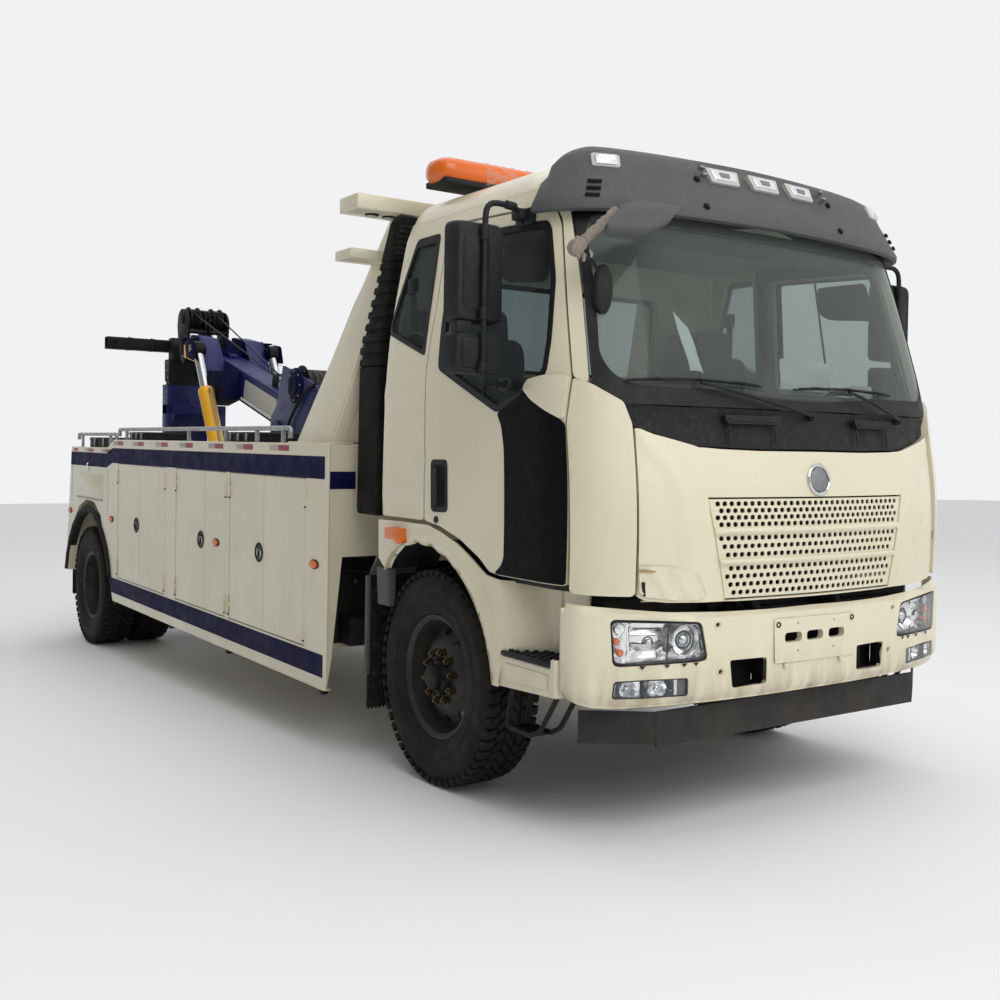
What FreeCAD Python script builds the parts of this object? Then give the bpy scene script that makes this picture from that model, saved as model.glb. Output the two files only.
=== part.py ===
import FreeCAD, Part
import Sketcher
import math
import os

# Medium two-axle tow truck (wrecker).  Millimetres.
# Axes: +X forward, +Y left, +Z up, ground at Z = 0.
# Sprung pieces (frame, cab, body, boom) are drawn in the truck's own frame, whose
# origin is the ground point under the front axle, and are then pitched nose-down
# by the unladen rake.  Axles, wheels and knuckles are drawn level.

V = FreeCAD.Vector
doc = FreeCAD.newDocument("tow_truck")
sheet = doc.addObject("Spreadsheet::Sheet", "dims")

# ------------------------------------------------------------------ driving sizes
# alias, value, meaning
DIMS = [
    ("rake", 1.8, "nose-down pitch of the sprung parts, degrees"),
    ("shift", 2860.6, "moves the front axle from X = 0 so that the box is centred"),
    ("wheelbase", 5800, "front axle to rear axle"),
    ("tyre_radius", 512, "tyre outer radius"),
    ("tyre_width", 278, "tyre section width"),
    ("rim_radius", 292, "rim flange radius"),
    ("rim_width", 222, "rim over its flanges"),
    ("front_track", 975, "half track, front"),
    ("dual_outer", 1080, "outer rear tyre centre"),
    ("dual_inner", 752, "inner rear tyre centre"),
    ("kingpin_y", 800, "kingpin from centre"),
    ("rail_out", 430, "outside of frame rail"),
    ("rail_w", 80, "rail flange width"),
    ("rail_t", 8, "rail thickness"),
    ("rail_bot", 700, "rail underside"),
    ("rail_top", 950, "rail top"),
    ("rail_front", 1130, "front end of rails"),
    ("rail_rear", -6300, "rear end of rails"),
    ("body_half", 1245, "service body half width"),
    ("body_inner", 600, "inner wall of the side lockers"),
    ("body_front", -900, "front face of the service body"),
    ("body_top", 1600, "top of the service body"),
    ("body_bot", 300, "bottom edge of the side lockers"),
    ("body_rear", -6500, "rearmost lower corner of the body"),
    ("sheet_t", 20, "wall of the service body"),
    ("cab_half", 1150, "cab half width"),
    ("cab_rear", -520, "cab rear wall"),
    ("cab_wall", 50, "cab wall and door thickness"),
    ("door_front", 1075, "door front edge"),
    ("door_rear", -30, "door rear edge"),
    ("gap", 6, "panel gap"),
    ("leaf_t", 22, "locker leaf thickness"),
    ("tilt_x", 1245, "cab tilt pivot"),
    ("tilt_z", 900, "cab tilt pivot height"),
    ("boom_px", -3550, "boom pivot X"),
    ("boom_pz", 1690, "boom pivot Z"),
    ("boom_rise", 15, "boom angle at rest, degrees"),
    ("boom_len", 2580, "outer boom length from its pivot"),
    ("boom_w", 250, "outer boom width"),
    ("boom_d", 240, "outer boom depth"),
    ("boom_t", 12, "boom plate"),
    ("cyl_y", 350, "lift cylinder from centre"),
    ("cyl_r", 68, "lift cylinder barrel radius"),
    ("rod_r", 42, "lift cylinder rod radius"),
    ("cyl_px", -4800, "lift cylinder foot pivot X"),
    ("cyl_pz", 1130, "lift cylinder foot pivot Z"),
    ("eye_x", -5600, "rod eye X at rest"),
    ("eye_z", 2430, "rod eye Z at rest"),
    ("drum_x", -3200, "winch drum axis X"),
    ("drum_z", 2020, "winch drum axis Z"),
    ("fold_x", -6980, "underlift fold pivot X"),
    ("fold_z", 720, "underlift fold pivot Z"),
]


class Q:
    """A size that carries both its value and its expression on the sheet."""

    def __init__(self, v, e):
        self.v, self.e = float(v), e

    def __add__(a, b):
        b = q(b)
        return Q(a.v + b.v, "(%s + %s)" % (a.e, b.e))

    __radd__ = __add__

    def __sub__(a, b):
        b = q(b)
        return Q(a.v - b.v, "(%s - %s)" % (a.e, b.e))

    def __rsub__(a, b):
        return q(b) - a

    def __mul__(a, k):
        return Q(a.v * k, "(%s * %s)" % (a.e, repr(float(k))))

    __rmul__ = __mul__

    def __neg__(a):
        return Q(-a.v, "(-1 * %s)" % a.e)


def q(x):
    return x if isinstance(x, Q) else Q(x, repr(round(float(x), 4)))


class D:
    pass


d = D()
for i, (alias, value, note) in enumerate(DIMS, start=1):
    sheet.set("A%d" % i, str(value))
    sheet.set("B%d" % i, note)
    sheet.setAlias("A%d" % i, alias)
    setattr(d, alias, Q(value, "dims." + alias))
doc.recompute()

# ------------------------------------------------------------------ builders
count = [0]


def uid(stem):
    count[0] += 1
    return "%s_%d" % (stem, count[0])


def bind(obj, prop, size):
    obj.setExpression(prop, q(size).e)


def box(x0, x1, y0, y1, z0, z1):
    o = doc.addObject("Part::Box", uid("box"))
    x0, x1, y0, y1, z0, z1 = map(q, (x0, x1, y0, y1, z0, z1))
    for prop, size in (("Length", x1 - x0), ("Width", y1 - y0), ("Height", z1 - z0),
                       ("Placement.Base.x", x0), ("Placement.Base.y", y0), ("Placement.Base.z", z0)):
        bind(o, prop, size)
    return o


def both(x0, x1, y0, y1, z0, z1):
    """The same box on the left and on the right."""
    return [box(x0, x1, y0, y1, z0, z1), box(x0, x1, -q(y1), -q(y0), z0, z1)]


def cyl(axis, r, lo, hi, a, b):
    """Cylinder along an axis from lo to hi; a, b are the other two coordinates in order."""
    o = doc.addObject("Part::Cylinder", uid("cyl"))
    r, lo, hi, a, b = map(q, (r, lo, hi, a, b))
    bind(o, "Radius", r)
    bind(o, "Height", hi - lo)
    if axis == "X":
        o.Placement = FreeCAD.Placement(V(0, 0, 0), FreeCAD.Rotation(V(0, 1, 0), 90))
        base = (lo, a, b)
    elif axis == "Y":
        o.Placement = FreeCAD.Placement(V(0, 0, 0), FreeCAD.Rotation(V(1, 0, 0), -90))
        base = (a, lo, b)
    else:
        base = (a, b, lo)
    for key, size in zip("xyz", base):
        bind(o, "Placement.Base." + key, size)
    return o


PLANES = {"X": "YZ_Plane", "Y": "XZ_Plane", "Z": "XY_Plane"}


def prism(axis, pts, lo, hi, arcs=()):
    """Sketched profile padded along an axis.  pts are (u, v) pairs: (y, z), (x, z) or
    (x, y).  arcs maps the number of a side to its bulge: that side becomes an arc
    whose middle stands that far outside its chord."""
    body = doc.addObject("PartDesign::Body", uid("body"))
    sk = body.newObject("Sketcher::SketchObject", uid("sketch"))
    plane = [o for o in body.Origin.OriginFeatures if o.Role == PLANES[axis]][0]
    sk.AttachmentSupport = [(plane, "")]
    sk.MapMode = "FlatFace"
    lo, hi = q(lo), q(hi)
    start = -hi if axis == "Y" else lo
    bind(sk, "AttachmentOffset.Base.z", start)
    pts = [(q(u), q(v)) for u, v in pts]
    n = len(pts)
    bulges = dict(arcs)
    area = sum(pts[i][0].v * pts[(i + 1) % n][1].v - pts[(i + 1) % n][0].v * pts[i][1].v for i in range(n))
    turn = 1 if area > 0 else -1
    for i in range(n):
        a = V(pts[i][0].v, pts[i][1].v, 0)
        b = V(pts[(i + 1) % n][0].v, pts[(i + 1) % n][1].v, 0)
        if i in bulges:
            side = b - a
            out = V(side.y, -side.x, 0).normalize() * turn
            mid = (a + b) * 0.5 + out * bulges[i]
            arc = Part.Arc(a, mid, b)
            k = sk.addGeometry(arc, False)
        else:
            sk.addGeometry(Part.LineSegment(a, b), False)
    # ends of each side: an arc keeps its own order of ends
    ends = []
    for i in range(n):
        g = sk.Geometry[i]
        a = V(pts[i][0].v, pts[i][1].v, 0)
        s = g.StartPoint
        ends.append((1, 2) if (s - a).Length < 1e-3 else (2, 1))
    for i in range(n):
        j = (i + 1) % n
        sk.addConstraint(Sketcher.Constraint("Coincident", i, ends[i][1], j, ends[j][0]))
    for i in range(n):
        for k, kind in enumerate(("DistanceX", "DistanceY")):
            c = sk.addConstraint(Sketcher.Constraint(kind, i, ends[i][0], pts[i][k].v))
            label = "p%d%s" % (i, "uv"[k])
            sk.renameConstraint(c, label)
            sk.setExpression("Constraints." + label, pts[i][k].e)
    for i in bulges:
        a = V(pts[i][0].v, pts[i][1].v, 0)
        b = V(pts[(i + 1) % n][0].v, pts[(i + 1) % n][1].v, 0)
        c = sk.addConstraint(Sketcher.Constraint("Radius", i, sk.Geometry[i].Radius))
    pad = body.newObject("PartDesign::Pad", uid("pad"))
    pad.Profile = sk
    bind(pad, "Length", hi - lo)
    sk.Visibility = False
    return body


def spin(axis, pts, a, b):
    """Sketched half profile (radius, along) turned a full circle about an axis that runs
    along X, Y or Z through the other two coordinates a and b."""
    body = doc.addObject("PartDesign::Body", uid("body"))
    sk = body.newObject("Sketcher::SketchObject", uid("sketch"))
    plane = [o for o in body.Origin.OriginFeatures if o.Role == "XZ_Plane"][0]
    sk.AttachmentSupport = [(plane, "")]
    sk.MapMode = "FlatFace"
    pts = [(q(u), q(v)) for u, v in pts]
    n = len(pts)
    for i in range(n):
        j = (i + 1) % n
        sk.addGeometry(Part.LineSegment(V(pts[i][0].v, pts[i][1].v, 0), V(pts[j][0].v, pts[j][1].v, 0)), False)
    for i in range(n):
        sk.addConstraint(Sketcher.Constraint("Coincident", i, 2, (i + 1) % n, 1))
    for i in range(n):
        for k, kind in enumerate(("DistanceX", "DistanceY")):
            c = sk.addConstraint(Sketcher.Constraint(kind, i, 1, pts[i][k].v))
            label = "p%d%s" % (i, "uv"[k])
            sk.renameConstraint(c, label)
            sk.setExpression("Constraints." + label, pts[i][k].e)
    rev = body.newObject("PartDesign::Revolution", uid("rev"))
    rev.Profile = sk
    rev.ReferenceAxis = (sk, ["V_Axis"])
    rev.Angle = 360
    rot = {"Z": FreeCAD.Rotation(), "Y": FreeCAD.Rotation(V(1, 0, 0), -90), "X": FreeCAD.Rotation(V(0, 1, 0), 90)}[axis]
    body.Placement = FreeCAD.Placement(V(0, 0, 0), rot)
    keys = {"X": "yz", "Y": "xz", "Z": "xy"}[axis]
    bind(body, "Placement.Base." + keys[0], a)
    bind(body, "Placement.Base." + keys[1], b)
    return body


def flat(items):
    out = []
    for o in items:
        if isinstance(o, (list, tuple)):
            out += flat(o)
        else:
            out.append(o)
    return out


def fuse(*items):
    items = flat(items)
    if len(items) == 1:
        return items[0]
    o = doc.addObject("Part::MultiFuse", uid("fuse"))
    o.Shapes = items
    return o


def cut(base, *tools):
    o = doc.addObject("Part::Cut", uid("cut"))
    o.Base = base
    o.Tool = fuse(*tools)
    return o


def common(*items):
    o = doc.addObject("Part::MultiCommon", uid("common"))
    o.Shapes = flat(items)
    return o


def group(*items):
    o = doc.addObject("Part::Compound", uid("group"))
    o.Links = flat(items)
    return o


def turned(obj, axis, angle, x, y, z):
    """obj, drawn about the origin, turned about an axis direction and moved to x, y, z."""
    w = doc.addObject("Part::Compound", uid("turned"))
    w.Links = [obj]
    w.Placement = FreeCAD.Placement(V(0, 0, 0), FreeCAD.Rotation(axis, 1))
    bind(w, "Placement.Rotation.Angle", angle)
    for key, size in zip("xyz", (x, y, z)):
        bind(w, "Placement.Base." + key, size)
    return w


def mirror(obj):
    m = doc.addObject("Part::Mirroring", uid("mirror"))
    m.Source = obj
    m.Base = V(0, 0, 0)
    m.Normal = V(0, 1, 0)
    return m


PIECES = []


def piece(name, obj, sprung=True):
    """Names a finished sub-part and puts it in the vehicle's place."""
    holder = doc.addObject("Part::Compound", name)
    holder.Links = [obj]
    holder.Label = name
    holder.Placement = FreeCAD.Placement(V(0, 0, 0), FreeCAD.Rotation(V(0, 1, 0), 1))
    bind(holder, "Placement.Rotation.Angle", d.rake if sprung else 0)
    bind(holder, "Placement.Base.x", d.shift)
    PIECES.append(holder)
    return holder


# ------------------------------------------------------------------ frame
r = d
web = r.rail_out
rails = []
for side in (1, -1):
    outer = box(r.rail_rear, r.rail_front, r.rail_out - r.rail_w if side > 0 else -r.rail_out,
                r.rail_out if side > 0 else r.rail_w - r.rail_out, r.rail_bot, r.rail_top)
    hollow = box(r.rail_rear - 10, r.rail_front + 10,
                 r.rail_out - r.rail_w - 10 if side > 0 else r.rail_t - r.rail_out,
                 r.rail_out - r.rail_t if side > 0 else r.rail_w - r.rail_out + 10,
                 r.rail_bot + r.rail_t, r.rail_top - r.rail_t)
    rails.append(cut(outer, hollow))
# cross members: x from, x to, z from, z to
CROSS = [(1000, 1090, 720, 900), (-1540, -1450, 800, 930), (-2500, -2380, 800, 930),
         (-3950, -3800, 730, 900), (-4700, -4580, 760, 900), (-6290, -6200, 705, 945)]
cross = [box(x0, x1, 8 - r.rail_out, r.rail_out - 8, z0, z1) for x0, x1, z0, z1 in CROSS]
# front underrun beam, a straight black box under the bumper, with its hangers
underrun = prism("Z", [(1232, -806), (1244, -806), (1244, 806), (1232, 806)], 418, 560)
wing_l = prism("Z", [(1240, 800), (1244, 806), (1060, 1060), (1050, 1054)], 430, 560)
hangers = both(1060, 1236, 411, 426, 520, 720)
# towers that carry the tilt pin, and the pads under the cab's rear mounts
tower = prism("Y", [(1100, 740), (1180, 740), (1275, 885), (1275, 925), (1215, 930), (1100, 850)], 284, 330)
tower_pin = cyl("Y", 18, 232, 330, r.tilt_x, r.tilt_z)
towers = [tower, mirror(tower), tower_pin, mirror(tower_pin)]
tower_feet = both(1090, 1130, 284, 426, 740, 850)
tow_lug = cut(box(1100, 1205, 350, 422, 650, 722), cyl("Z", 21, 640, 730, 1168, 386))
tow_lugs = [tow_lug, mirror(tow_lug)]
cyl_plate = cut(prism("Y", [(-4960, 850), (-4640, 850), (-4720, 1215), (-4880, 1215)], 430, 456), cyl("Y", 30.05, 400, 500, r.cyl_px, r.cyl_pz))
cyl_plates = [cyl_plate, mirror(cyl_plate)]
rear_mounts = both(-480, -400, 380, 426, 945, 1238)
frame = fuse(rails, cross, underrun, wing_l, mirror(wing_l), hangers, towers, tower_feet, rear_mounts, tow_lugs, cyl_plates)
piece("frame", frame)

# ------------------------------------------------------------------ axles and springs
az = r.tyre_radius
beam = prism("X", [(-770, 470), (-700, 470), (-560, 390), (560, 390), (700, 470), (770, 470),
                   (770, 550), (690, 550), (540, 480), (-540, 480), (-690, 550), (-770, 550)], -45, 45)
piece("front_axle", beam, sprung=False)

housing = spin("Y", [(0, -640), (70, -640), (70, 640), (0, 640)], -r.wheelbase, az)
bowl = spin("X", [(0, -190), (90, -190), (205, -100), (205, 100), (120, 210), (60, 330), (0, 330)], 0, az)
bowl.setExpression("Placement.Base.x", (-r.wheelbase).e)

# propeller shaft in two straight lengths with its centre bearing
shaft = fuse(cyl("X", 45, -5420, -3050, 0, 0), cyl("X", 70, -5400, -5300, 0, 0))
shaft_r = doc.addObject("Part::Compound", "shaft_rear")
shaft_r.Links = [cyl("X", 42, 0, 2500, 0, 0)]
shaft_r.Placement = FreeCAD.Placement(V(-5440, 0, 400), FreeCAD.Rotation(V(0, 1, 0), -8.0))
shaft_f = cyl("X", 42, -2960, -1420, 0, 748)
bearing = box(-3060, -2940, -90, 90, 690, 800)
axle_only = group(fuse(housing, bowl))
shafts = group(fuse(shaft_r, shaft_f, bearing))
shafts.Placement = FreeCAD.Placement(V(0, 0, 0), FreeCAD.Rotation(V(0, 1, 0), 1))
bind(shafts, "Placement.Rotation.Angle", d.rake)
piece("rear_axle", fuse(axle_only, shafts), sprung=False)

# leaf springs: x centre, half length, y, seat height, thickness, eye height
def spring(xc, half, y, seat, thick, rise, width=76):
    pts = [(xc - half, seat + rise), (xc - 120, seat), (xc + 120, seat), (xc + half, seat + rise),
           (xc + half, seat + rise + 22), (xc + 120, seat + thick), (xc - 120, seat + thick), (xc - half, seat + rise + 22)]
    return prism("Y", pts, y - width / 2, y + width / 2)


springs = []
for y in (468, -468):
    springs += [spring(0, 780, y, 484, 70, 95), spring(-5805, 790, y, 410, 120, 150)]
piece("leaf_springs", group(springs))

# ------------------------------------------------------------------ engine, tanks
engine = box(-560, 820, -330, 330, 690, 1330)
gearbox = box(-1400, -560, -210, 210, 640, 945)
piece("engine_and_gearbox", fuse(engine, gearbox))
piece("fuel_tank", fuse(box(-2050, -1010, 430, 590, 470, 900)))
piece("battery_box", group(box(-895, -790, -860, -430, 560, 900), box(-2000, -1000, -590, -430, 520, 900)))

# ------------------------------------------------------------------ wheels
tw, rr, rw = r.tyre_width, r.rim_radius, r.rim_width


def tyre(x, y):
    half = tw * 0.5
    R = r.tyre_radius
    bead = rw * 0.5 - 17
    pts = [(r.rim_radius - 15, -bead), (r.rim_radius + 1, -bead), (r.rim_radius + 1, -rw * 0.5 - 1), (r.rim_radius + 60, -half), (R - 90, -half), (R - 18, -half + 26),
           (R, -half + 60), (R, half - 60), (R - 18, half - 26), (R - 90, half), (r.rim_radius + 60, half),
           (r.rim_radius + 1, rw * 0.5 + 1), (r.rim_radius + 1, bead), (r.rim_radius - 15, bead)]
    o = spin("Y", pts, x, az)
    bind(o, "Placement.Base.y", y)
    return o


def rim(x, y, disc, s):
    """Well-base rim with a dished disc; disc is the disc face from the rim centre."""
    h = rw * 0.5
    R = r.rim_radius
    k = disc
    pts = [(R, -h), (R, -h + 12), (R - 16, -h + 16), (R - 16, h - 16), (R, h - 12), (R, h), (R - 24, h),
           (R - 24, k + 14), (R - 60, k + 14), (R - 110, k + 46), (140, k + 46), (140, k + 34), (R - 114, k + 34), (R - 64, k), (R - 24, k), (R - 24, -h)]
    if s < 0:
        pts = [(a, -q(b)) for a, b in pts]
    o = spin("Y", pts, x, az)
    bind(o, "Placement.Base.y", y)
    return o


for side, s in (("left", 1), ("right", -1)):
    yf = q(r.front_track) * s
    piece("front_tyre_" + side, tyre(0, yf), sprung=False)
    hubf = spin("Y", [(0, 0), (95, 0), (95, 66), (140, 66), (140, 80), (95, 80), (80, 118), (62, 150), (0, 150)] if s > 0 else
                [(0, 0), (95, 0), (95, -66), (140, -66), (140, -80), (95, -80), (80, -118), (62, -150), (0, -150)], 0, az)
    bind(hubf, "Placement.Base.y", q(r.front_track) * s - 30 * s)
    piece("front_rim_" + side, fuse(rim(0, yf, 2, s), hubf), sprung=False)
    yo, yi = q(r.dual_outer) * s, q(r.dual_inner) * s
    piece("rear_tyres_" + side, group(tyre(-r.wheelbase, yo), tyre(-r.wheelbase, yi)), sprung=False)
    hubr = spin("Y", [(72, -270), (170, -270), (170, 0), (110, 20), (110, 90), (0, 90), (0, 20), (72, 20)] if s > 0 else
                [(72, 270), (170, 270), (170, 0), (110, -20), (110, -90), (0, -90), (0, -20), (72, -20)], -r.wheelbase, az)
    bind(hubr, "Placement.Base.y", (q(r.dual_outer) - 150) * s)
    piece("rear_rims_" + side, fuse(rim(-r.wheelbase, yo, -110, s), rim(-r.wheelbase, yi, 60, -s), hubr), sprung=False)
    # knuckle: yoke round the beam end, kingpin and stub
    ky = q(r.kingpin_y) * s
    yoke = [cyl("Z", 38, 440, 468, 0, ky), cyl("Z", 38, 552, 584, 0, ky)]
    web_k = box(-45, 45, ky - 24 if s > 0 else ky - 40, ky + 40 if s > 0 else ky + 24, 440, 584)
    web_cut = box(-60, 60, ky - 60 if s > 0 else ky - 22, ky + 22 if s > 0 else ky + 60, 469, 551)
    arm = box(-260, -40, ky - 10 if s > 0 else ky - 30, ky + 30 if s > 0 else ky + 10, 446, 466)
    piece("knuckle_" + side, fuse(yoke, cut(web_k, web_cut), arm), sprung=False)

# ------------------------------------------------------------------ bumper, lamps, fenders
def bumper_outline(x_off, y_off):
    return [(1050, 1165 - y_off), (1190 - x_off, 1150 - y_off), (1290 - x_off, 760), (1335 - x_off, 300),
            (1335 - x_off, -300), (1290 - x_off, -760), (1190 - x_off, y_off - 1150), (1050, y_off - 1165)]


shell_b = cut(prism("Z", bumper_outline(0, 0), 570, 945), prism("Z", bumper_outline(50, 50), 560, 960),
              box(1270, 1400, 288, 480, 635, 745), box(1270, 1400, -480, -288, 635, 745),
              box(1120, 1400, 640, 1100, 765, 915), box(1120, 1400, -1100, -640, 765, 915))
mount_b = both(1120, 1262, 388, 424, 744, 840)
piece("front_bumper", shell_b)

lamp_l = prism("Z", [(1215, 650), (1292, 650), (1225, 1040), (1140, 1085)], 772, 908)
fog_l = prism("Z", [(1225, 700), (1240, 700), (1225, 900), (1190, 900)], 590, 690)
tail_l = both(-6520, -6480, 700, 1180, 470, 560)
piece("lamps", group(lamp_l, mirror(lamp_l)))

# front mudguard: arch behind and over the wheel, step housing in front of it
arch = [(-640, 560), (-620, 560), (-605, 800), (-500, 970), (-300, 1085), (0, 1125), (300, 1075), (480, 960), (600, 800), (640, 640),
        (640, 560), (1045, 600), (1045, 1036), (616, 1036), (30, 1231), (-640, 1231)]
fender_l = cut(prism("Y", arch, 850, 1190), box(655, 1035, 880, 1230, 740, 840), box(-700, 1060, 800, 1160, 1150, 1300),
               box(655, 1060, 800, 1170, 850, 1020))
step_l = fuse(box(700, 1000, 1000, 1160, 440, 470), box(700, 1000, 1000, 1020, 440, 660))
fender_l = fuse(fender_l, step_l)
piece("front_fenders", group(fender_l, mirror(fender_l)))

flap_f = both(-652, -640, 850, 1130, 235, 900)
flap_r = both(-6455, -6445, 640, 1200, 170, 409)
piece("mud_flaps", group(flap_f, flap_r))

# ------------------------------------------------------------------ service body
side_pts = [(r.body_front, r.body_bot), (r.body_front, r.body_top), (-4960, r.body_top), (-5130, 1540), (-6330, 1530),
            (r.body_rear, 410), (-6380, 410), (-6330, 650), (-6230, 860), (-6050, 1010), (-5800, 1080), (-5550, 1070),
            (-5340, 970), (-5200, 730), (-4950, r.body_bot)]
t = r.sheet_t
outer_l = prism("Y", side_pts, r.body_inner, r.body_half)
# compartments: x from, x to
LOCKERS = [(-2325, -1180, -1772), (-3370, -2395, -2790), (-4820, -3620, -4245)]
bay_cuts = []
for x0, x1, seam in LOCKERS:
    bay_cuts.append(box(x0 - 6, x1 + 6, r.body_inner + t, r.body_half + 5, r.body_bot + 194, r.body_top - 184))
rear_bay = box(-6300, -5050, r.body_inner + t, r.body_half - t, 1100, 1500)
arch_cut = prism("Y", [(-6400, 300), (-6345, 650), (-6230, 870), (-6050, 1020), (-5800, 1090), (-5550, 1080), (-5330, 980),
                       (-5190, 730), (-4960, 300)], r.body_inner - 50, r.body_half + 10)
# the front end is open low down behind a tapering strip, and the skirt is a sheet open below
pocket = prism("X", [(r.body_inner - 5, 460), (r.body_inner - 5, 1003), (1156, 1003), (1208, 476), (1210, 460)], -1160, r.body_front + 5)
under = prism("X", [(r.body_inner - 5, r.body_bot - 10), (r.body_inner - 5, 470), (1208, 470), (1236, r.body_bot - 10)], -4900, r.body_front + 5)
body_l = cut(outer_l, bay_cuts, rear_bay, pocket, under)
deck = cut(box(-6330, r.body_front, -r.body_inner, r.body_inner, r.body_top - 70, r.body_top - 40),
           box(-6400, -4700, -430, 430, 1400, 1700))
front_wall = box(r.body_front - 30, r.body_front, -r.body_inner, r.body_inner, 960, r.body_top - 40)
sub = both(-6200, -950, 350, 430, 952, 1010)
bearers = [box(x, x + 60, -r.body_inner, r.body_inner, 1010, 1060) for x in (-1100, -2400, -3600, -4600)]
piece("service_body", fuse(body_l, mirror(body_l), deck, front_wall, sub, bearers))

for n, (x0, x1, seam) in enumerate(LOCKERS, start=1):
    for half, a, b in (("front", seam, x1), ("rear", x0, seam)):
        a = a + 3 if half == "front" else a
        b = b if half == "front" else b - 3
        for side, s in (("left", 1), ("right", -1)):
            leaf = box(a, b, r.body_half - r.leaf_t, r.body_half, r.body_bot + 200, r.body_top - 190)
            piece("locker_%d_%s_%s" % (n, half, side), leaf if s > 0 else mirror(leaf))

# ------------------------------------------------------------------ gantry behind the cab
# each pillar leans forwards and inwards
pil = common(prism("Y", [(-1420, 1600), (-955, 1600), (-660, 2800), (-855, 2800)], 800, 1250),
             prism("X", [(1200, 1600), (1120, 1600), (850, 2800), (930, 2800)], -1500, -600))
bars = [box(-860, -650, -1220, 1220, 2800, 2880), box(-970, -780, -1190, 1190, 2570, 2622)]
piece("gantry", fuse(pil, mirror(pil), bars))
piece("air_duct", common(prism("X", [(-1130, 1240), (-990, 1240), (-990, 2100), (-890, 2790), (-1030, 2790), (-1125, 2100)], -900, -500),
                         prism("Y", [(-800, 1240), (-562, 1240), (-562, 2790), (-640, 2790), (-800, 2100)], -1200, -800)))

# ------------------------------------------------------------------ cab
SIDE = [(1330, 1000), (1362, 1412), (1345, 1560), (1290, 1760), (1090, 2640), (900, 2800), (700, 2850),
        (-400, 2830), (-520, 2760), (-520, 1250), (30, 1250), (618, 1054), (1110, 1054), (1180, 1000)]
PLAN = [(1370, 0), (1345, 350), (1300, 650), (1240, 900), (1130, 1090), (1000, 1150), (-520, 1150),
        (-520, -1150), (1000, -1150), (1130, -1090), (1240, -900), (1300, -650), (1345, -350)]
FRONT = [(-1150, 1000), (-1150, 1900), (-1060, 2620), (-980, 2740), (-600, 2850), (600, 2850), (980, 2740),
         (1060, 2620), (1150, 1900), (1150, 1000)]
IN_SIDE = [(1080, 1110), (1110, 1560), (1235, 1760), (1040, 2630), (880, 2750), (-380, 2780), (-470, 2720), (-470, 1300), (60, 1300), (660, 1110)]
IN_PLAN = [(1300, 0), (1250, 650), (1190, 880), (1080, 1050), (980, 1100), (-470, 1100), (-470, -1100), (980, -1100),
           (1080, -1050), (1190, -880), (1250, -650)]
IN_FRONT = [(-1100, 1100), (-1100, 1900), (-1010, 2610), (-940, 2700), (-580, 2790), (580, 2790), (940, 2700),
            (1010, 2610), (1100, 1900), (1100, 1100)]


def cab_solid():
    return common(prism("Y", SIDE, -1200, 1200), prism("Z", PLAN, 900, 2900), prism("X", FRONT, -600, 1400))


def cab_void():
    v = common(prism("Y", IN_SIDE, -1150, 1150), prism("Z", IN_PLAN, 1090, 2850), prism("X", IN_FRONT, -550, 1350))
    return cut(v, box(-600, 1100, -480, 480, 1000, 1430))


DOOR = [(1075, 1040), (1075, 1700), (940, 2590), (60, 2650), (-30, 1260), (600, 1040)]
DOOR_IN = [(1066, 1040), (1066, 1698), (932, 2582), (69, 2641), (-20, 1267), (610, 1060), (610, 1040)]
WIN = [(975, 1900), (905, 2500), (160, 2560), (90, 1900)]
QUARTER = [(20, 2160), (60, 2570), (-300, 2590), (-420, 2180)]
tunnel = box(-600, 1060, -440, 440, 900, 1390)


def plan_back(k):
    return [(x - k if x > 0 else x, y) for x, y in PLAN]


nose_hole = common(box(1165, 1500, -930, 930, 1040, 1612), prism("Z", plan_back(50), 900, 1630))
flap_box = cut(box(1100, 1500, -930, 930, 990, 1612), prism("Z", plan_back(56), 900, 1630))
lug = cut(prism("Y", [(1216, 890), (1230, 873), (1260, 873), (1275, 890), (1275, 905), (1200, 1015), (1120, 1040), (1120, 1015)], 240, 276),
          cyl("Y", 18.05, 200, 300, r.tilt_x, r.tilt_z))
screen = prism("X", [(-960, 1790), (-860, 2600), (860, 2600), (960, 1790)], 980, 1400)
rear_win = prism("X", [(-600, 2000), (-560, 2450), (560, 2450), (600, 2000)], -600, -400)
shell = cut(fuse(cab_solid(), lug, mirror(lug)), cab_void(), tunnel, nose_hole, flap_box, screen, rear_win,
            prism("Y", DOOR, 1060 - 90, 1250), prism("Y", DOOR, -1250, 90 - 1060),
            prism("Y", QUARTER, 950, 1250), prism("Y", QUARTER, -1250, -950))
piece("cab_shell", shell)


def door(s):
    lo, hi = (970, 1250) if s > 0 else (-1250, -970)
    d0 = cut(common(cab_solid(), prism("Y", DOOR_IN, lo, hi)), cab_void(), prism("Y", WIN, lo - 20, hi + 20))
    return d0


def side_glass(profile, s):
    sheet_g = prism("X", [(1122, 1800), (1122, 1900), (1032, 2615), (1025, 2615), (1115, 1900), (1115, 1800)] if s > 0 else
                    [(-1122, 1800), (-1122, 1900), (-1032, 2615), (-1025, 2615), (-1115, 1900), (-1115, 1800)], -600, 1400)
    return common(sheet_g, prism("Y", profile, 900 if s > 0 else -1250, 1250 if s > 0 else -900))


for side, s in (("left", 1), ("right", -1)):
    piece("door_" + side, door(s))
    piece("door_glass_" + side, side_glass(WIN, s))
    # mirror: bent tube arm off the door frame with the two housings
    arm_x = 1040
    m = [box(640, 666, 1068.5, 1340, 2560, 2586), box(640, 666, 1314, 1340, 1850, 2586), box(640, 680, 1151, 1340, 1850, 1876),
         box(610, 700, 1200, 1450, 2100, 2520), box(610, 700, 1200, 1450, 1895, 2065)]
    mm = fuse(m)
    piece("mirror_" + side, mm if s > 0 else mirror(mm))

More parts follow.
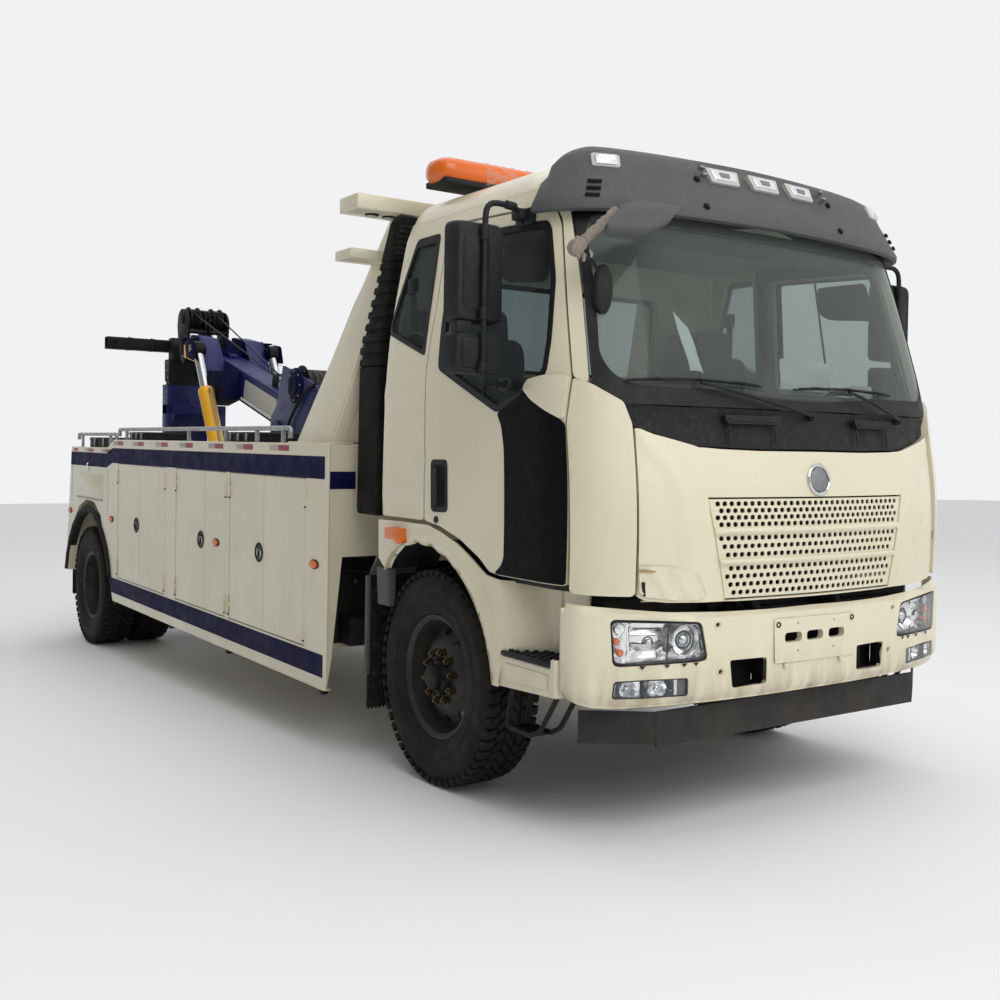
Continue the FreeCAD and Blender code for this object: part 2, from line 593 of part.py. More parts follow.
front_glass = common(prism("Y", [(1268, 1794), (1086, 2596), (1078, 2596), (1260, 1794)], -1000, 1000), screen_c := prism(
    "X", [(-955, 1795), (-855, 2595), (855, 2595), (955, 1795)], 980, 1400))
glasses = [common(front_glass, prism("Z", IN_PLAN, 1700, 2700)), box(-500, -494, -555, 555, 2005, 2445),
           side_glass(QUARTER, 1), side_glass(QUARTER, -1)]
piece("cab_glass", group(glasses))

flap = cut(common(cab_solid(), box(1000, 1500, -924, 924, 996, 1606)), prism("Z", plan_back(50), 900, 1630))
piece("front_flap", flap)

visor = cut(common(prism("Y", [(1160, 2610), (1130, 2700), (960, 2870), (620, 2900), (620, 2856), (880, 2830), (1060, 2690), (1090, 2612)], -1050, 1050),
                   prism("Z", [(1180, 0), (1150, 500), (1080, 800), (900, 1080), (600, 1100), (600, -1100), (900, -1080), (1080, -800), (1150, -500)], 2500, 3000)),
            cab_solid())
piece("visor", visor)
piece("light_bar", fuse(box(-420, -180, -1000, 1000, 2885, 3035), both(-340, -260, 500, 620, 2833, 2889)))
piece("seats", group(*[fuse(box(-60, 440, y - 240, y + 240, 1500, 1640), box(-160, -60, y - 240, y + 240, 1500, 2250), box(-60, 380, y - 180, y + 180, 1300, 1500)) for y in (780, -780)],
                     box(-470, -200, -1050, 1050, 1560, 1680)))
dash = common(cab_void(), prism("Y", [(1075, 1450), (1100, 1700), (1180, 1745), (900, 1780), (800, 1700), (850, 1450)], -965, 965))
wheel_s = spin("Z", [(205, -14), (233, -14), (233, 14), (205, 14)], 0, 0)
column = turned(fuse(cyl("Z", 28, -330, 0, 0, 0), box(-220, 220, -18, 18, -12, 8), wheel_s), V(0, 1, 0), -28, 640, 760, 1800)
piece("dashboard", fuse(dash, column))

# ------------------------------------------------------------------ winches and boom
plate = [(-3680, 1560), (-2800, 1560), (-2780, 1950), (-2900, 2030), (-3450, 2180), (-3560, 1880), (-3680, 1790)]
plates = [prism("Y", plate, 420, 436), prism("Y", plate, -436, -420)]
feet_w = box(-3680, -2800, -520, 520, 1560, 1582)
ties = [box(-2860, -2800, -430, 430, 1560, 1700)]
wf = cut(fuse(plates[0], plates[1], feet_w, ties[0]), cyl("Y", 35.05, -500, 500, r.boom_px, r.boom_pz))
piece("winch_frame", fuse(wf, cyl("Y", 24, -446, -360, r.drum_x, r.drum_z), cyl("Y", 24, 360, 446, r.drum_x, r.drum_z),
                          cyl("Y", 24, -60, 60, r.drum_x, r.drum_z), box(-3240, -3160, -12, 12, 1580, 2020)))
for side, s in (("left", 1), ("right", -1)):
    pts = [(26, 50), (150, 50), (150, 62), (95, 62), (95, 388), (150, 388), (150, 400), (26, 400)]
    pts = pts if s > 0 else [(a, -b) for a, b in pts]
    piece("winch_drum_" + side, spin("Y", pts, r.drum_x, r.drum_z))

# lift boom drawn level along -X from its pivot, then turned up to rest
w2, dd, bt = r.boom_w * 0.5, r.boom_d * 0.5, r.boom_t
tube = cut(prism("Y", [(-r.boom_len, -dd), (-420, -dd), (-60, -76), (72, -26), (72, 80), (20, dd), (-r.boom_len, dd)], -w2, w2),
           box(-r.boom_len - 10, -480, bt - w2, w2 - bt, bt - dd, dd - bt))
pin = cyl("Y", 35, -440, 440, 0, 0)
rise = math.radians(r.boom_rise.v)
ex, ez = r.eye_x.v - r.boom_px.v, r.eye_z.v - r.boom_pz.v
eye = (ex * math.cos(rise) - ez * math.sin(rise), ex * math.sin(rise) + ez * math.cos(rise))
eye_pins = [cyl("Y", 26, 200, 405, eye[0], eye[1]), cyl("Y", 26, -405, -200, eye[0], eye[1])]
eye_pads = [cyl("Y", 70, 200, 298, eye[0], eye[1]), cyl("Y", 70, -298, -200, eye[0], eye[1])]
boom_o = turned(fuse(tube, pin, eye_pins, eye_pads), V(0, 1, 0), r.boom_rise, r.boom_px, 0, r.boom_pz)
# wide housing round the top of the outer boom, with the clevis plates of the lift rods
HOUSE = [(-6030, 2450), (-6030, 2592), (-5980, 2593), (-5740, 2540), (-5510, 2240), (-4900, 2080), (-4850, 1975), (-5150, 1920)]
HOUSE_IN = [(-6060, 2400), (-6060, 2578), (-5980, 2579), (-5748, 2527), (-5520, 2226), (-4910, 2066), (-4870, 1985), (-4900, 1900), (-5140, 1880)]
CLEVIS = [(-5820, 2370), (-5880, 2565), (-5510, 2520), (-5460, 2330)]
half = cut(prism("Y", HOUSE, w2 - 2, 272), prism("Y", HOUSE_IN, w2 + 10, 262))
wing = fuse(half, prism("Y", CLEVIS, 405, 417), box(-5880, -5810, 262, 417, 2400, 2540), box(-5660, -5560, 200, 270, 2370, 2440))
piece("boom_outer", fuse(boom_o, wing, mirror(wing)))
inner = box(-2971, -910, -105, 105, -100, 100)
HEAD = [(-2940, -100), (-3010, -120), (-3190, 60), (-3270, 230), (-3260, 380), (-3170, 430), (-3010, 430), (-2930, 330), (-2910, 60)]
head = [prism("Y", HEAD, 185, 205), prism("Y", HEAD, -205, -185), box(-3000, -2960, -190, 190, -100, 100),
        cyl("Y", 120, -160, -60, -3101, 300), cyl("Y", 120, 60, 160, -3101, 300), cyl("Y", 30, -210, 210, -3101, 300)]
piece("boom_inner", turned(fuse(inner, head), V(0, 1, 0), r.boom_rise, r.boom_px, 0, r.boom_pz))

# lift cylinders, drawn standing from the foot pivot
ang = -math.degrees(math.atan2(r.cyl_px.v - r.eye_x.v, r.eye_z.v - r.cyl_pz.v))
clen = math.hypot(r.cyl_px.v - r.eye_x.v, r.eye_z.v - r.cyl_pz.v)
barrels = []
rods = []
for n in (1, -1):
    y = r.cyl_y * n
    barrels.append(cut(fuse(cyl("Z", r.cyl_r, -40, 1095, 0, y)), cyl("Z", r.cyl_r - 14, 200, 1065, 0, y), cyl("Z", r.rod_r + 1, 300, 1200, 0, y)))
    head_e = cut(cyl("Y", 75, y - 45, y + 45, 0, clen), cyl("Y", 50, y - 60, y + 60, 0, clen))
    rods.append(fuse(cyl("Z", r.rod_r, 300, clen - 60, 0, y), cyl("Z", r.cyl_r - 16, 290, 350, 0, y), head_e))
barrel_pin = cyl("Y", 30, -470, 470, 0, 0)
piece("lift_barrels", turned(fuse(barrels, barrel_pin), V(0, 1, 0), ang, r.cyl_px, 0, r.cyl_pz))
piece("lift_rods", turned(group(rods), V(0, 1, 0), ang, r.cyl_px, 0, r.cyl_pz))

# ------------------------------------------------------------------ underlift, folded up
col = [both(-6760, -6640, 215, 300, 700, 1960), box(-6760, -6640, -300, 300, 1860, 1960), both(-6760, -6300, 230, 426, 710, 900),
       box(-6700, -6300, -426, 426, 710, 790), both(-7050, -6700, 215, 255, 640, 800)]
fold_pin = cyl("Y", 32, -255, 255, r.fold_x, r.fold_z)
piece("underlift_column", fuse(col, fold_pin))
arm_o = cut(box(-7080, -6890, -205, 205, 660, 2160), box(-7066, -6904, -187, 187, 900, 2200), cyl("Y", 32.05, -250, 250, r.fold_x, r.fold_z))
piece("underlift_arm", arm_o)
arm_i = box(-7058, -6912, -178, 178, 1000, 2440)
piece("underlift_slider", fuse(arm_i, box(-7070, -6890, -150, 150, 2400, 2640), cyl("X", 30, -7210, -7060, 0, 2562)))
bar_c = cut(box(-7200, -7080, -740, 740, 2502, 2622), cyl("X", 30.05, -7250, -7060, 0, 2562),
            cyl("X", 25, -7250, -7060, 680, 2562), cyl("X", 25, -7250, -7060, -680, 2562))
piece("crossbar", bar_c)

# ------------------------------------------------------------------ check and write
doc.recompute()
bad = []
for o in doc.Objects:
    if "Invalid" in o.State or "Error" in o.State:
        bad.append(o.Name + " " + str(o.State))
for p in PIECES:
    s = p.Shape
    if s.isNull() or not s.isValid() or not s.Solids:
        bad.append("shape " + p.Label)
if bad:
    raise SystemExit("failed: " + "; ".join(bad[:20]))
os.makedirs("parts", exist_ok=True)
names = set(p.Label for p in PIECES)
for f in os.listdir("parts"):
    if f.endswith(".step") and f[:-5] not in names:
        os.remove(os.path.join("parts", f))
total = None
for p in PIECES:
    p.Shape.exportStep("parts/%s.step" % p.Label)
    bb = p.Shape.BoundBox
    total = FreeCAD.BoundBox(bb) if total is None else total
    total.add(bb)
print(len(PIECES), "pieces; box", total)
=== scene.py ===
# Looks of the tow truck.  Everything is drawn in the truck's own frame (metres,
# X forward, Y left, Z up, origin on the ground under the front axle) and then put
# into the row's frame by the matrix T (pitched with the body) or TL (level).
import bpy, bmesh, math, random
import numpy as np
from mathutils import Vector, Matrix
from mathutils.geometry import delaunay_2d_cdt


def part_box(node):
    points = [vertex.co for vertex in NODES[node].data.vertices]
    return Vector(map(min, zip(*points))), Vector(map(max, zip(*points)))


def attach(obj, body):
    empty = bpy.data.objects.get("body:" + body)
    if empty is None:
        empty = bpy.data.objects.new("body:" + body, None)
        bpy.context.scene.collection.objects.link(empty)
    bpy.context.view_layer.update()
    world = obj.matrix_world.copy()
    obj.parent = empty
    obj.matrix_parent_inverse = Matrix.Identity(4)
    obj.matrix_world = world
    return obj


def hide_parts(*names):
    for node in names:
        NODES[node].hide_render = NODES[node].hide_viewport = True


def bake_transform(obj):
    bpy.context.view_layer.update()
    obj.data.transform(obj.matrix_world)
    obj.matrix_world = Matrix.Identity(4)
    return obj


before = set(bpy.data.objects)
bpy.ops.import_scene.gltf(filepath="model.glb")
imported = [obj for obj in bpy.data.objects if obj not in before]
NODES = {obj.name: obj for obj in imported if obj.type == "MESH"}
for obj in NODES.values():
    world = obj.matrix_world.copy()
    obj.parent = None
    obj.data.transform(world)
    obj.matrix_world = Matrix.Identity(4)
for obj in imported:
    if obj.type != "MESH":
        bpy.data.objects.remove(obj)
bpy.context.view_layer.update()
rnd = random.Random(7)

RAKE = math.radians(1.8)
_lo, _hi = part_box("front_tyre_left")
SHIFT = (_lo.x + _hi.x) / 2
T = Matrix.Translation((SHIFT, 0, 0)) @ Matrix.Rotation(RAKE, 4, "Y")
TL = Matrix.Translation((SHIFT, 0, 0))
MIR = Matrix.Diagonal((1, -1, 1, 1))

# ------------------------------------------------------------------ materials
MATS = {}


def lin(c):
    """sRGB 0-255 to linear."""
    return tuple((v / 255.0) ** 2.2 for v in c) + (1.0,)


class Tree:
    """Short hand for making node trees."""

    def __init__(self, name):
        self.mat = bpy.data.materials.new(name)
        self.mat.use_nodes = True
        self.nt = self.mat.node_tree
        self.nt.nodes.clear()
        self.out = self.nt.nodes.new("ShaderNodeOutputMaterial")
        self.bsdf = self.nt.nodes.new("ShaderNodeBsdfPrincipled")
        self.nt.links.new(self.bsdf.outputs[0], self.out.inputs[0])
        self.co = self.nt.nodes.new("ShaderNodeTexCoord")
        self.xyz = self.nt.nodes.new("ShaderNodeSeparateXYZ")
        self.link(self.co.outputs["Object"], self.xyz.inputs[0])
        MATS[name] = self.mat

    def link(self, a, b):
        self.nt.links.new(a, b)

    def node(self, kind, **props):
        n = self.nt.nodes.new(kind)
        for k, v in props.items():
            setattr(n, k, v)
        return n

    def noise(self, scale, detail=4.0, rough=0.55, stretch=None):
        n = self.node("ShaderNodeTexNoise")
        n.inputs["Scale"].default_value = scale
        n.inputs["Detail"].default_value = detail
        n.inputs["Roughness"].default_value = rough
        src = self.co.outputs["Object"]
        if stretch:
            m = self.node("ShaderNodeMapping")
            m.inputs["Scale"].default_value = stretch
            self.link(src, m.inputs["Vector"])
            src = m.outputs[0]
        self.link(src, n.inputs["Vector"])
        return n.outputs["Fac"]

    def ramp(self, src, pts):
        n = self.node("ShaderNodeValToRGB")
        e = n.color_ramp.elements
        while len(e) > len(pts):
            e.remove(e[-1])
        while len(e) < len(pts):
            e.new(1.0)
        for el, (p, c) in zip(e, pts):
            el.position = p
            el.color = c if len(c) == 4 else (c[0], c[0], c[0], 1)
        self.link(src, n.inputs[0])
        return n.outputs[0]

    def mix(self, fac, a, b, blend="MIX"):
        n = self.node("ShaderNodeMix", data_type="RGBA", blend_type=blend)
        for sock, v in ((n.inputs[0], fac), (n.inputs[6], a), (n.inputs[7], b)):
            if hasattr(v, "is_linked") or hasattr(v, "links"):
                self.link(v, sock)
            else:
                sock.default_value = v
        return n.outputs[2]

    def math(self, op, a, b=0.0, c=0.0):
        n = self.node("ShaderNodeMath", operation=op)
        for sock, v in zip(n.inputs, (a, b, c)):
            if hasattr(v, "links"):
                self.link(v, sock)
            else:
                sock.default_value = v
        return n.outputs[0]

    def bump(self, height, strength, dist=0.01):
        n = self.node("ShaderNodeBump")
        n.inputs["Strength"].default_value = strength
        n.inputs["Distance"].default_value = dist
        self.link(height, n.inputs["Height"])
        self.link(n.outputs[0], self.bsdf.inputs["Normal"])

    def set(self, **kw):
        for k, v in kw.items():
            sock = self.bsdf.inputs[k.replace("_", " ")]
            if hasattr(v, "links"):
                self.link(v, sock)
            else:
                sock.default_value = v


def paint(name, col, rough=0.32, coat=0.35, dirt=0.35, dirt_col=(118, 100, 74), low=0.55, high=1.5, peel=0.03, metallic=0.0, vary=0.05, drip=False, spec=0.5):
    """Gloss paint: slow colour drift, orange peel, and dust that gathers low down."""
    t = Tree(name)
    base = lin(col)
    dark = tuple(v * (1 - vary * 2.2) for v in base[:3]) + (1,)
    slow = t.ramp(t.noise(1.7, 5, 0.6), [(0.3, (0,)), (0.72, (1,))])
    c = t.mix(slow, base, dark)
    speck = t.ramp(t.noise(26, 6, 0.7), [(0.55, (0,)), (0.75, (1,))])
    hgt = t.node("ShaderNodeMapRange")
    hgt.inputs[1].default_value = low
    hgt.inputs[2].default_value = high
    hgt.inputs[3].default_value = 1.0
    hgt.inputs[4].default_value = 0.0
    t.link(t.xyz.outputs[2], hgt.inputs[0])
    patch = t.ramp(t.noise(3.1, 8, 0.65, (1, 1, 0.35) if not drip else (3.5, 3.5, 0.5)), [(0.38, (0,)), (0.78, (1,))])
    f = t.math("MULTIPLY", t.math("POWER", hgt.outputs[0], 1.4), patch)
    f = t.math("ADD", t.math("MULTIPLY", f, dirt), t.math("MULTIPLY", speck, min(0.06, dirt * 0.2)))
    c = t.mix(f, c, lin(dirt_col))
    t.set(Base_Color=c, Coat_Weight=coat, Coat_Roughness=0.08, Metallic=metallic, Specular_IOR_Level=spec)
    rr = t.ramp(t.noise(9, 5, 0.6), [(0.3, (rough * 0.85,)), (0.75, (min(1, rough * 1.25),))])
    r2 = t.math("ADD", rr, t.math("MULTIPLY", f, 0.5))
    t.set(Roughness=r2)
    t.bump(t.noise(420, 2, 0.5), peel, 0.002)
    return t.mat


def plastic(name, col, rough=0.6, grain=900, bump=0.12, vary=0.10, dust=0.12, spec=0.4):
    t = Tree(name)
    base = lin(col)
    c = t.mix(t.ramp(t.noise(2.3, 5), [(0.3, (0,)), (0.7, (1,))]), base, tuple(v * (1 - vary * 2) for v in base[:3]) + (1,))
    d = t.ramp(t.noise(38, 7, 0.75), [(0.5, (0,)), (0.82, (dust,))])
    c = t.mix(d, c, lin((150, 145, 132)))
    t.set(Base_Color=c, Specular_IOR_Level=spec)
    t.set(Roughness=t.ramp(t.noise(14, 5), [(0.3, (rough * 0.85,)), (0.8, (min(1, rough * 1.2),))]))
    t.bump(t.noise(grain, 2, 0.5), bump, 0.0015)
    return t.mat


def metal(name, col, rough=0.35, metallic=1.0, streak=(1, 1, 1), vary=0.15, bump=0.03, scale=60):
    t = Tree(name)
    base = lin(col)
    n = t.noise(scale, 5, 0.6, streak)
    c = t.mix(t.ramp(n, [(0.25, (0,)), (0.8, (1,))]), base, tuple(v * (1 - vary * 2) for v in base[:3]) + (1,))
    t.set(Base_Color=c, Metallic=metallic)
    t.set(Roughness=t.ramp(n, [(0.2, (rough * 0.7,)), (0.85, (min(1, rough * 1.4),))]))
    t.bump(t.noise(scale * 6, 3, 0.6), bump, 0.002)
    return t.mat


CREAM = (227, 219, 191)
paint("cab_paint", CREAM, rough=0.30, coat=0.45, dirt=0.30, low=0.6, high=1.6, vary=0.03)
paint("bumper_paint", (227, 219, 191), rough=0.36, coat=0.3, dirt=0.85, dirt_col=(128, 106, 74), low=0.54, high=0.80, vary=0.03, drip=True)
paint("body_paint", (224, 217, 190), rough=0.34, coat=0.35, dirt=0.22, low=0.3, high=1.7, vary=0.05)
paint("door_paint", (224, 217, 190), rough=0.38, coat=0.25, dirt=0.20, dirt_col=(120, 118, 106), low=0.3, high=1.7, vary=0.06)
paint("navy_paint", (31, 35, 98), rough=0.45, coat=0.06, spec=0.35, dirt=0.06, dirt_col=(70, 66, 88), low=0.3, high=2.2, vary=0.12)
paint("band_blue", (17, 18, 62), rough=0.6, coat=0.0, spec=0.12, dirt=0.05, dirt_col=(90, 88, 92), low=0.3, high=1.8, vary=0.08)
# darker copy of the navy paint, used as painted shade on the boom housing's lower faces and side plates, the clevis,
# the cross sheet and the winch bosses
paint("navy_painted_shade", (11, 15, 58), rough=0.7, coat=0.0, spec=0.15, dirt=0.05, dirt_col=(40, 38, 50), low=0.3, high=2.2, vary=0.12)
paint("yellow_paint", (255, 187, 25), rough=0.32, coat=0.35, dirt=0.35, dirt_col=(120, 80, 34), low=1.2, high=2.6, vary=0.06)
paint("chassis_black", (30, 30, 31), rough=0.62, coat=0.0, dirt=0.55, dirt_col=(92, 84, 70), low=0.2, high=1.4, peel=0.15, vary=0.2)
paint("black_steel", (12, 12, 13), rough=0.55, coat=0.0, spec=0.3, dirt=0.10, dirt_col=(86, 82, 76), low=0.4, high=2.6, peel=0.1, vary=0.2)
paint("beam_black", (5, 5, 5), rough=0.75, coat=0.0, spec=0.12, dirt=0.06, dirt_col=(76, 72, 64), low=0.3, high=0.8, peel=0.1, vary=0.2)
paint("engine_metal", (74, 74, 72), rough=0.6, coat=0.0, dirt=0.7, dirt_col=(70, 58, 42), low=0.2, high=1.5, peel=0.3, metallic=0.3, vary=0.2)
metal("bare_metal", (150, 152, 153), rough=0.38, vary=0.18, bump=0.06)
metal("galvanised", (176, 180, 180), rough=0.42, vary=0.22, bump=0.05, scale=30)
metal("chrome", (214, 216, 218), rough=0.12, vary=0.05, bump=0.0)
metal("brass", (112, 98, 72), rough=0.5, vary=0.3, bump=0.1)
metal("rope_steel", (88, 86, 82), rough=0.5, vary=0.35, bump=0.2, scale=300)
plastic("black_plastic", (34, 36, 38), rough=0.60, grain=700, bump=0.12, dust=0.06, spec=0.3)
plastic("visor_plastic", (82, 84, 84), rough=0.62, grain=520, bump=0.25, dust=0.08, vary=0.04)
plastic("cowl_plastic", (26, 27, 28), rough=0.55, grain=800, bump=0.12, dust=0.10, spec=0.3)
plastic("decal_black", (14, 14, 15), rough=0.60, grain=900, bump=0.03, dust=0.02, spec=0.12)
plastic("blind_brown", (70, 66, 60), rough=0.85, grain=500, bump=0.1)
plastic("glass_face", (16, 18, 20), rough=0.15, grain=500, bump=0.0, dust=0.02)
plastic("dash_plastic", (62, 64, 67), rough=0.7, grain=600, bump=0.25)
plastic("lining", (150, 150, 146), rough=0.85, grain=500, bump=0.2)
plastic("seal_rubber", (14, 14, 15), rough=0.55, grain=900, bump=0.05, dust=0.05)
plastic("rubber", (18, 18, 18), rough=0.8, grain=300, bump=0.2, dust=0.25)
plastic("duct_black", (14, 14, 15), rough=0.7, grain=500, bump=0.08, dust=0.06, spec=0.2)
plastic("grey_plastic", (126, 130, 130), rough=0.5, grain=500, bump=0.1)
plastic("white_paper", (236, 238, 238), rough=0.8, grain=300, bump=0.03, dust=0.0, vary=0.03)
plastic("plate_grey", (196, 196, 190), rough=0.5, grain=500, bump=0.05, vary=0.06)
plastic("tape_red", (152, 26, 34), rough=0.35, grain=1200, bump=0.1, dust=0.05)
plastic("tape_silver", (168, 166, 162), rough=0.35, grain=1200, bump=0.1, dust=0.05)
plastic("amber", (240, 112, 22), rough=0.22, grain=200, bump=0.05, dust=0.03, spec=0.6)
plastic("wrap_tape", (150, 138, 126), rough=0.8, grain=120, bump=0.4, dust=0.3)
plastic("brown_film", (158, 140, 112), rough=0.4, grain=60, bump=0.3, dust=0.3)
plastic("pink_tape", (186, 160, 140), rough=0.6, grain=200, bump=0.2, dust=0.3)
plastic("streak_teal", (72, 138, 152), rough=0.5, grain=200, bump=0.05)
plastic("scuff", (172, 140, 96), rough=0.7, grain=200, bump=0.2)
# near-black for holes, recesses and slots, where it is painted shade, and for the real black of dial faces and the
# small rubber marks under the hinges
plastic("dark_hole", (8, 8, 9), rough=0.9, grain=300, bump=0.1, dust=0.0)
metal("reflector", (248, 249, 250), rough=0.16, vary=0.08, bump=0.35, scale=18)


def tyre_mat():
    t = Tree("tyre")
    c = t.mix(t.ramp(t.noise(7, 7, 0.7), [(0.3, (0,)), (0.75, (1,))]), lin((17, 17, 17)), lin((46, 42, 37)))
    t.set(Base_Color=c, Roughness=t.ramp(t.noise(20, 4), [(0.3, (0.7,)), (0.8, (0.92,))]), Specular_IOR_Level=0.3)
    t.bump(t.noise(160, 4, 0.6), 0.25, 0.003)


def rim_mat():
    t = Tree("rim_steel")
    c = t.mix(t.ramp(t.noise(9, 8, 0.7), [(0.3, (0,)), (0.75, (1,))]), lin((62, 62, 58)), lin((40, 37, 31)))
    t.set(Base_Color=c, Metallic=0.35, Roughness=t.ramp(t.noise(30, 4), [(0.3, (0.45,)), (0.8, (0.75,))]))
    t.bump(t.noise(90, 4, 0.6), 0.15, 0.002)


def glass_mat(name, tint, rough=0.02, alpha=0.35, haze=(34, 40, 42)):
    """Tinted pane: part clear, part gloss, so that it shows the inside without caustics."""
    t = Tree(name)
    n = t.noise(6, 6, 0.7)
    g = t.node("ShaderNodeBsdfTransparent")
    g.inputs[0].default_value = lin(tint)
    t.set(Base_Color=t.mix(t.noise(1.1, 3), lin(haze), lin(tuple(v * 0.86 for v in haze))), Specular_IOR_Level=0.6, Roughness=t.ramp(n, [(0.3, (rough,)), (0.9, (rough + 0.06,))]))
    m = t.node("ShaderNodeMixShader")
    fr = t.node("ShaderNodeLayerWeight")
    fr.inputs[0].default_value = 0.5
    f = t.math("MULTIPLY_ADD", t.math("POWER", fr.outputs["Facing"], 4.0), 0.5, alpha)
    t.link(f, m.inputs[0])
    t.link(g.outputs[0], m.inputs[1])
    t.link(t.bsdf.outputs[0], m.inputs[2])
    t.link(m.outputs[0], t.out.inputs[0])


def clear_mat(name, col, alpha, rough, bump=0.0, scale=20):
    t = Tree(name)
    g = t.node("ShaderNodeBsdfTransparent")
    g.inputs[0].default_value = (1, 1, 1, 1)
    t.set(Base_Color=t.mix(t.noise(scale, 4), lin(col), lin(tuple(v * 0.85 for v in col))), Roughness=rough, Specular_IOR_Level=0.8)
    if bump:
        t.bump(t.noise(scale, 5, 0.6), bump, 0.01)
    m = t.node("ShaderNodeMixShader")
    fr = t.node("ShaderNodeLayerWeight")
    fr.inputs[0].default_value = 0.5
    t.link(t.math("MULTIPLY_ADD", t.math("POWER", fr.outputs["Facing"], 4.0), 0.5, alpha), m.inputs[0])
    t.link(g.outputs[0], m.inputs[1])
    t.link(t.bsdf.outputs[0], m.inputs[2])
    t.link(m.outputs[0], t.out.inputs[0])


def fabric_mat():
    t = Tree("seat_fabric")
    w = t.node("ShaderNodeTexWave")
    w.inputs["Scale"].default_value = 120
    t.link(t.co.outputs["Object"], w.inputs["Vector"])
    c = t.mix(t.noise(40, 4), lin((70, 76, 84)), lin((46, 50, 57)))
    t.set(Base_Color=c, Roughness=0.9, Sheen_Weight=0.3)
    t.bump(w.outputs["Fac"], 0.3, 0.002)


tyre_mat()
rim_mat()
fabric_mat()
glass_mat("glass", (222, 228, 227), alpha=0.13, haze=(92, 96, 95))
glass_mat("glass_screen", (238, 243, 241), alpha=0.16, haze=(150, 154, 151))
glass_mat("glass_dark", (196, 204, 205), alpha=0.18, haze=(92, 97, 98))
clear_mat("lamp_glass", (225, 230, 232), 0.05, 0.03)
clear_mat("film", (225, 222, 216), 0.22, 0.15, 0.6, 22)

# ------------------------------------------------------------------ mesh builder


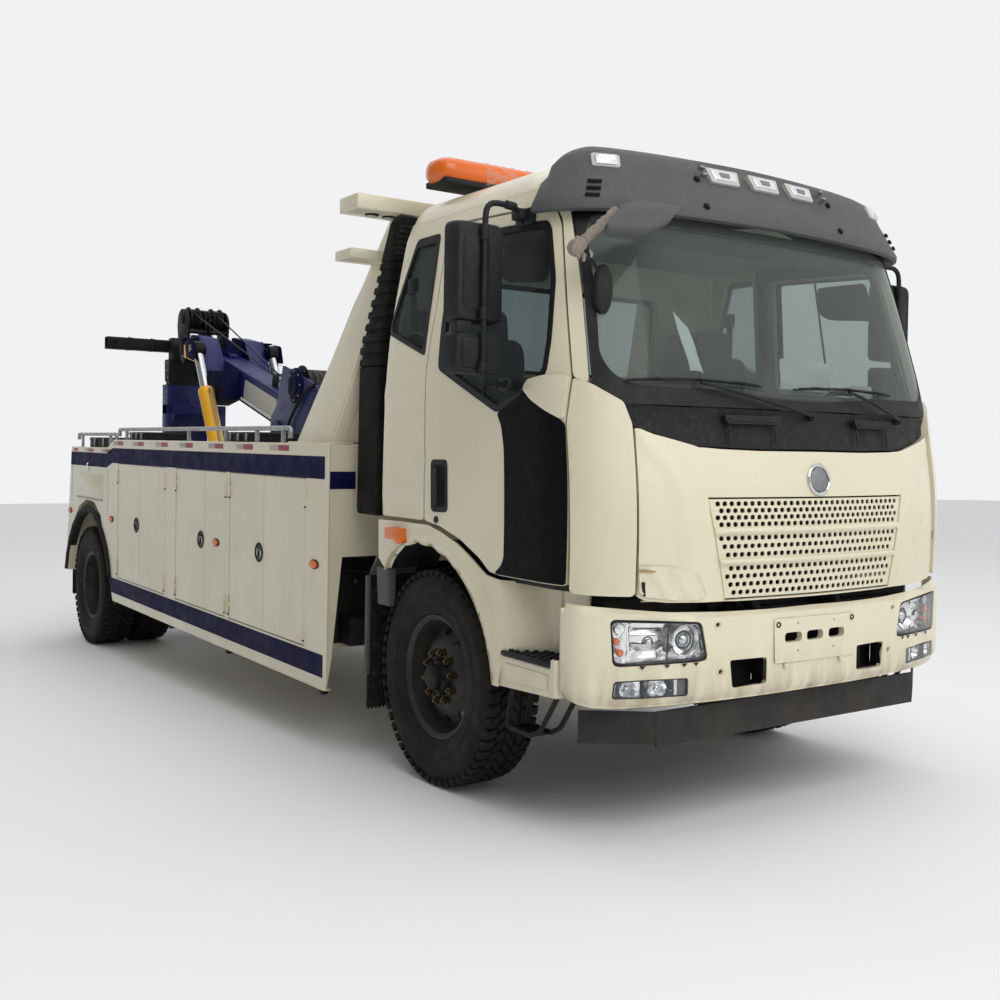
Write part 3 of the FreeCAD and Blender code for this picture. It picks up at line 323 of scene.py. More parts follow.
class Piece:
    """Collects geometry with several materials into one mesh that rides on one body."""

    def __init__(self, name, body, slot=None, level=False):
        self.name, self.body, self.slot, self.level = name, body, slot, level
        self.v, self.f, self.m, self.mats = [], [], [], []

    def add(self, verts, faces, mat, M=None):
        if mat not in self.mats:
            self.mats.append(mat)
        k, base = self.mats.index(mat), len(self.v)
        flip = False
        if M is not None:
            verts = [M @ Vector(p) for p in verts]
            flip = M.determinant() < 0
        self.v += [tuple(p) for p in verts]
        for f in faces:
            g = [base + i for i in f]
            self.f.append(g[::-1] if flip else g)
            self.m.append(k)
        return self

    def bm(self, b, mat, M=None):
        b.verts.ensure_lookup_table()
        b.verts.index_update()
        self.add([v.co.copy() for v in b.verts], [[v.index for v in f.verts] for f in b.faces], mat, M)
        b.free()
        return self

    def box(self, x0, x1, y0, y1, z0, z1, mat, bev=0.0, M=None, seg=2):
        b = bmesh.new()
        bmesh.ops.create_cube(b, size=1.0)
        for v in b.verts:
            v.co = Vector(((x0 + x1) / 2 + v.co.x * (x1 - x0), (y0 + y1) / 2 + v.co.y * (y1 - y0), (z0 + z1) / 2 + v.co.z * (z1 - z0)))
        if bev > 0:
            bev = min(bev, 0.45 * min(abs(x1 - x0), abs(y1 - y0), abs(z1 - z0)))
            bmesh.ops.bevel(b, geom=b.edges[:], offset=bev, segments=seg, affect="EDGES", profile=0.5)
        return self.bm(b, mat, M)

    def pair(self, x0, x1, y0, y1, z0, z1, mat, bev=0.0):
        self.box(x0, x1, y0, y1, z0, z1, mat, bev)
        return self.box(x0, x1, -y1, -y0, z0, z1, mat, bev)

    def prism(self, axis, pts, lo, hi, mat, bev=0.0, M=None, seg=2):
        """Polygon pushed along an axis; pts are (y,z), (x,z) or (x,y)."""
        put = {"X": lambda u, v, w: (w, u, v), "Y": lambda u, v, w: (u, w, v), "Z": lambda u, v, w: (u, v, w)}[axis]
        b = bmesh.new()
        vs = [b.verts.new(put(u, v, lo)) for u, v in pts]
        ve = [b.verts.new(put(u, v, hi)) for u, v in pts]
        n = len(pts)
        b.faces.new(vs)
        b.faces.new(ve[::-1])
        for i in range(n):
            b.faces.new((vs[i], ve[i], ve[(i + 1) % n], vs[(i + 1) % n]))
        bmesh.ops.recalc_face_normals(b, faces=b.faces[:])
        if bev > 0:
            bmesh.ops.bevel(b, geom=b.edges[:], offset=bev, segments=seg, affect="EDGES", profile=0.5)
        return self.bm(b, mat, M)

    def ring(self, rings, mat, close=True, caps=True, M=None):
        """Loft through rings of equal numbers of points."""
        verts = [p for r in rings for p in r]
        n = len(rings[0])
        faces = []
        for k in range(len(rings) - 1):
            for i in range(n if close else n - 1):
                j = (i + 1) % n
                faces.append((k * n + i, k * n + j, (k + 1) * n + j, (k + 1) * n + i))
        if caps:
            faces.append(tuple(range(n))[::-1])
            faces.append(tuple(range((len(rings) - 1) * n, len(rings) * n)))
        return self.add(verts, faces, mat, M)

    def cyl(self, p0, p1, r, mat, n=20, r2=None, bev=0.0, M=None):
        p0, p1 = Vector(p0), Vector(p1)
        ax = (p1 - p0)
        L = ax.length
        ax.normalize()
        u = ax.orthogonal().normalized()
        w = ax.cross(u)
        r2 = r if r2 is None else r2
        st = [(0.0, r), (L, r2)] if bev <= 0 else [(0.0, r - bev), (bev * 0.3, r - bev * 0.3), (bev, r), (L - bev, r2), (L - bev * 0.3, r2 - bev * 0.3), (L, r2 - bev)]
        rings = []
        for d, rad in st:
            rings.append([p0 + ax * d + (u * math.cos(2 * math.pi * i / n) + w * math.sin(2 * math.pi * i / n)) * rad for i in range(n)])
        return self.ring(rings, mat, M=M)

    def lathe(self, prof, centre, axis, mat, n=48, M=None, closed=True):
        """prof: (radius, along) pairs round an axis 'X', 'Y' or 'Z' or a vector."""
        ax = {"X": Vector((1, 0, 0)), "Y": Vector((0, 1, 0)), "Z": Vector((0, 0, 1))}.get(axis) if isinstance(axis, str) else Vector(axis).normalized()
        u = ax.orthogonal().normalized()
        w = ax.cross(u)
        c = Vector(centre)
        rings = []
        for i in range(n):
            a = 2 * math.pi * i / n
            d = u * math.cos(a) + w * math.sin(a)
            rings.append([c + d * r + ax * h for r, h in prof])
        verts = [p for r in rings for p in r]
        k = len(prof)
        faces = []
        for i in range(n):
            j = (i + 1) % n
            for m in range(k if closed else k - 1):
                q = (m + 1) % k
                if prof[m][0] < 1e-6 and prof[q][0] < 1e-6:
                    continue
                faces.append((i * k + m, i * k + q, j * k + q, j * k + m))
        return self.add(verts, faces, mat, M)

    def tube(self, pts, r, mat, n=10, M=None, round_r=None, flat=1.0):
        """Bent tube: straight runs with rounded corners."""
        pts = [Vector(p) for p in pts]
        path = [pts[0]]
        rr = 3 * r if round_r is None else round_r
        for i in range(1, len(pts) - 1):
            a, b, c = pts[i - 1], pts[i], pts[i + 1]
            d1, d2 = (a - b), (c - b)
            k = min(rr, 0.45 * d1.length, 0.45 * d2.length)
            s0, s1 = b + d1.normalized() * k, b + d2.normalized() * k
            for t in (0, 0.2, 0.4, 0.6, 0.8, 1.0):
                path.append(s0 * (1 - t) ** 2 + b * 2 * t * (1 - t) + s1 * t * t)
        path.append(pts[-1])
        rings = []
        u = None
        for i, p in enumerate(path):
            d = (path[min(i + 1, len(path) - 1)] - path[max(i - 1, 0)]).normalized()
            if u is None:
                u = d.orthogonal().normalized()
            u = (u - d * u.dot(d)).normalized()
            w = d.cross(u)
            rings.append([p + (u * math.cos(2 * math.pi * j / n) + w * math.sin(2 * math.pi * j / n) * flat) * r for j in range(n)])
        return self.ring(rings, mat, M=M)

    def bolt(self, p, axis, mat, r=0.012, h=0.008, n=6):
        p, ax = Vector(p), Vector(axis).normalized()
        self.cyl(p, p + ax * h * 0.35, r * 1.35, mat, n=16)
        return self.cyl(p, p + ax * h, r, mat, n=n)

    def done(self, replaces=(), smooth=35, bevel=0.0, ride=True):
        me = bpy.data.meshes.new(self.name)
        M = TL if self.level else T
        me.from_pydata([M @ Vector(p) for p in self.v], [], self.f)
        for k in self.mats:
            me.materials.append(MATS[k])
        me.polygons.foreach_set("material_index", self.m)
        me.validate()
        me.update()
        if smooth:
            me.polygons.foreach_set("use_smooth", [True] * len(me.polygons))
            me.set_sharp_from_angle(angle=math.radians(smooth))
        ob = bpy.data.objects.new(self.name, me)
        bpy.context.scene.collection.objects.link(ob)
        if bevel:
            b = ob.modifiers.new("edge", "BEVEL")
            b.width, b.segments, b.limit_method, b.angle_limit = bevel, 2, "ANGLE", math.radians(50)
        if ride:
            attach(ob, self.body)
        if replaces:
            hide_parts(*replaces)
        return ob


def finish_node(node, *mats):
    o = NODES[node]
    o.data.materials.clear()
    for m in mats:
        o.data.materials.append(MATS[m])
    o.data.polygons.foreach_set("use_smooth", [True] * len(o.data.polygons))


def inside(poly, pts):
    """Which of pts (n,2) lie in the polygon."""
    poly = np.asarray(poly, float)
    x, y = pts[:, 0], pts[:, 1]
    res = np.zeros(len(pts), bool)
    j = len(poly) - 1
    for i in range(len(poly)):
        xi, yi = poly[i]
        xj, yj = poly[j]
        if yi != yj:
            c = ((yi > y) != (yj > y)) & (x < (xj - xi) * (y - yi) / (yj - yi) + xi)
            res ^= c
        j = i
    return res


def dist_to(poly, pts):
    poly = np.asarray(poly, float)
    best = np.full(len(pts), 1e9)
    for i in range(len(poly)):
        a, b = poly[i], poly[(i + 1) % len(poly)]
        d = b - a
        L2 = max(1e-12, float(d @ d))
        t = np.clip(((pts - a) @ d) / L2, 0, 1)
        best = np.minimum(best, np.hypot(*(pts - a - t[:, None] * d).T))
    return best


def dense(poly, step):
    out = []
    n = len(poly)
    for i in range(n):
        a, b = np.array(poly[i], float), np.array(poly[(i + 1) % n], float)
        k = max(1, int(math.ceil(np.hypot(*(b - a)) / step)))
        for t in range(k):
            out.append(tuple(a + (b - a) * t / k))
    return out


def rounded(poly, r, n=4):
    """Polygon with its corners rounded; r is one radius or a radius per corner."""
    out = []
    N = len(poly)
    for i in range(N):
        a, b, c = (np.array(poly[(i + k) % N], float) for k in (-1, 0, 1))
        ri = r[i] if isinstance(r, (list, tuple)) else r
        d1, d2 = a - b, c - b
        l1, l2 = np.hypot(*d1), np.hypot(*d2)
        k = min(ri, 0.45 * l1, 0.45 * l2)
        if k < 1e-5:
            out.append(tuple(b))
            continue
        p, q = b + d1 / l1 * k, b + d2 / l2 * k
        for t in np.linspace(0, 1, n + 1):
            out.append(tuple(p * (1 - t) ** 2 + b * 2 * t * (1 - t) + q * t * t))
    return out


def fill(outline, holes=(), step=0.06, grid=None, extra=()):
    """Triangles over an outline with holes, with inner points so that it can be bent."""
    loops = [dense(outline, step)] + [dense(h, step) if len(h) < 9 else list(h) for h in holes]
    pts, edges = [], []
    for lp in loops:
        k = len(pts)
        pts += lp
        edges += [(k + i, k + (i + 1) % len(lp)) for i in range(len(lp))]
    g = step if grid is None else grid
    o = np.array(outline)
    xs = np.arange(o[:, 0].min() + g / 2, o[:, 0].max(), g)
    ys = np.arange(o[:, 1].min() + g / 2, o[:, 1].max(), g)
    if len(xs) and len(ys):
        G = np.array([(x, y) for x in xs for y in ys])
        keep = inside(outline, G) & (dist_to(outline, G) > g * 0.35)
        for h in holes:
            keep &= ~inside(h, G)
            hb = np.array(h)
            near = (G[:, 0] > hb[:, 0].min() - g) & (G[:, 0] < hb[:, 0].max() + g) & (G[:, 1] > hb[:, 1].min() - g) & (G[:, 1] < hb[:, 1].max() + g)
            if near.any():
                dd = np.full(len(G), 1.0)
                dd[near] = dist_to(h, G[near])
                keep &= dd > g * 0.35
        pts += [tuple(p) for p in G[keep]]
    pts += [tuple(p) for p in extra]
    res = delaunay_2d_cdt([Vector(p) for p in pts], edges, [], 0, 1e-7)
    V2 = np.array([tuple(v) for v in res[0]])
    F = [f for f in res[2] if len(f) >= 3]
    cen = np.array([V2[list(f)].mean(0) for f in F])
    ok = inside(loops[0], cen)
    for h in loops[1:]:
        ok &= ~inside(h, cen)
    F = [f for f, k in zip(F, ok) if k]
    return V2, F


def bent(piece, outline, surf, normal, thick, mat, holes=(), step=0.06, grid=None, disp=None, lift=0.0, back=None, M=None):
    """A sheet on a curved surface: outline in surface coordinates, given thickness inwards."""
    V2, F = fill(outline, holes, step, grid)
    P = surf(V2[:, 0], V2[:, 1])
    N = normal(V2[:, 0], V2[:, 1])
    d = np.zeros(len(P)) + lift
    if disp is not None:
        d = d + disp(V2[:, 0], V2[:, 1])
    out = P + N * d[:, None]
    inn = P + N * (lift - thick) if back is None else P + N * back
    n = len(P)
    # turn all faces outwards
    faces, back_f, cnt = [], [], {}
    for f in F:
        a, b, c = out[f[0]], out[f[1]], out[f[2]]
        g = list(f)
        if np.dot(np.cross(b - a, c - a), N[f[0]]) < 0:
            g = g[::-1]
        faces.append(g)
        for i in range(len(g)):
            cnt[(g[i], g[(i + 1) % len(g)])] = 1
    verts = [tuple(p) for p in out] + [tuple(p) for p in inn]
    side = [(a, b) for (a, b) in cnt if (b, a) not in cnt]
    rim = [(b, a, a + n, b + n) for a, b in side]
    piece.add(verts, faces + [[i + n for i in g[::-1]] for g in faces] + rim, mat, M)
    return piece
# ------------------------------------------------------------------ cab skin
# plan half outline (x, y) from the middle of the front round to the middle of the back
PLAN = [(1.362, 0), (1.357, .15), (1.347, .3), (1.334, .45), (1.318, .6), (1.293, .75), (1.256, .9), (1.205, 1.0), (1.13, 1.08), (1.04, 1.13),
        (.94, 1.148), (.80, 1.15), (.4, 1.15), (0, 1.15), (-.3, 1.15), (-.43, 1.15), (-.48, 1.14), (-.508, 1.112), (-.52, 1.07), (-.52, .9), (-.52, .45), (-.52, 0)]
# height, front x, rear x, half width
PROF = [(0.95, 1.350, -.52, 1.150), (1.05, 1.356, -.52, 1.150), (1.25, 1.360, -.52, 1.152), (1.42, 1.352, -.52, 1.152), (1.55, 1.335, -.52, 1.150),
        (1.72, 1.304, -.52, 1.147), (1.90, 1.262, -.52, 1.140), (2.15, 1.187, -.515, 1.120), (2.40, 1.105, -.485, 1.092), (2.62, 1.025, -.46, 1.060),
        (2.70, .975, -.45, 1.035), (2.765, .90, -.44, .995), (2.81, .80, -.42, .93), (2.835, .66, -.38, .82), (2.85, .50, -.30, .66), (2.86, .30, -.2, .42), (2.863, .1, -.05, .16)]


def catmull(P, n):
    P = np.asarray(P, float)
    Q = np.vstack([2 * P[0] - P[1], P, 2 * P[-1] - P[-2]])
    out = []
    for i in range(1, len(Q) - 2):
        p0, p1, p2, p3 = Q[i - 1:i + 3]
        for t in np.linspace(0, 1, n, endpoint=False):
            out.append(.5 * ((2 * p1) + (-p0 + p2) * t + (2 * p0 - 5 * p1 + 4 * p2 - p3) * t * t + (-p0 + 3 * p1 - 3 * p2 + p3) * t ** 3))
    out.append(P[-1])
    return np.array(out)


PC = catmull(PLAN, 12)
PL = np.concatenate([[0], np.cumsum(np.hypot(*np.diff(PC, axis=0).T))])
SMAX = float(PL[-1])
PR = catmull(PROF, 8)


def S(s, z):
    s, z = np.asarray(s, float), np.asarray(z, float)
    a = np.abs(s)
    x0, y0 = np.interp(a, PL, PC[:, 0]), np.interp(a, PL, PC[:, 1])
    X, R, W = (np.interp(z, PR[:, 0], PR[:, k]) for k in (1, 2, 3))
    x = R + (x0 + .52) * (X - R) / 1.882
    return np.stack([x, np.sign(s) * y0 * W / 1.15, z + 0 * x], -1)


def SN(s, z):
    e = 0.012
    a = S(s + e, z) - S(s - e, z)
    b = S(s, z + e) - S(s, z - e)
    n = np.cross(a, b)
    n /= np.linalg.norm(n, axis=1)[:, None] + 1e-12
    c = S(s, z) - np.array([.4, 0, 0])
    c[:, 2] = 0.2 * (np.asarray(z) > 2.7)
    n[(n * c).sum(1) < 0] *= -1
    return n


def sp(s, z, off=0.0):
    """One point of the skin, stood off by off."""
    p = S(np.array([s]), np.array([z]))[0] + SN(np.array([s]), np.array([z]))[0] * off
    return Vector(p)


def flip(poly):
    return [(-s, z) for s, z in poly][::-1]


def bump2(s, z, cs, cz, rs, rz, h):
    return h * np.exp(-(((s - cs) / rs) ** 2 + ((z - cz) / rz) ** 2))


def crease(s, z, line, w, h):
    """Soft ridge (h > 0) or groove along a polyline."""
    pts = np.stack([s, z], 1)
    best = np.full(len(pts), 1e9)
    for a, b in zip(line[:-1], line[1:]):
        a, b = np.array(a, float), np.array(b, float)
        d = b - a
        t = np.clip(((pts - a) @ d) / float(d @ d), 0, 1)
        best = np.minimum(best, np.hypot(*(pts - a - t[:, None] * d).T))
    return h * np.exp(-(best / w) ** 2)


DOOR = [(1.172, 1.884), (1.172, 2.53), (1.20, 2.598), (2.19, 2.632), (2.223, 2.60), (2.25, 2.25), (2.311, 1.95), (2.311, 1.252), (2.168, 1.234), (1.99, 1.187),
        (1.821, 1.115), (1.747, 1.066), (1.661, 1.057), (1.22, 1.057), (1.214, 1.70)]
WIN = [(2.178, 1.962), (2.165, 2.138), (2.124, 2.565), (1.252, 2.532), (1.232, 2.50), (1.222, 2.285), (1.262, 2.037), (1.305, 1.905), (1.43, 1.845), (1.672, 1.757)]
SIDE = [(1.098, 1.862), (1.095, 2.0), (1.095, 2.2), (1.103, 2.375), (1.125, 2.60), (1.14, 2.70), (2.86, 2.70), (2.86, 1.252), (2.323, 1.252), (2.323, 1.952),
        (2.262, 2.25), (2.236, 2.602), (2.20, 2.644), (1.195, 2.610), (1.162, 2.54), (1.162, 1.884)]
QUARTER = [(2.312, 2.60), (2.585, 2.598), (2.752, 2.185), (2.735, 2.155), (2.35, 2.035), (2.338, 2.05)]
CORNER = [(1.206, 1.042), (1.204, 1.70), (1.160, 1.880), (1.085, 1.855), (.968, 1.786), (.942, 1.70), (.944, 1.04), (.957, 1.028), (1.19, 1.030)]
KNOB = [(1.455, 1.838), (1.44, 1.862), (1.405, 1.876), (1.287, 1.892), (1.178, 1.888), (1.212, 1.712), (1.30, 1.755)]
BLACK = [(1.672, 1.744), (1.455, 1.832), (1.30, 1.752), (1.212, 1.700), (1.222, 1.061), (1.661, 1.061), (1.700, 1.064), (1.650, 1.10), (1.630, 1.135), (1.626, 1.60), (1.640, 1.69)]

side_line = [(-2.86, 1.90), (-2.479, 1.767)]


def door_disp(s, z):
    a = np.abs(s)
    d = 0.006 * np.tanh((z - 1.535) / 0.012) * 0 + crease(a, z, [(2.9, 1.53), (1.7, 1.535)], 0.012, -0.004) + crease(a, z, [(2.9, 1.287), (1.75, 1.28)], 0.010, -0.003)
    d += crease(a, z, [(2.178, 1.93), (1.90, 1.835), (1.70, 1.745)], 0.012, 0.004)
    return d


def side_disp(s, z):
    a = np.abs(s)
    return door_disp(s, z) + crease(a, z, [(2.9, 1.905), (2.479, 1.767), (2.33, 1.70)], 0.016, 0.005) * (a > 2.3)


def mx(poly, sgn):
    return poly if sgn > 0 else flip(poly)


shell = Piece("cab_body", "cab", "cab_paint")
trim = Piece("cab_trim", "cab", "black_plastic")
glz = Piece("cab_windows", "cab", "glass")
for sg in (1, -1):
    bent(shell, mx(rounded(SIDE, 0.02, 3), sg), S, SN, .045, "cab_paint", holes=[mx(rounded(QUARTER, .035, 4), sg)], step=.07, disp=side_disp)
    bent(shell, mx(rounded(CORNER, .012, 3), sg), S, SN, .03, "cab_paint", step=.05,
         disp=lambda s, z: 0.012 * np.clip((1.20 - np.abs(s)) / .1, 0, 1) + 0.004 * np.clip((z - 1.1) / .3, 0, 1))
    # quarter pane, its rubber and the door seal behind the gap
    q = mx(rounded(QUARTER, .035, 4), sg)
    bent(glz, q, S, SN, .005, "glass_dark", step=.09, lift=-.012)
    cq = np.mean(q, axis=0)
    qi = [tuple(cq + (np.array(p) - cq) * .90) for p in q]
    bent(trim, [tuple(cq + (np.array(p) - cq) * 1.03) for p in q], S, SN, .012, "seal_rubber", holes=[qi], step=.08, lift=.003)
    gap = dense(mx(rounded(DOOR, .02, 2), sg), .05)
    cd = np.array([sg * 1.72, 1.85])
    outer = [tuple(cd + (np.array(p) - cd) * 1.035) for p in gap]
    inner = [tuple(cd + (np.array(p) - cd) * .93) for p in gap]
    bent(trim, outer, S, SN, .02, "seal_rubber", holes=[inner], step=.09, lift=-.052)
# windscreen: pane, black border, header and cowl
PANE = [(1.086, 1.87), (1.086, 2.2), (1.094, 2.375), (1.112, 2.60), (-1.112, 2.60), (-1.094, 2.375), (-1.086, 2.2), (-1.086, 1.87), (-.955, 1.782), (.955, 1.782)]
INNER = [(1.045, 1.98), (1.035, 2.2), (1.045, 2.36), (1.058, 2.50), (1.03, 2.565), (-1.03, 2.565), (-1.058, 2.50), (-1.045, 2.36), (-1.035, 2.2), (-1.045, 1.98), (-1.0, 1.90), (-.92, 1.858), (-.6, 1.853),
         (.6, 1.853), (.92, 1.858), (1.0, 1.90)]
bent(glz, PANE, S, SN, .006, "glass_screen", step=.09, lift=-.004)
bent(trim, PANE, S, SN, .003, "seal_rubber", holes=[rounded(INNER, .05, 4)], step=.07, lift=.0005)
bent(shell, [(1.12, 2.60), (1.14, 2.70), (-1.14, 2.70), (-1.12, 2.60)], S, SN, .045, "cab_paint", step=.08)
COWL = [(.952, 1.776), (-.952, 1.776), (-.934, 1.70), (-.80, 1.662), (-.655, 1.626), (-.60, 1.622), (-.33, 1.616), (0, 1.618), (.33, 1.616), (.60, 1.622), (.655, 1.626), (.80, 1.662), (.934, 1.70)]
bent(trim, COWL, S, SN, .02, "cowl_plastic", step=.05, lift=-.010,
     disp=lambda s, z: crease(s, z, [(-.93, 1.735), (-.5, 1.728), (.5, 1.728), (.93, 1.735)], .012, -.006) + 0.008 * np.tanh((z - 1.745) / .01))
# cowl: two recessed handles, seams of the service lids, wiper ledge
for ya, yb in ((-.51, -.20), (.27, .56)):
    bent(trim, rounded([(ya, 1.748), (yb, 1.748), (yb - .012, 1.712), (ya + .012, 1.712)], .012, 3), S, SN, .02, "black_plastic", step=.04, lift=.016)
    bent(trim, rounded([(ya + .02, 1.735), (yb - .02, 1.735), (yb - .03, 1.722), (ya + .03, 1.722)], .006, 3), S, SN, .003, "seal_rubber", step=.04, lift=.019)
    for yy in (ya + .03, yb - .03):
        bent(trim, [(yy - .004, 1.71), (yy + .004, 1.71), (yy + .004, 1.628), (yy - .004, 1.628)], S, SN, .004, "seal_rubber", step=.04, lift=.0)
# roof
rings = []
n_side = 46
ss = np.concatenate([np.linspace(0, 1.6, 26)[:-1], np.linspace(1.6, SMAX, 24)])
full = np.concatenate([ss, -ss[::-1][1:-1]])
for z in (2.695, 2.70, 2.72, 2.745, 2.765, 2.79, 2.81, 2.825, 2.835, 2.843, 2.85, 2.856, 2.86, 2.863):
    P3 = S(full, np.full(len(full), z))
    # fluted roof: shallow ribs along the middle
    rings.append([Vector(p) for p in P3])
shell.ring([r[::-1] for r in rings], "cab_paint", close=True, caps=False)
shell.ring([[p - Vector((0, 0, .0)) for p in rings[-1][::-1]], [Vector((.02 + (p.x - .02) * .3, p.y * .3, 2.865)) for p in rings[-1][::-1]]], "cab_paint", caps=True)
shell.ring([[Vector((p.x * .97, p.y * .96, p.z - .05)) for p in r] for r in rings[::3]], "lining", close=True, caps=True)
for yy in (-.45, -.15, .15, .45):
    shell.prism("Y", [(.36, 2.852), (.34, 2.868), (-.22, 2.868), (-.24, 2.852)], yy - .035, yy + .035, "cab_paint", .006)
# back wall with its window
BACK = [(2.862, 1.252), (2.862, 2.70), (SMAX + .0, 2.70), (SMAX, 1.252)]
for sg in (1, -1):
    edge = SMAX - .0005
    poly = [(2.858, 1.252), (2.858, 2.70), (edge, 2.70), (edge, 2.47), (edge - .62, 2.47), (edge - .655, 2.43), (edge - .655, 2.04), (edge - .62, 2.0), (edge, 2.0), (edge, 1.252)]
    bent(shell, mx(poly, sg), S, SN, .045, "cab_paint", step=.09)
bent_back = Piece("rear_window", "cab", "glass")
bent_back.prism("X", rounded([(-.65, 2.0), (.65, 2.0), (.64, 2.47), (-.64, 2.47)], .05, 4), -.505, -.499, "glass_dark")
o = rounded([(-.68, 1.975), (.68, 1.975), (.67, 2.495), (-.67, 2.495)], .06, 4)
i = rounded([(-.63, 2.02), (.63, 2.02), (.62, 2.45), (-.62, 2.45)], .05, 4)
V2, F = fill(o, [i], .1)
for xx, dd in ((-.53, -1), (-.49, 1)):
    bent_back.add([(xx + (z - 2.2) * .06, y, z) for y, z in V2], [list(f) if dd < 0 else list(f)[::-1] for f in F], "seal_rubber")
bent_back.done(smooth=40)
# floor, tunnel, front bulkhead, rear sill; pressed ribs
floor = Piece("cab_floor", "cab", "cab_paint")
for sg in (1, -1):
    a, b = sorted((sg * .445, sg * 1.085))
    floor.prism("Y", [(-.47, 1.262), (.03, 1.262), (.625, 1.066), (1.04, 1.066), (1.04, 1.125), (.66, 1.125), (.06, 1.315), (-.47, 1.315)], a, b, "cab_paint", .006)
    a, b = sorted((sg * .445, sg * .90))
    floor.prism("Y", [(1.03, 1.066), (1.09, 1.066), (1.16, 1.03), (1.20, 1.03), (1.20, 1.10), (1.10, 1.125), (1.03, 1.125)], a, b, "cab_paint", .006)
    floor.prism("Y", [(-.50, 1.262), (1.06, 1.262), (1.06, 1.40), (-.50, 1.40)] if False else [(-.50, 1.27), (.02, 1.27), (.62, 1.07), (1.06, 1.07), (1.06, 1.43), (-.50, 1.43)], sg * .44 if sg < 0 else .44, sg * .48 if sg < 0 else .48, "lining") if sg > 0 else \
        floor.prism("Y", [(-.50, 1.27), (.02, 1.27), (.62, 1.07), (1.06, 1.07), (1.06, 1.43), (-.50, 1.43)], -.48, -.44, "lining")
floor.box(-.50, 1.06, -.48, .48, 1.395, 1.43, "lining", .01)
floor.box(-.515, -.47, -1.0, 1.0, 1.262, 1.5, "cab_paint", .01)
for k in range(6):
    floor.box(.0 + k * .16, .06 + k * .16, -.40, .40, 1.43, 1.438, "lining", .003)
bent(floor, [(.93, 1.062), (.93, 1.69), (.65, 1.612), (-.65, 1.612), (-.93, 1.69), (-.93, 1.062)], S, SN, .03, "chassis_black", step=.08, lift=-.062)
# radiator core and its surround behind the grille
for k in range(46):
    y = -.56 + k * .025
    floor.box(1.262, 1.270, y - .004, y + .004, 1.08, 1.44, "chassis_black")
for k in range(12):
    floor.box(1.270, 1.274, -.57, .57, 1.10 + k * .03, 1.104 + k * .03, "bare_metal")
# tilt pivot lugs
for sg in (1, -1):
    pts = [(1.216, .890), (1.230, .873), (1.260, .873), (1.275, .890), (1.275, .905), (1.200, 1.015), (1.195, 1.06), (1.120, 1.06), (1.120, 1.015)]
    floor.prism("Y", pts, *(sorted((sg * .240, sg * .276))), "chassis_black", .004)
floor.done(replaces=["cab_shell"], smooth=35)

# ------------------------------------------------------------------ doors
for side, sg in (("left", 1), ("right", -1)):
    body = "door_" + side
    dr = Piece("door_skin_" + side, body, "cab_paint")
    out = mx(rounded(DOOR, .02, 3), sg)
    win = mx(rounded(WIN, .03, 4), sg)
    bent(dr, out, S, SN, .045, "cab_paint", holes=[win], step=.07, disp=door_disp)
    cw = np.mean(win, axis=0)
    wi = [tuple(cw + (np.array(p) - cw) * .955) for p in win]
    wo = [tuple(cw + (np.array(p) - cw) * 1.028) for p in win]
    bent(dr, wo, S, SN, .02, "seal_rubber", holes=[wi], step=.08, lift=.004)
    # lower graphic, bracket for the mirror, rub line
    bent(dr, mx(rounded(BLACK, .015, 3), sg), S, SN, .004, "decal_black", step=.07, lift=.0045, disp=lambda s, z: door_disp(s, z) + crease(np.abs(s), z, [(1.22, 1.285), (1.62, 1.285)], .01, -.003))
    bent(dr, mx(rounded(KNOB, .018, 4), sg), S, SN, .03, "cab_paint", step=.03, lift=.012, disp=lambda s, z: 0.016 * np.clip((1.44 - np.abs(s)) / .06, 0, 1))
    # recessed handle
    h = mx(rounded([(2.252, 1.538), (2.105, 1.540), (2.10, 1.300), (2.247, 1.296)], .03, 4), sg)
    bent(dr, h, S, SN, .004, "black_plastic", step=.04, lift=.004, disp=lambda s, z: -0.0)
    hc = np.mean(h, axis=0)
    hi = [tuple(hc + (np.array(p) - hc) * np.array([.72, .80])) for p in h]
    # near-black inside of the recess: painted shade
    bent(dr, hi, S, SN, .003, "dark_hole", step=.04, lift=.0055)
    pull = mx(rounded([(2.225, 1.50), (2.175, 1.50), (2.172, 1.33), (2.222, 1.33)], .012, 3), sg)
    bent(dr, pull, S, SN, .012, "black_plastic", step=.03, lift=.018)
    dr.cyl(sp(sg * 2.20, 1.262, .0), sp(sg * 2.20, 1.262, .006), .016, "black_plastic", 16)
    # inner trim of the door
    tr = mx(rounded([(1.25, 1.16), (1.25, 1.66), (1.66, 1.70), (2.16, 1.90), (2.27, 1.90), (2.27, 1.31), (1.90, 1.28), (1.72, 1.16)], .04, 3), sg)
    bent(dr, tr, S, SN, .02, "dash_plastic", step=.08, lift=-.046, disp=lambda s, z: -0.012 * (np.abs(z - 1.55) < .05))
    # hinges on the front edge
    for zz in (1.22, 1.58):
        p = sp(sg * 1.195, zz, -.03)
        dr.cyl(p - Vector((0, 0, .04)), p + Vector((0, 0, .04)), .012, "chassis_black", 12)
    dr.done(replaces=[body])
    gl = Piece("door_pane_" + side, body, "glass")
    bent(gl, win, S, SN, .005, "glass", step=.09, lift=-.014)
    # sliding divider of the pane
    gl.tube([sp(sg * 1.80, 1.82, -.010), sp(sg * 1.795, 2.2, -.010), sp(sg * 1.78, 2.55, -.010)], .006, "seal_rubber", 8)
    gl.done(replaces=["door_glass_" + side])

shell.done(smooth=32, bevel=.003)
trim.done(smooth=32)
glz.done(replaces=["cab_glass"], smooth=40)
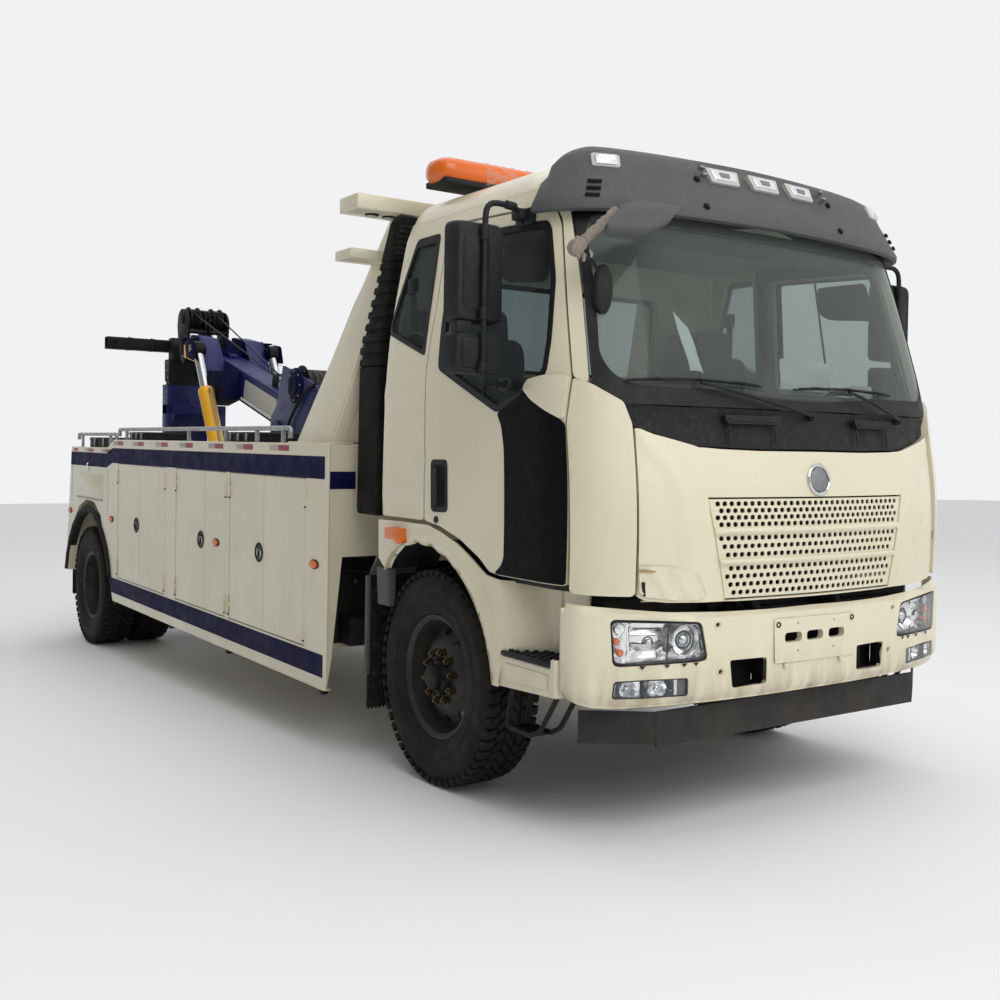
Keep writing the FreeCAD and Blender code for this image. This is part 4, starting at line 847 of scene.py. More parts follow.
# ------------------------------------------------------------------ front flap with its grille
fl = Piece("front_lid", "flap", "cab_paint")
TOP = [(-.927, 1.686), (-.905, 1.683), (-.85, 1.664), (-.799, 1.653), (-.70, 1.630), (-.639, 1.616), (-.54, 1.610), (-.33, 1.605), (.022, 1.606), (.33, 1.605), (.54, 1.610), (.639, 1.616), (.70, 1.630), (.799, 1.653),
       (.85, 1.664), (.905, 1.683), (.927, 1.686)]
BOT = [(.930, 1.025), (.90, 1.010), (.80, .999), (.647, .994), (.45, .990), (.15, .989), (-.15, .989), (-.45, .990), (-.647, .994), (-.80, .999), (-.90, 1.010), (-.930, 1.025)]
def gedge(z):
    """Half width of the sunken grille panel at a height."""
    return float(np.interp(z, [.99, 1.0, 1.41, 1.43], [.515, .52, .611, .615]))
GR = [(-.515, 1.412), (-.60, 1.418), (-.612, 1.400), (-.575, 1.24), (-.522, 1.008), (-.505, .995), (.505, .995), (.522, 1.008), (.575, 1.24), (.612, 1.400), (.60, 1.418), (.515, 1.412)]
def lid_disp(s, z):
    a = np.abs(s)
    # wings: a swept crease from the top corner down
    d = crease(a, z, [(.908, 1.667), (.85, 1.593), (.778, 1.539), (.741, 1.405), (.696, 1.018)], .018, .010)
    d += .008 * np.clip((.74 - a + (z - 1.4) * .11) / .05, 0, 1) * 0
    # seam of the middle panel
    d += crease(a, z, [(.639, 1.616), (.612, 1.412), (.52, .99)], .006, -.006)
    d += -.004 * np.clip((1.62 - z) / .02, 0, 1) * (a < .60)
    return d
GOUT = [(gedge(1.415) , 1.415), (gedge(1.2), 1.2), (gedge(.996), .996), (-gedge(.996), .996), (-gedge(1.2), 1.2), (-gedge(1.415), 1.415)]
bent(fl, TOP + BOT, S, SN, .028, "cab_paint", holes=[GOUT], step=.035, grid=.04, disp=lid_disp)
# grille bands: perforated sheets, set back, with plain ribs between them
bands = [(1.285, 1.408), (1.158, 1.270), (1.003, 1.146)]
for z0, z1 in bands:
    rows = max(3, int(round((z1 - z0 - .012) / .031)))
    pitch = (z1 - z0 - .010) / rows
    holes = []
    for r in range(rows):
        zc = z0 + .005 + pitch * (r + .5)
        half = gedge(zc) - .030
        n = int(half * 2 / .0362)
        off = .5 if r % 2 else 0.0
        for k in range(-n // 2, n // 2 + 1):
            y = (k + off) * .0362
            if abs(y) > half:
                continue
            w, h = .0118, .0098
            holes.append([(y - w, zc - h * .55), (y - w * .5, zc - h), (y + w * .5, zc - h), (y + w, zc - h * .55), (y + w, zc + h * .55), (y + w * .5, zc + h), (y - w * .5, zc + h), (y - w, zc + h * .55)])
    outl = [(-gedge(z1) + .002, z1), (gedge(z1) - .002, z1), (gedge(z0) - .002, z0), (-gedge(z0) + .002, z0)][::-1]
    bent(fl, outl, S, SN, .006, "cab_paint", holes=holes, step=.07, grid=9, lift=-.010)
for za, zb in ((1.266, 1.289), (1.142, 1.162)):
    zc = (za + zb) / 2
    bent(fl, [(-gedge(zb), zb), (gedge(zb), zb), (gedge(za), za), (-gedge(za), za)][::-1], S, SN, .016, "cab_paint", step=.05, grid=.02,
         disp=lambda s, z, zc=zc: .001 + .005 * np.cos(np.clip((z - zc) / .0115, -1, 1) * math.pi / 2))
# return edge round the grille opening
gl_rim = dense(GOUT, .05)
for a, b in zip(gl_rim, gl_rim[1:] + gl_rim[:1]):
    pa, pb = sp(a[0], a[1], -.004), sp(b[0], b[1], -.004)
    qa, qb = sp(a[0], a[1], -.020), sp(b[0], b[1], -.020)
    fl.add([pa, pb, qb, qa], [(0, 1, 2, 3), (3, 2, 1, 0)], "cab_paint")
# inner frame of the lid: folded stiffeners
for yy in (-.80, -.66, .66, .80):
    bent(fl, [(yy - .025, 1.04), (yy + .025, 1.04), (yy + .025, 1.60), (yy - .025, 1.60)], S, SN, .014, "cab_paint", step=.06, lift=-.029)
bent(fl, [(-.9, 1.555), (.9, 1.555), (.9, 1.600), (-.9, 1.600)], S, SN, .014, "cab_paint", step=.06, lift=-.029)
bent(fl, [(-.9, .999), (.9, .999), (.9, 1.002), (-.9, 1.002)], S, SN, .016, "cab_paint", step=.06, lift=-.029)
# plain round badge: a ring and a domed disc, left without any sign
pc = sp(0, 1.487, -.001)
nv = Vector(SN(np.array([0.0]), np.array([1.487]))[0])
fl.lathe([(0, .007), (.020, .0065), (.040, .005), (.052, .002), (.054, -.004), (0, -.004)], pc, nv, "bare_metal", 40, closed=False)
fl.lathe([(.056, -.004), (.056, .003), (.060, .0065), (.066, .0065), (.070, .003), (.070, -.004)], pc, nv, "chrome", 48)
# torn lower corner of the right wing, mended with brown film and tape
bent(fl, [(-.928, 1.150), (-.80, 1.142), (-.70, 1.125), (-.655, 1.095), (-.62, 1.02), (-.66, 1.005), (-.80, 1.012), (-.905, 1.026), (-.926, 1.045)], S, SN, .002, "cab_paint", step=.025, grid=.02, lift=.006,
     disp=lambda s, z: .004 * np.sin(s * 61 + z * 43) + .003 * np.sin(s * 117 - z * 95))
bent(fl, [(-.918, 1.085), (-.905, 1.085), (-.900, 1.028), (-.913, 1.030)], S, SN, .002, "seal_rubber", step=.02, lift=.011)
bent(fl, [(-.93, 1.135), (-.86, 1.128), (-.862, 1.120), (-.93, 1.126)], S, SN, .002, "scuff", step=.02, lift=.011)
fl.done(replaces=["front_flap"], smooth=35)

# corner pieces: narrow upright vents
vent = Piece("corner_vents", "cab", "black_plastic")
for sg in (1, -1):
    o_ = mx(rounded([(.985, 1.495), (1.020, 1.500), (1.030, 1.24), (.995, 1.235)], .01, 3), sg)
    bent(vent, o_, S, SN, .012, "seal_rubber", step=.03, lift=.005)
    for k in range(5):
        z0 = 1.262 + k * .045
        bent(vent, mx([(.990, z0), (1.026, z0), (1.026, z0 + .012), (.990, z0 + .012)], sg), S, SN, .010, "black_plastic", step=.03, lift=.010)
vent.done(smooth=35)

# ------------------------------------------------------------------ sun visor
vs = Piece("sun_visor", "cab", "black_plastic")
SECT = [(.020, 2.600), (.060, 2.578), (.080, 2.586), (.082, 2.604), (.055, 2.650), (.020, 2.712), (-.030, 2.800), (-.065, 2.852), (-.120, 2.884), (-.200, 2.897), (-.320, 2.892), (-.395, 2.868), (-.400, 2.858),
        (-.320, 2.875), (-.200, 2.880), (-.130, 2.868), (-.085, 2.842), (-.052, 2.798), (-.004, 2.704), (.030, 2.645), (.052, 2.606), (.046, 2.596)]
svals = np.concatenate([np.linspace(-1.27, -1.0, 10), np.linspace(-.97, .97, 45), np.linspace(1.0, 1.27, 10)])
rings = []
for s_ in svals:
    e = abs(s_)
    B = S(np.array([s_]), np.array([2.62]))[0]
    nn = SN(np.array([s_]), np.array([2.62]))[0]
    nh = np.array([nn[0], nn[1], 0.0])
    nh /= np.linalg.norm(nh)
    # the ends taper back and down a little
    k = np.clip((e - .98) / .29, 0, 1)
    row = []
    for j, (a, z) in enumerate(SECT):
        za = z - .012 * (abs(s_) / 1.27) ** 2
        if z > 2.75:
            za -= .055 * k ** 1.5
        a2 = a
        if .02 < z - 2.70 and e < .415 and 5 <= j <= 7 and z < 2.88:
            a2 -= .030 * np.clip((.415 - e) / .02, 0, 1)      # recess for the lamps
        row.append(Vector((B[0] + nh[0] * a2, B[1] + nh[1] * a2 * (1 if a2 > 0 else .75), za)))
    rings.append(row)
vs.ring(rings, "visor_plastic", close=True, caps=True)
def vis(y, a, z):
    """Point on the visor front: across y, forward a, at height z."""
    s_ = float(np.interp(abs(y), [0, .3, .6, .75, .9, 1.0], [0, .3, .602, .755, .91, 1.03])) * (1 if y > 0 else -1)
    B = S(np.array([s_]), np.array([2.62]))[0]
    nn = SN(np.array([s_]), np.array([2.62]))[0]
    nh = np.array([nn[0], nn[1], 0.0]); nh /= np.linalg.norm(nh)
    return Vector((B[0] + nh[0] * a, B[1] + nh[1] * a, z)), Vector((nh[0], nh[1], 0))
for y in (-.268, 0, .268):
    p, n_ = vis(y, -.05, 2.805)
    n2 = (n_ + Vector((0, 0, .55))).normalized()
    t_ = Vector((-n_.y, n_.x, 0))
    u_ = n2.cross(t_).normalized()
    u_ = u_ if u_.z > 0 else -u_
    shp = [(-1, .9), (1, .9), (.86, -.9), (-.86, -.9)]
    for w_, h_, e0, e1, mt_ in ((.092, .044, -.012, .010, "plate_grey"), (.070, .028, .010, .016, "reflector"), (.030, .014, .016, .019, "grey_plastic")):
        pts = [p + t_ * (w_ * a) + u_ * (h_ * b) for a, b in rounded(shp, .12, 3)]
        vs.ring([[q_ + n2 * e0 for q_ in pts], [q_ + n2 * e1 for q_ in pts], [p + (q_ - p) * .94 + n2 * (e1 + .002) for q_ in pts]], mt_)
for sg in (1, -1):
    # corner marker lamps: dark lens in a bezel, bent round the corner
    for (ya, za, w, h, m) in ((.93, 2.800, .062, .033, "plate_grey"), (.93, 2.800, .050, .024, "reflector")):
        p, n_ = vis(sg * ya, -.030 if m == "reflector" else -.036, za)
        t_ = Vector((-n_.y, n_.x, 0))
        up_ = (Vector((0, 0, 1)) - n_ * .45).normalized()
        pts = [p + t_ * (w * cx) + up_ * (h * cz) for cx, cz in ((-1, -.8), (-.8, -1), (.8, -1), (1, -.8), (1, .8), (.8, 1), (-.8, 1), (-1, .8))]
        nf = t_.cross(up_).normalized()
        nf = nf if nf.dot(n_) > 0 else -nf
        vs.ring([[q_ - nf * .03 for q_ in pts], [q_ + nf * .006 for q_ in pts], [p + (q_ - p) * .9 + nf * .010 for q_ in pts]], m)
    # three slots at each end drawn as near-black bars: painted shade
    for k, (yy, zz) in enumerate(((.985, 2.700), (.99, 2.668), (.995, 2.636))):
        p, n_ = vis(sg * yy, .028 - (zz - 2.636) * .55 + .038, zz)
        t_ = Vector((-n_.y, n_.x, 0))
        vs.box(-.03, .03, -.006, .006, -.006, .006, "dark_hole", .002, Matrix.Translation(p) @ Matrix(((t_.x, n_.x, 0, 0), (t_.y, n_.y, 0, 0), (0, 0, 1, 0), (0, 0, 0, 1))))
for y, z in ((-.457, 2.771), (.457, 2.771), (-.458, 2.640), (.458, 2.640)):
    p, n_ = vis(y, .055 - (z - 2.65) * .565, z)
    n2 = (n_ + Vector((0, 0, .5))).normalized()
    vs.bolt(p + n2 * .004, n2, "black_steel", .012, .007)
# bright bracket at the recess end
for y in (-.415, .415):
    p, n_ = vis(y, -.020, 2.805)
    n2 = (n_ + Vector((0, 0, .55))).normalized()
    t_ = Vector((-n_.y, n_.x, 0))
    u_ = n2.cross(t_).normalized()
    for d_, h_ in ((-.02, .03), (.02, .03)):
        vs.ring([[p + u_ * d_ + t_ * -.012 + n2 * e_, p + u_ * d_ + t_ * .012 + n2 * e_, p + u_ * (d_ + .012) + t_ * .012 + n2 * e_, p + u_ * (d_ + .012) + t_ * -.012 + n2 * e_] for e_ in (-.01, .012)], "galvanised")
# feet to the roof
for y in (-.8, -.3, .3, .8):
    p, n_ = vis(y, -.30, 2.868)
    vs.box(p.x - .03, p.x + .03, p.y - .02, p.y + .02, 2.80, 2.878, "visor_plastic", .006)
vs.done(replaces=["visor"], smooth=40)

# ------------------------------------------------------------------ warning light bar, half wrapped in film
lb = Piece("warning_lights", "cab", "beacon_amber")
def bar_section(r_, x0=-.30, z0=2.958):
    return [(x0 + r_ * 1.42 * math.copysign(abs(math.cos(a)) ** .75, math.cos(a)), z0 + r_ * .95 * math.copysign(abs(math.sin(a)) ** .8, math.sin(a))) for a in np.linspace(0, 2 * math.pi, 28, endpoint=False)]
def bar_run(ya, yb, r_, mat, n=26, rib=.0):
    ys = np.linspace(ya, yb, n)
    rr = []
    for i_, y in enumerate(ys):
        e = min((y - ya), (yb - y))
        k = r_ * (math.sqrt(max(0, 1 - (1 - min(1, e / .09)) ** 2)) * .75 + .25) + (rib if i_ % 2 else 0)
        rr.append([Vector((x, y, z)) for x, z in bar_section(k)])
    lb.ring(rr, mat)
bar_run(-1.0, -.335, .074, "amber", 40, .0016)
bar_run(.335, 1.0, .074, "amber", 40, .0016)
bar_run(-.33, .33, .070, "amber", 24, .001)
lb.box(-.40, -.20, -.97, .97, 2.886, 2.918, "black_plastic", .008)
for y in (-.34, .34):
    lb.ring([[Vector((x, y + e_, z)) for x, z in bar_section(.0755)] for e_ in (-.012, .012)], "black_plastic")
for y in (-.56, .56):
    lb.prism("X", [(y - .07, 2.835), (y + .07, 2.835), (y + .05, 2.89), (y - .05, 2.89)], -.36, -.24, "black_plastic", .005)
# lamps inside
for y in np.linspace(-.88, .88, 9):
    lb.lathe([(.0, .0), (.030, .004), (.045, .022), (.052, .05), (.048, .05), (.040, .024), (.026, .008), (0, .005)], (-.33, y, 2.96), "X", "reflector", 20, closed=False)
# loose clear film: crumpled sleeve hanging in folds below the right half
fr = random.Random(3)
for (ya, yb, rb) in ((-.74, .30, .082),):
    rings = []
    for y in np.linspace(ya, yb, 40):
        row = []
        for a in np.linspace(0, 2 * math.pi, 40, endpoint=False):
            sag = .040 * max(0, -math.sin(a)) * (1 + .5 * math.sin(y * 21))
            wob = .006 * math.sin(a * 7 + y * 45) + .004 * math.sin(a * 13 - y * 80)
            rr_ = rb + wob + sag * .4
            x = -.30 + (rr_ * 1.36) * math.cos(a)
            z = 2.955 + (rr_ * .92 + sag * .5) * math.sin(a) * (1 if math.sin(a) > 0 else .93)
            row.append(Vector((x, y, max(z, 2.872))))
        rings.append(row)
    lb.ring(rings, "film", caps=False)
lb.done(replaces=["light_bar"], smooth=50)

# ------------------------------------------------------------------ door mirrors
def mirror_piece(side, sg):
    m = Piece("mirror_unit_" + side, "door_" + side, "black_plastic")
    Y = lambda v: v * sg
    def shell_box(x0, x1, y0, y1, z0, z1, r, glass):
        rings = []
        # superellipse sections through the depth (X)
        for k, (dx, sc) in enumerate(((0, .86), (.006, .90), (.02, .955), (.045, .985), (.070, 1.0), (.088, 1.0), (.0885, .975))):
            cy, cz, hy, hz = (y0 + y1) / 2, (z0 + z1) / 2, (y1 - y0) / 2 * sc, (z1 - z0) / 2 * (1 - (1 - sc) * .5)
            pts = rounded([(cy - hy, cz - hz), (cy + hy, cz - hz), (cy + hy, cz + hz), (cy - hy, cz + hz)], r, 5)
            rings.append([Vector((x1 - dx * (x1 - x0) / .0885, Y(a), b)) for a, b in pts])
        m.ring(rings if sg > 0 else [q_[::-1] for q_ in rings], "black_plastic", caps=True)
        # raised panel on the back
        cy, cz = (y0 + y1) / 2 + .02, (z0 + z1) / 2
        hy, hz = (y1 - y0) / 2 * .52, (z1 - z0) / 2 * .74
        pts = rounded([(cy - hy, cz - hz), (cy + hy, cz - hz), (cy + hy, cz + hz), (cy - hy, cz + hz)], .03, 4)
        rr = [[Vector((x1 + e_, Y(cy + (a - cy) * q_), cz + (b - cz) * q_)) for a, b in pts] for e_, q_ in ((-.010, 1.0), (.002, .99), (.005, .95))]
        m.ring(rr if sg < 0 else [q_[::-1] for q_ in rr], "black_plastic", caps=True)
        # mirror glass facing back
        hy, hz = (y1 - y0) / 2 * .90, (z1 - z0) / 2 * .93
        cy = (y0 + y1) / 2
        pts = rounded([(cy - hy, cz - hz), (cy + hy, cz - hz), (cy + hy, cz + hz), (cy - hy, cz + hz)], r * .9, 5)
        m.prism("X", [(Y(a), b) for a, b in pts], x0 - .0005, x0 + .004, "chrome")
    shell_box(.612, .698, 1.205, 1.448, 2.105, 2.520, .040, True)
    shell_box(.612, .698, 1.210, 1.448, 1.898, 2.068, .034, True)
    # bent tube with its clamps and sleeves
    m.tube([(.655, Y(1.072), 2.573), (.700, Y(1.18), 2.600), (.715, Y(1.315), 2.598), (.718, Y(1.322), 2.47), (.715, Y(1.318), 1.88), (.700, Y(1.30), 1.862), (.660, Y(1.152), 1.862)], .0125, "black_plastic", 12, round_r=.07)
    for z0, z1 in ((2.44, 2.505), (2.115, 2.17), (1.905, 1.95)):
        m.cyl((.716, Y(1.321), z0), (.716, Y(1.321), z1), .019, "black_plastic", 18, bev=.004)
    m.cyl((.70, Y(1.165), 2.597), (.706, Y(1.215), 2.60), .018, "black_plastic", 16, bev=.003)
    # upper and lower brackets on the door
    bx0, bx1 = .60, .715
    m.box(bx0, bx1, *sorted((Y(1.064), Y(1.098))), 2.535, 2.606, "black_plastic", .008)
    m.box(.63, .70, *sorted((Y(1.090), Y(1.140))), 2.553, 2.600, "black_plastic", .010)
    m.box(.625, .70, *sorted((Y(1.150), Y(1.185))), 1.838, 1.888, "black_plastic", .010)
    for zz in (2.548, 2.594):
        m.bolt((.66, Y(1.099), zz), (0, sg, 0), "black_steel", .006, .005)
    # joints between the two housings
    m.prism("Y", [(.64, 2.06), (.69, 2.06), (.69, 2.112), (.64, 2.112)], *sorted((Y(1.36), Y(1.43))), "black_plastic", .006)
    m.done(replaces=["mirror_" + side], smooth=45)
for side, sg in (("left", 1), ("right", -1)):
    mirror_piece(side, sg)

# kerb mirror hung from the visor over the right corner of the screen, arm wound with tape
km = Piece("kerb_mirror", "cab", "black_plastic")
KT = [(1.15, -.962, 2.561), (1.15, -.86, 2.592), (1.15, -.657, 2.594), (1.24, -.776, 2.520), (1.25, -.916, 2.450), (1.25, -1.105, 2.440), (1.245, -1.108, 2.458)]
cen = sum((Vector(q_) for q_ in KT), Vector()) / len(KT)
dn = Vector((-.030, 0, -.026))
km.ring([[cen.lerp(Vector(q_), .90) + Vector((.006, 0, .008)) for q_ in KT], [Vector(q_) for q_ in KT], [Vector(q_) + dn * .6 for q_ in KT], [cen.lerp(Vector(q_), .96) + dn for q_ in KT]], "visor_plastic")
km.ring([[cen.lerp(Vector(q_), .88) + dn for q_ in KT], [cen.lerp(Vector(q_), .86) + dn * 1.25 for q_ in KT]], "chrome")
ka, kb = Vector((1.12, -.962, 2.546)), Vector((1.062, -1.120, 2.386))
km.tube([ka, ka.lerp(kb, .5) + Vector((.004, 0, .004)), kb], .013, "seal_rubber", 10, round_r=.03)
d_ = (kb - ka).normalized()
u_ = d_.orthogonal().normalized()
w_ = d_.cross(u_)
tape = [(ka.lerp(kb, k / 25), .0200 + .0020 * math.sin(k * 2.1) + (.010 if k > 20 else 0)) for k in range(26)]
km.ring([[p + (u_ * math.cos(a) + w_ * math.sin(a)) * (r_ + .002 * math.sin(3 * a + i_)) for a in np.linspace(0, 2 * math.pi, 14, endpoint=False)] for i_, (p, r_) in enumerate(tape)], "wrap_tape")
for k in range(12):
    p = kb + Vector((fr.uniform(-.01, .01), fr.uniform(-.028, .028), fr.uniform(-.03, .02)))
    q_ = p + Vector((fr.uniform(.010, .020), fr.uniform(-.03, .03), fr.uniform(-.035, .02)))
    km.tube([p, (p + q_) / 2 + Vector((.008, 0, .006)), q_], .007, "wrap_tape", 6)
km.lathe([(0, -.03), (.026, -.024), (.034, -.004), (.030, .016), (.018, .028), (0, .030)], kb, (.3, -.8, .5), "wrap_tape", 16, closed=False)
km.done(smooth=45)

# ------------------------------------------------------------------ wipers
wp = Piece("wipers", "cab", "black_plastic")
def wiper(y0, y1, zb, ye):
    a = sp(y0, 1.752, .024)
    wp.cyl(sp(y0, 1.752, -.004), a, .017, "black_plastic", 16, bev=.003)
    wp.bolt(a, (1, 0, .3), "black_steel", .009, .008)
    e = sp(ye, zb, .028)
    mid = sp(y0 * .35 + ye * .65, 1.752 * .35 + zb * .65, .040)
    k1 = sp(y0 * .8 + ye * .2, 1.752 * .8 + zb * .2, .036)
    wp.tube([a, k1, mid, e], .0075, "black_plastic", 8, round_r=.03)
    # blade: rubber lip, spine and three bows
    n = 14
    line = [sp(y1 + (2 * ye - 2 * y1) * t_, zb + .012 * math.sin(math.pi * t_), .010) for t_ in np.linspace(0, 1, n)]
    wp.tube(line, .0045, "seal_rubber", 6, round_r=.0)
    line2 = [sp(y1 + (2 * ye - 2 * y1) * t_, zb + .012 * math.sin(math.pi * t_), .020) for t_ in np.linspace(.04, .96, n)]
    wp.tube(line2, .0055, "black_plastic", 6, round_r=.0)
    for c_ in (.2, .5, .8):
        q0 = sp(y1 + (2 * ye - 2 * y1) * (c_ - .07), zb + .012 * math.sin(math.pi * c_), .022)
        q1 = sp(y1 + (2 * ye - 2 * y1) * (c_ + .07), zb + .012 * math.sin(math.pi * c_), .022)
        qm = sp(y1 + (2 * ye - 2 * y1) * c_, zb + .012 * math.sin(math.pi * c_), .033)
        wp.tube([q0, qm, q1], .004, "black_plastic", 6)
wiper(-.02, -.95, 1.872, -.62)
wiper(.62, -.10, 1.868, .25)
wp.done(smooth=45)
# ------------------------------------------------------------------ bumper
BP = [(1.338, 0), (1.337, .15), (1.332, .30), (1.322, .45), (1.305, .60), (1.281, .75), (1.247, .90), (1.200, 1.02), (1.165, 1.09), (1.125, 1.135), (1.083, 1.150), (1.05, 1.154)]
BC = catmull(BP, 12)
BL = np.concatenate([[0], np.cumsum(np.hypot(*np.diff(BC, axis=0).T))])


def Bs(s, z):
    s, z = np.asarray(s, float), np.asarray(z, float)
    a = np.abs(s)
    x, y = np.interp(a, BL, BC[:, 0]), np.interp(a, BL, BC[:, 1])
    return np.stack([x, np.sign(s) * y, z + 0 * x], -1)


def BN(s, z):
    a = Bs(s + .01, z) - Bs(s - .01, z)
    n = np.stack([a[:, 1], -a[:, 0], 0 * a[:, 0]], -1)
    n /= np.linalg.norm(n, axis=1)[:, None] + 1e-12
    n[(n[:, 0] < 0) & (np.abs(s) < 1.1)] *= -1
    n[(n[:, 1] * s < 0) & (np.abs(s) >= 1.1)] *= -1
    return n


def bp(s, z, off=0.0):
    return Vector(Bs(np.array([s]), np.array([z]))[0] + BN(np.array([s]), np.array([z]))[0] * off)


def bump_disp(s, z):
    a = np.abs(s)
    zt = np.interp(a, [0, .6, .9, 1.1, 1.25], [.946, .948, .966, .986, .994])
    zb = np.interp(a, [0, .6, .9, 1.1, 1.25], [.584, .583, .583, .590, .618])
    d = -.026 * np.clip(1 - (zt - z) / .022, 0, 1) ** 2 - .030 * np.clip(1 - (z - zb) / .045, 0, 1) ** 2
    # ledge that runs in from the fog lamps and fades out
    d += crease(a, z, [(.56, .703), (.69, .700)], .008, .003)
    return d


bu = Piece("bumper", "chassis", "cab_paint")
HEAD = [(1.025, .769), (1.037, .927), (1.022, .938), (.655, .916), (.637, .912), (.626, .897), (.600, .779), (.603, .759), (.637, .753), (.994, .751), (1.015, .755)]
FOG = [(1.019, .686), (1.011, .695), (.690, .693), (.690, .620), (1.016, .624), (1.025, .632)]
TOW = [(.486, .749), (.285, .747), (.285, .637), (.471, .634)]
out_b = [(-1.24, .994), (-1.118, .988), (-.924, .970), (-.782, .957), (-.533, .947), (-.274, .944), (0, .946), (.274, .944), (.533, .947), (.782, .957), (.924, .970), (1.118, .988), (1.24, .994),
         (1.24, .618), (1.111, .590), (1.019, .583), (.845, .583), (.609, .583), (.263, .584), (0, .585), (-.263, .584), (-.609, .583), (-.845, .583), (-1.019, .583), (-1.111, .590), (-1.24, .618)]
slots = [rounded([(a, .841), (b, .841), (b, .799), (a, .799)], .019, 4) for a, b in ((-.189, -.086), (-.055, .047), (.083, .186))]
holes = [mx(rounded(h, .012, 3), sg) for sg in (1, -1) for h in (HEAD, FOG, TOW)]
screws = [(-.55, .898), (-.532, .705), (.56, .896), (.529, .706)]
bent(bu, out_b, Bs, BN, .022, "bumper_paint", holes=holes + slots + [[(s_ + .011 * math.cos(a), z_ + .011 * math.sin(a)) for a in np.linspace(0, 2 * math.pi, 10, endpoint=False)] for s_, z_ in screws], step=.04, grid=.03, disp=bump_disp)
for s_, z_ in screws:
    n_ = BN(np.array([s_]), np.array([z_]))[0]
    bu.lathe([(.0, -.02), (.011, -.02), (.011, -.004), (.017, .003), (.020, .001), (.020, -.003)], bp(s_, z_, 0), n_, "bumper_paint", 18, closed=False)
    # near-black plug inside the screw hole: painted shade
    bu.cyl(bp(s_, z_, -.018), bp(s_, z_, -.010), .008, "dark_hole", 10)
# number plate carrier: raised bare sheet with three long slots
car = rounded([(-.251, .903), (.259, .899), (.261, .712), (-.245, .716)], .008, 3)
bent(bu, car, Bs, BN, .003, "bumper_paint", holes=slots + [[(a + .005 * math.cos(q_), b + .005 * math.sin(q_)) for q_ in np.linspace(0, 2 * math.pi, 8, endpoint=False)] for a, b in ((-.111, .877), (.118, .877), (-.109, .761), (.116, .761))],
     step=.04, grid=.03, lift=.006, disp=lambda s, z: crease(s, z, [(-.204, .800), (-.204, .860), (.217, .858), (.220, .783)], .005, .003))
for a, b in ((-.228, .878), (.236, .879)):
    bu.lathe([(0, -.004), (.006, -.004), (.008, .002), (.012, .003), (.013, 0)], bp(a, b, .007), BN(np.array([a]), np.array([b]))[0], "black_steel", 14, closed=False)
# two clips under the carrier
for a in (-.18, .165):
    bu.box(-.012, .012, -.006, .006, -.014, .006, "bumper_paint", .003, Matrix.Translation(bp(a, .706, .006)) @ Matrix.Rotation(math.pi / 2, 4, "Z"))
# tow openings: folded rims and the near-black boxes behind them, painted shade
for sg in (1, -1):
    t_ = mx(TOW, sg)
    for a, b in zip(t_, t_[1:] + t_[:1]):
        bu.add([bp(a[0], a[1], -.003), bp(b[0], b[1], -.003), bp(b[0], b[1], -.06), bp(a[0], a[1], -.06)], [(0, 1, 2, 3), (3, 2, 1, 0)], "black_steel")
# closed near-black boxes behind the tow openings: painted shade inside them
for sg in (1, -1):
    bu.box(1.205, 1.215, *sorted((sg * .255, sg * .525)), .585, .790, "dark_hole", .003)
    bu.box(1.215, 1.290, *sorted((sg * .250, sg * .256)), .600, .785, "dark_hole", .002)
    bu.box(1.215, 1.275, *sorted((sg * .524, sg * .530)), .600, .785, "dark_hole", .002)
# near-black strip that closes the slot between the bumper and the beam: painted shade in the slot
bent(bu, [(-.95, .600), (.95, .600), (.95, .575), (-.95, .575)], Bs, BN, .004, "dark_hole", step=.06, lift=-.045)
# inner side of the bumper: stiffening rail
bent(bu, [(-1.15, .86), (1.15, .86), (1.15, .80), (-1.15, .80)][::1] and [(-.58, .79), (.58, .79), (.58, .76), (-.58, .76)], Bs, BN, .02, "chassis_black", step=.06, lift=-.024)
for sg in (1, -1):
    # folded rear ends
    bu.prism("Z", [(1.046, sg * 1.150), (1.062, sg * 1.154), (1.062, sg * 1.128), (1.046, sg * 1.126)], .64, .975, "bumper_paint", .003)
bu.done(replaces=["front_bumper"], smooth=38)

# dark panel behind the gap between flap and bumper: painted shade in the gap
dk = Piece("front_shield", "chassis", "chassis_black")
for y0, y1 in ((-.95, -.345), (-.215, .215), (.345, .95)):
    dk.box(1.055, 1.075, y0, y1, .74, .985, "chassis_black", .004)
    dk.box(1.055, 1.115, y0, y1, .905, .920, "chassis_black", .004)
dk.done(smooth=35)
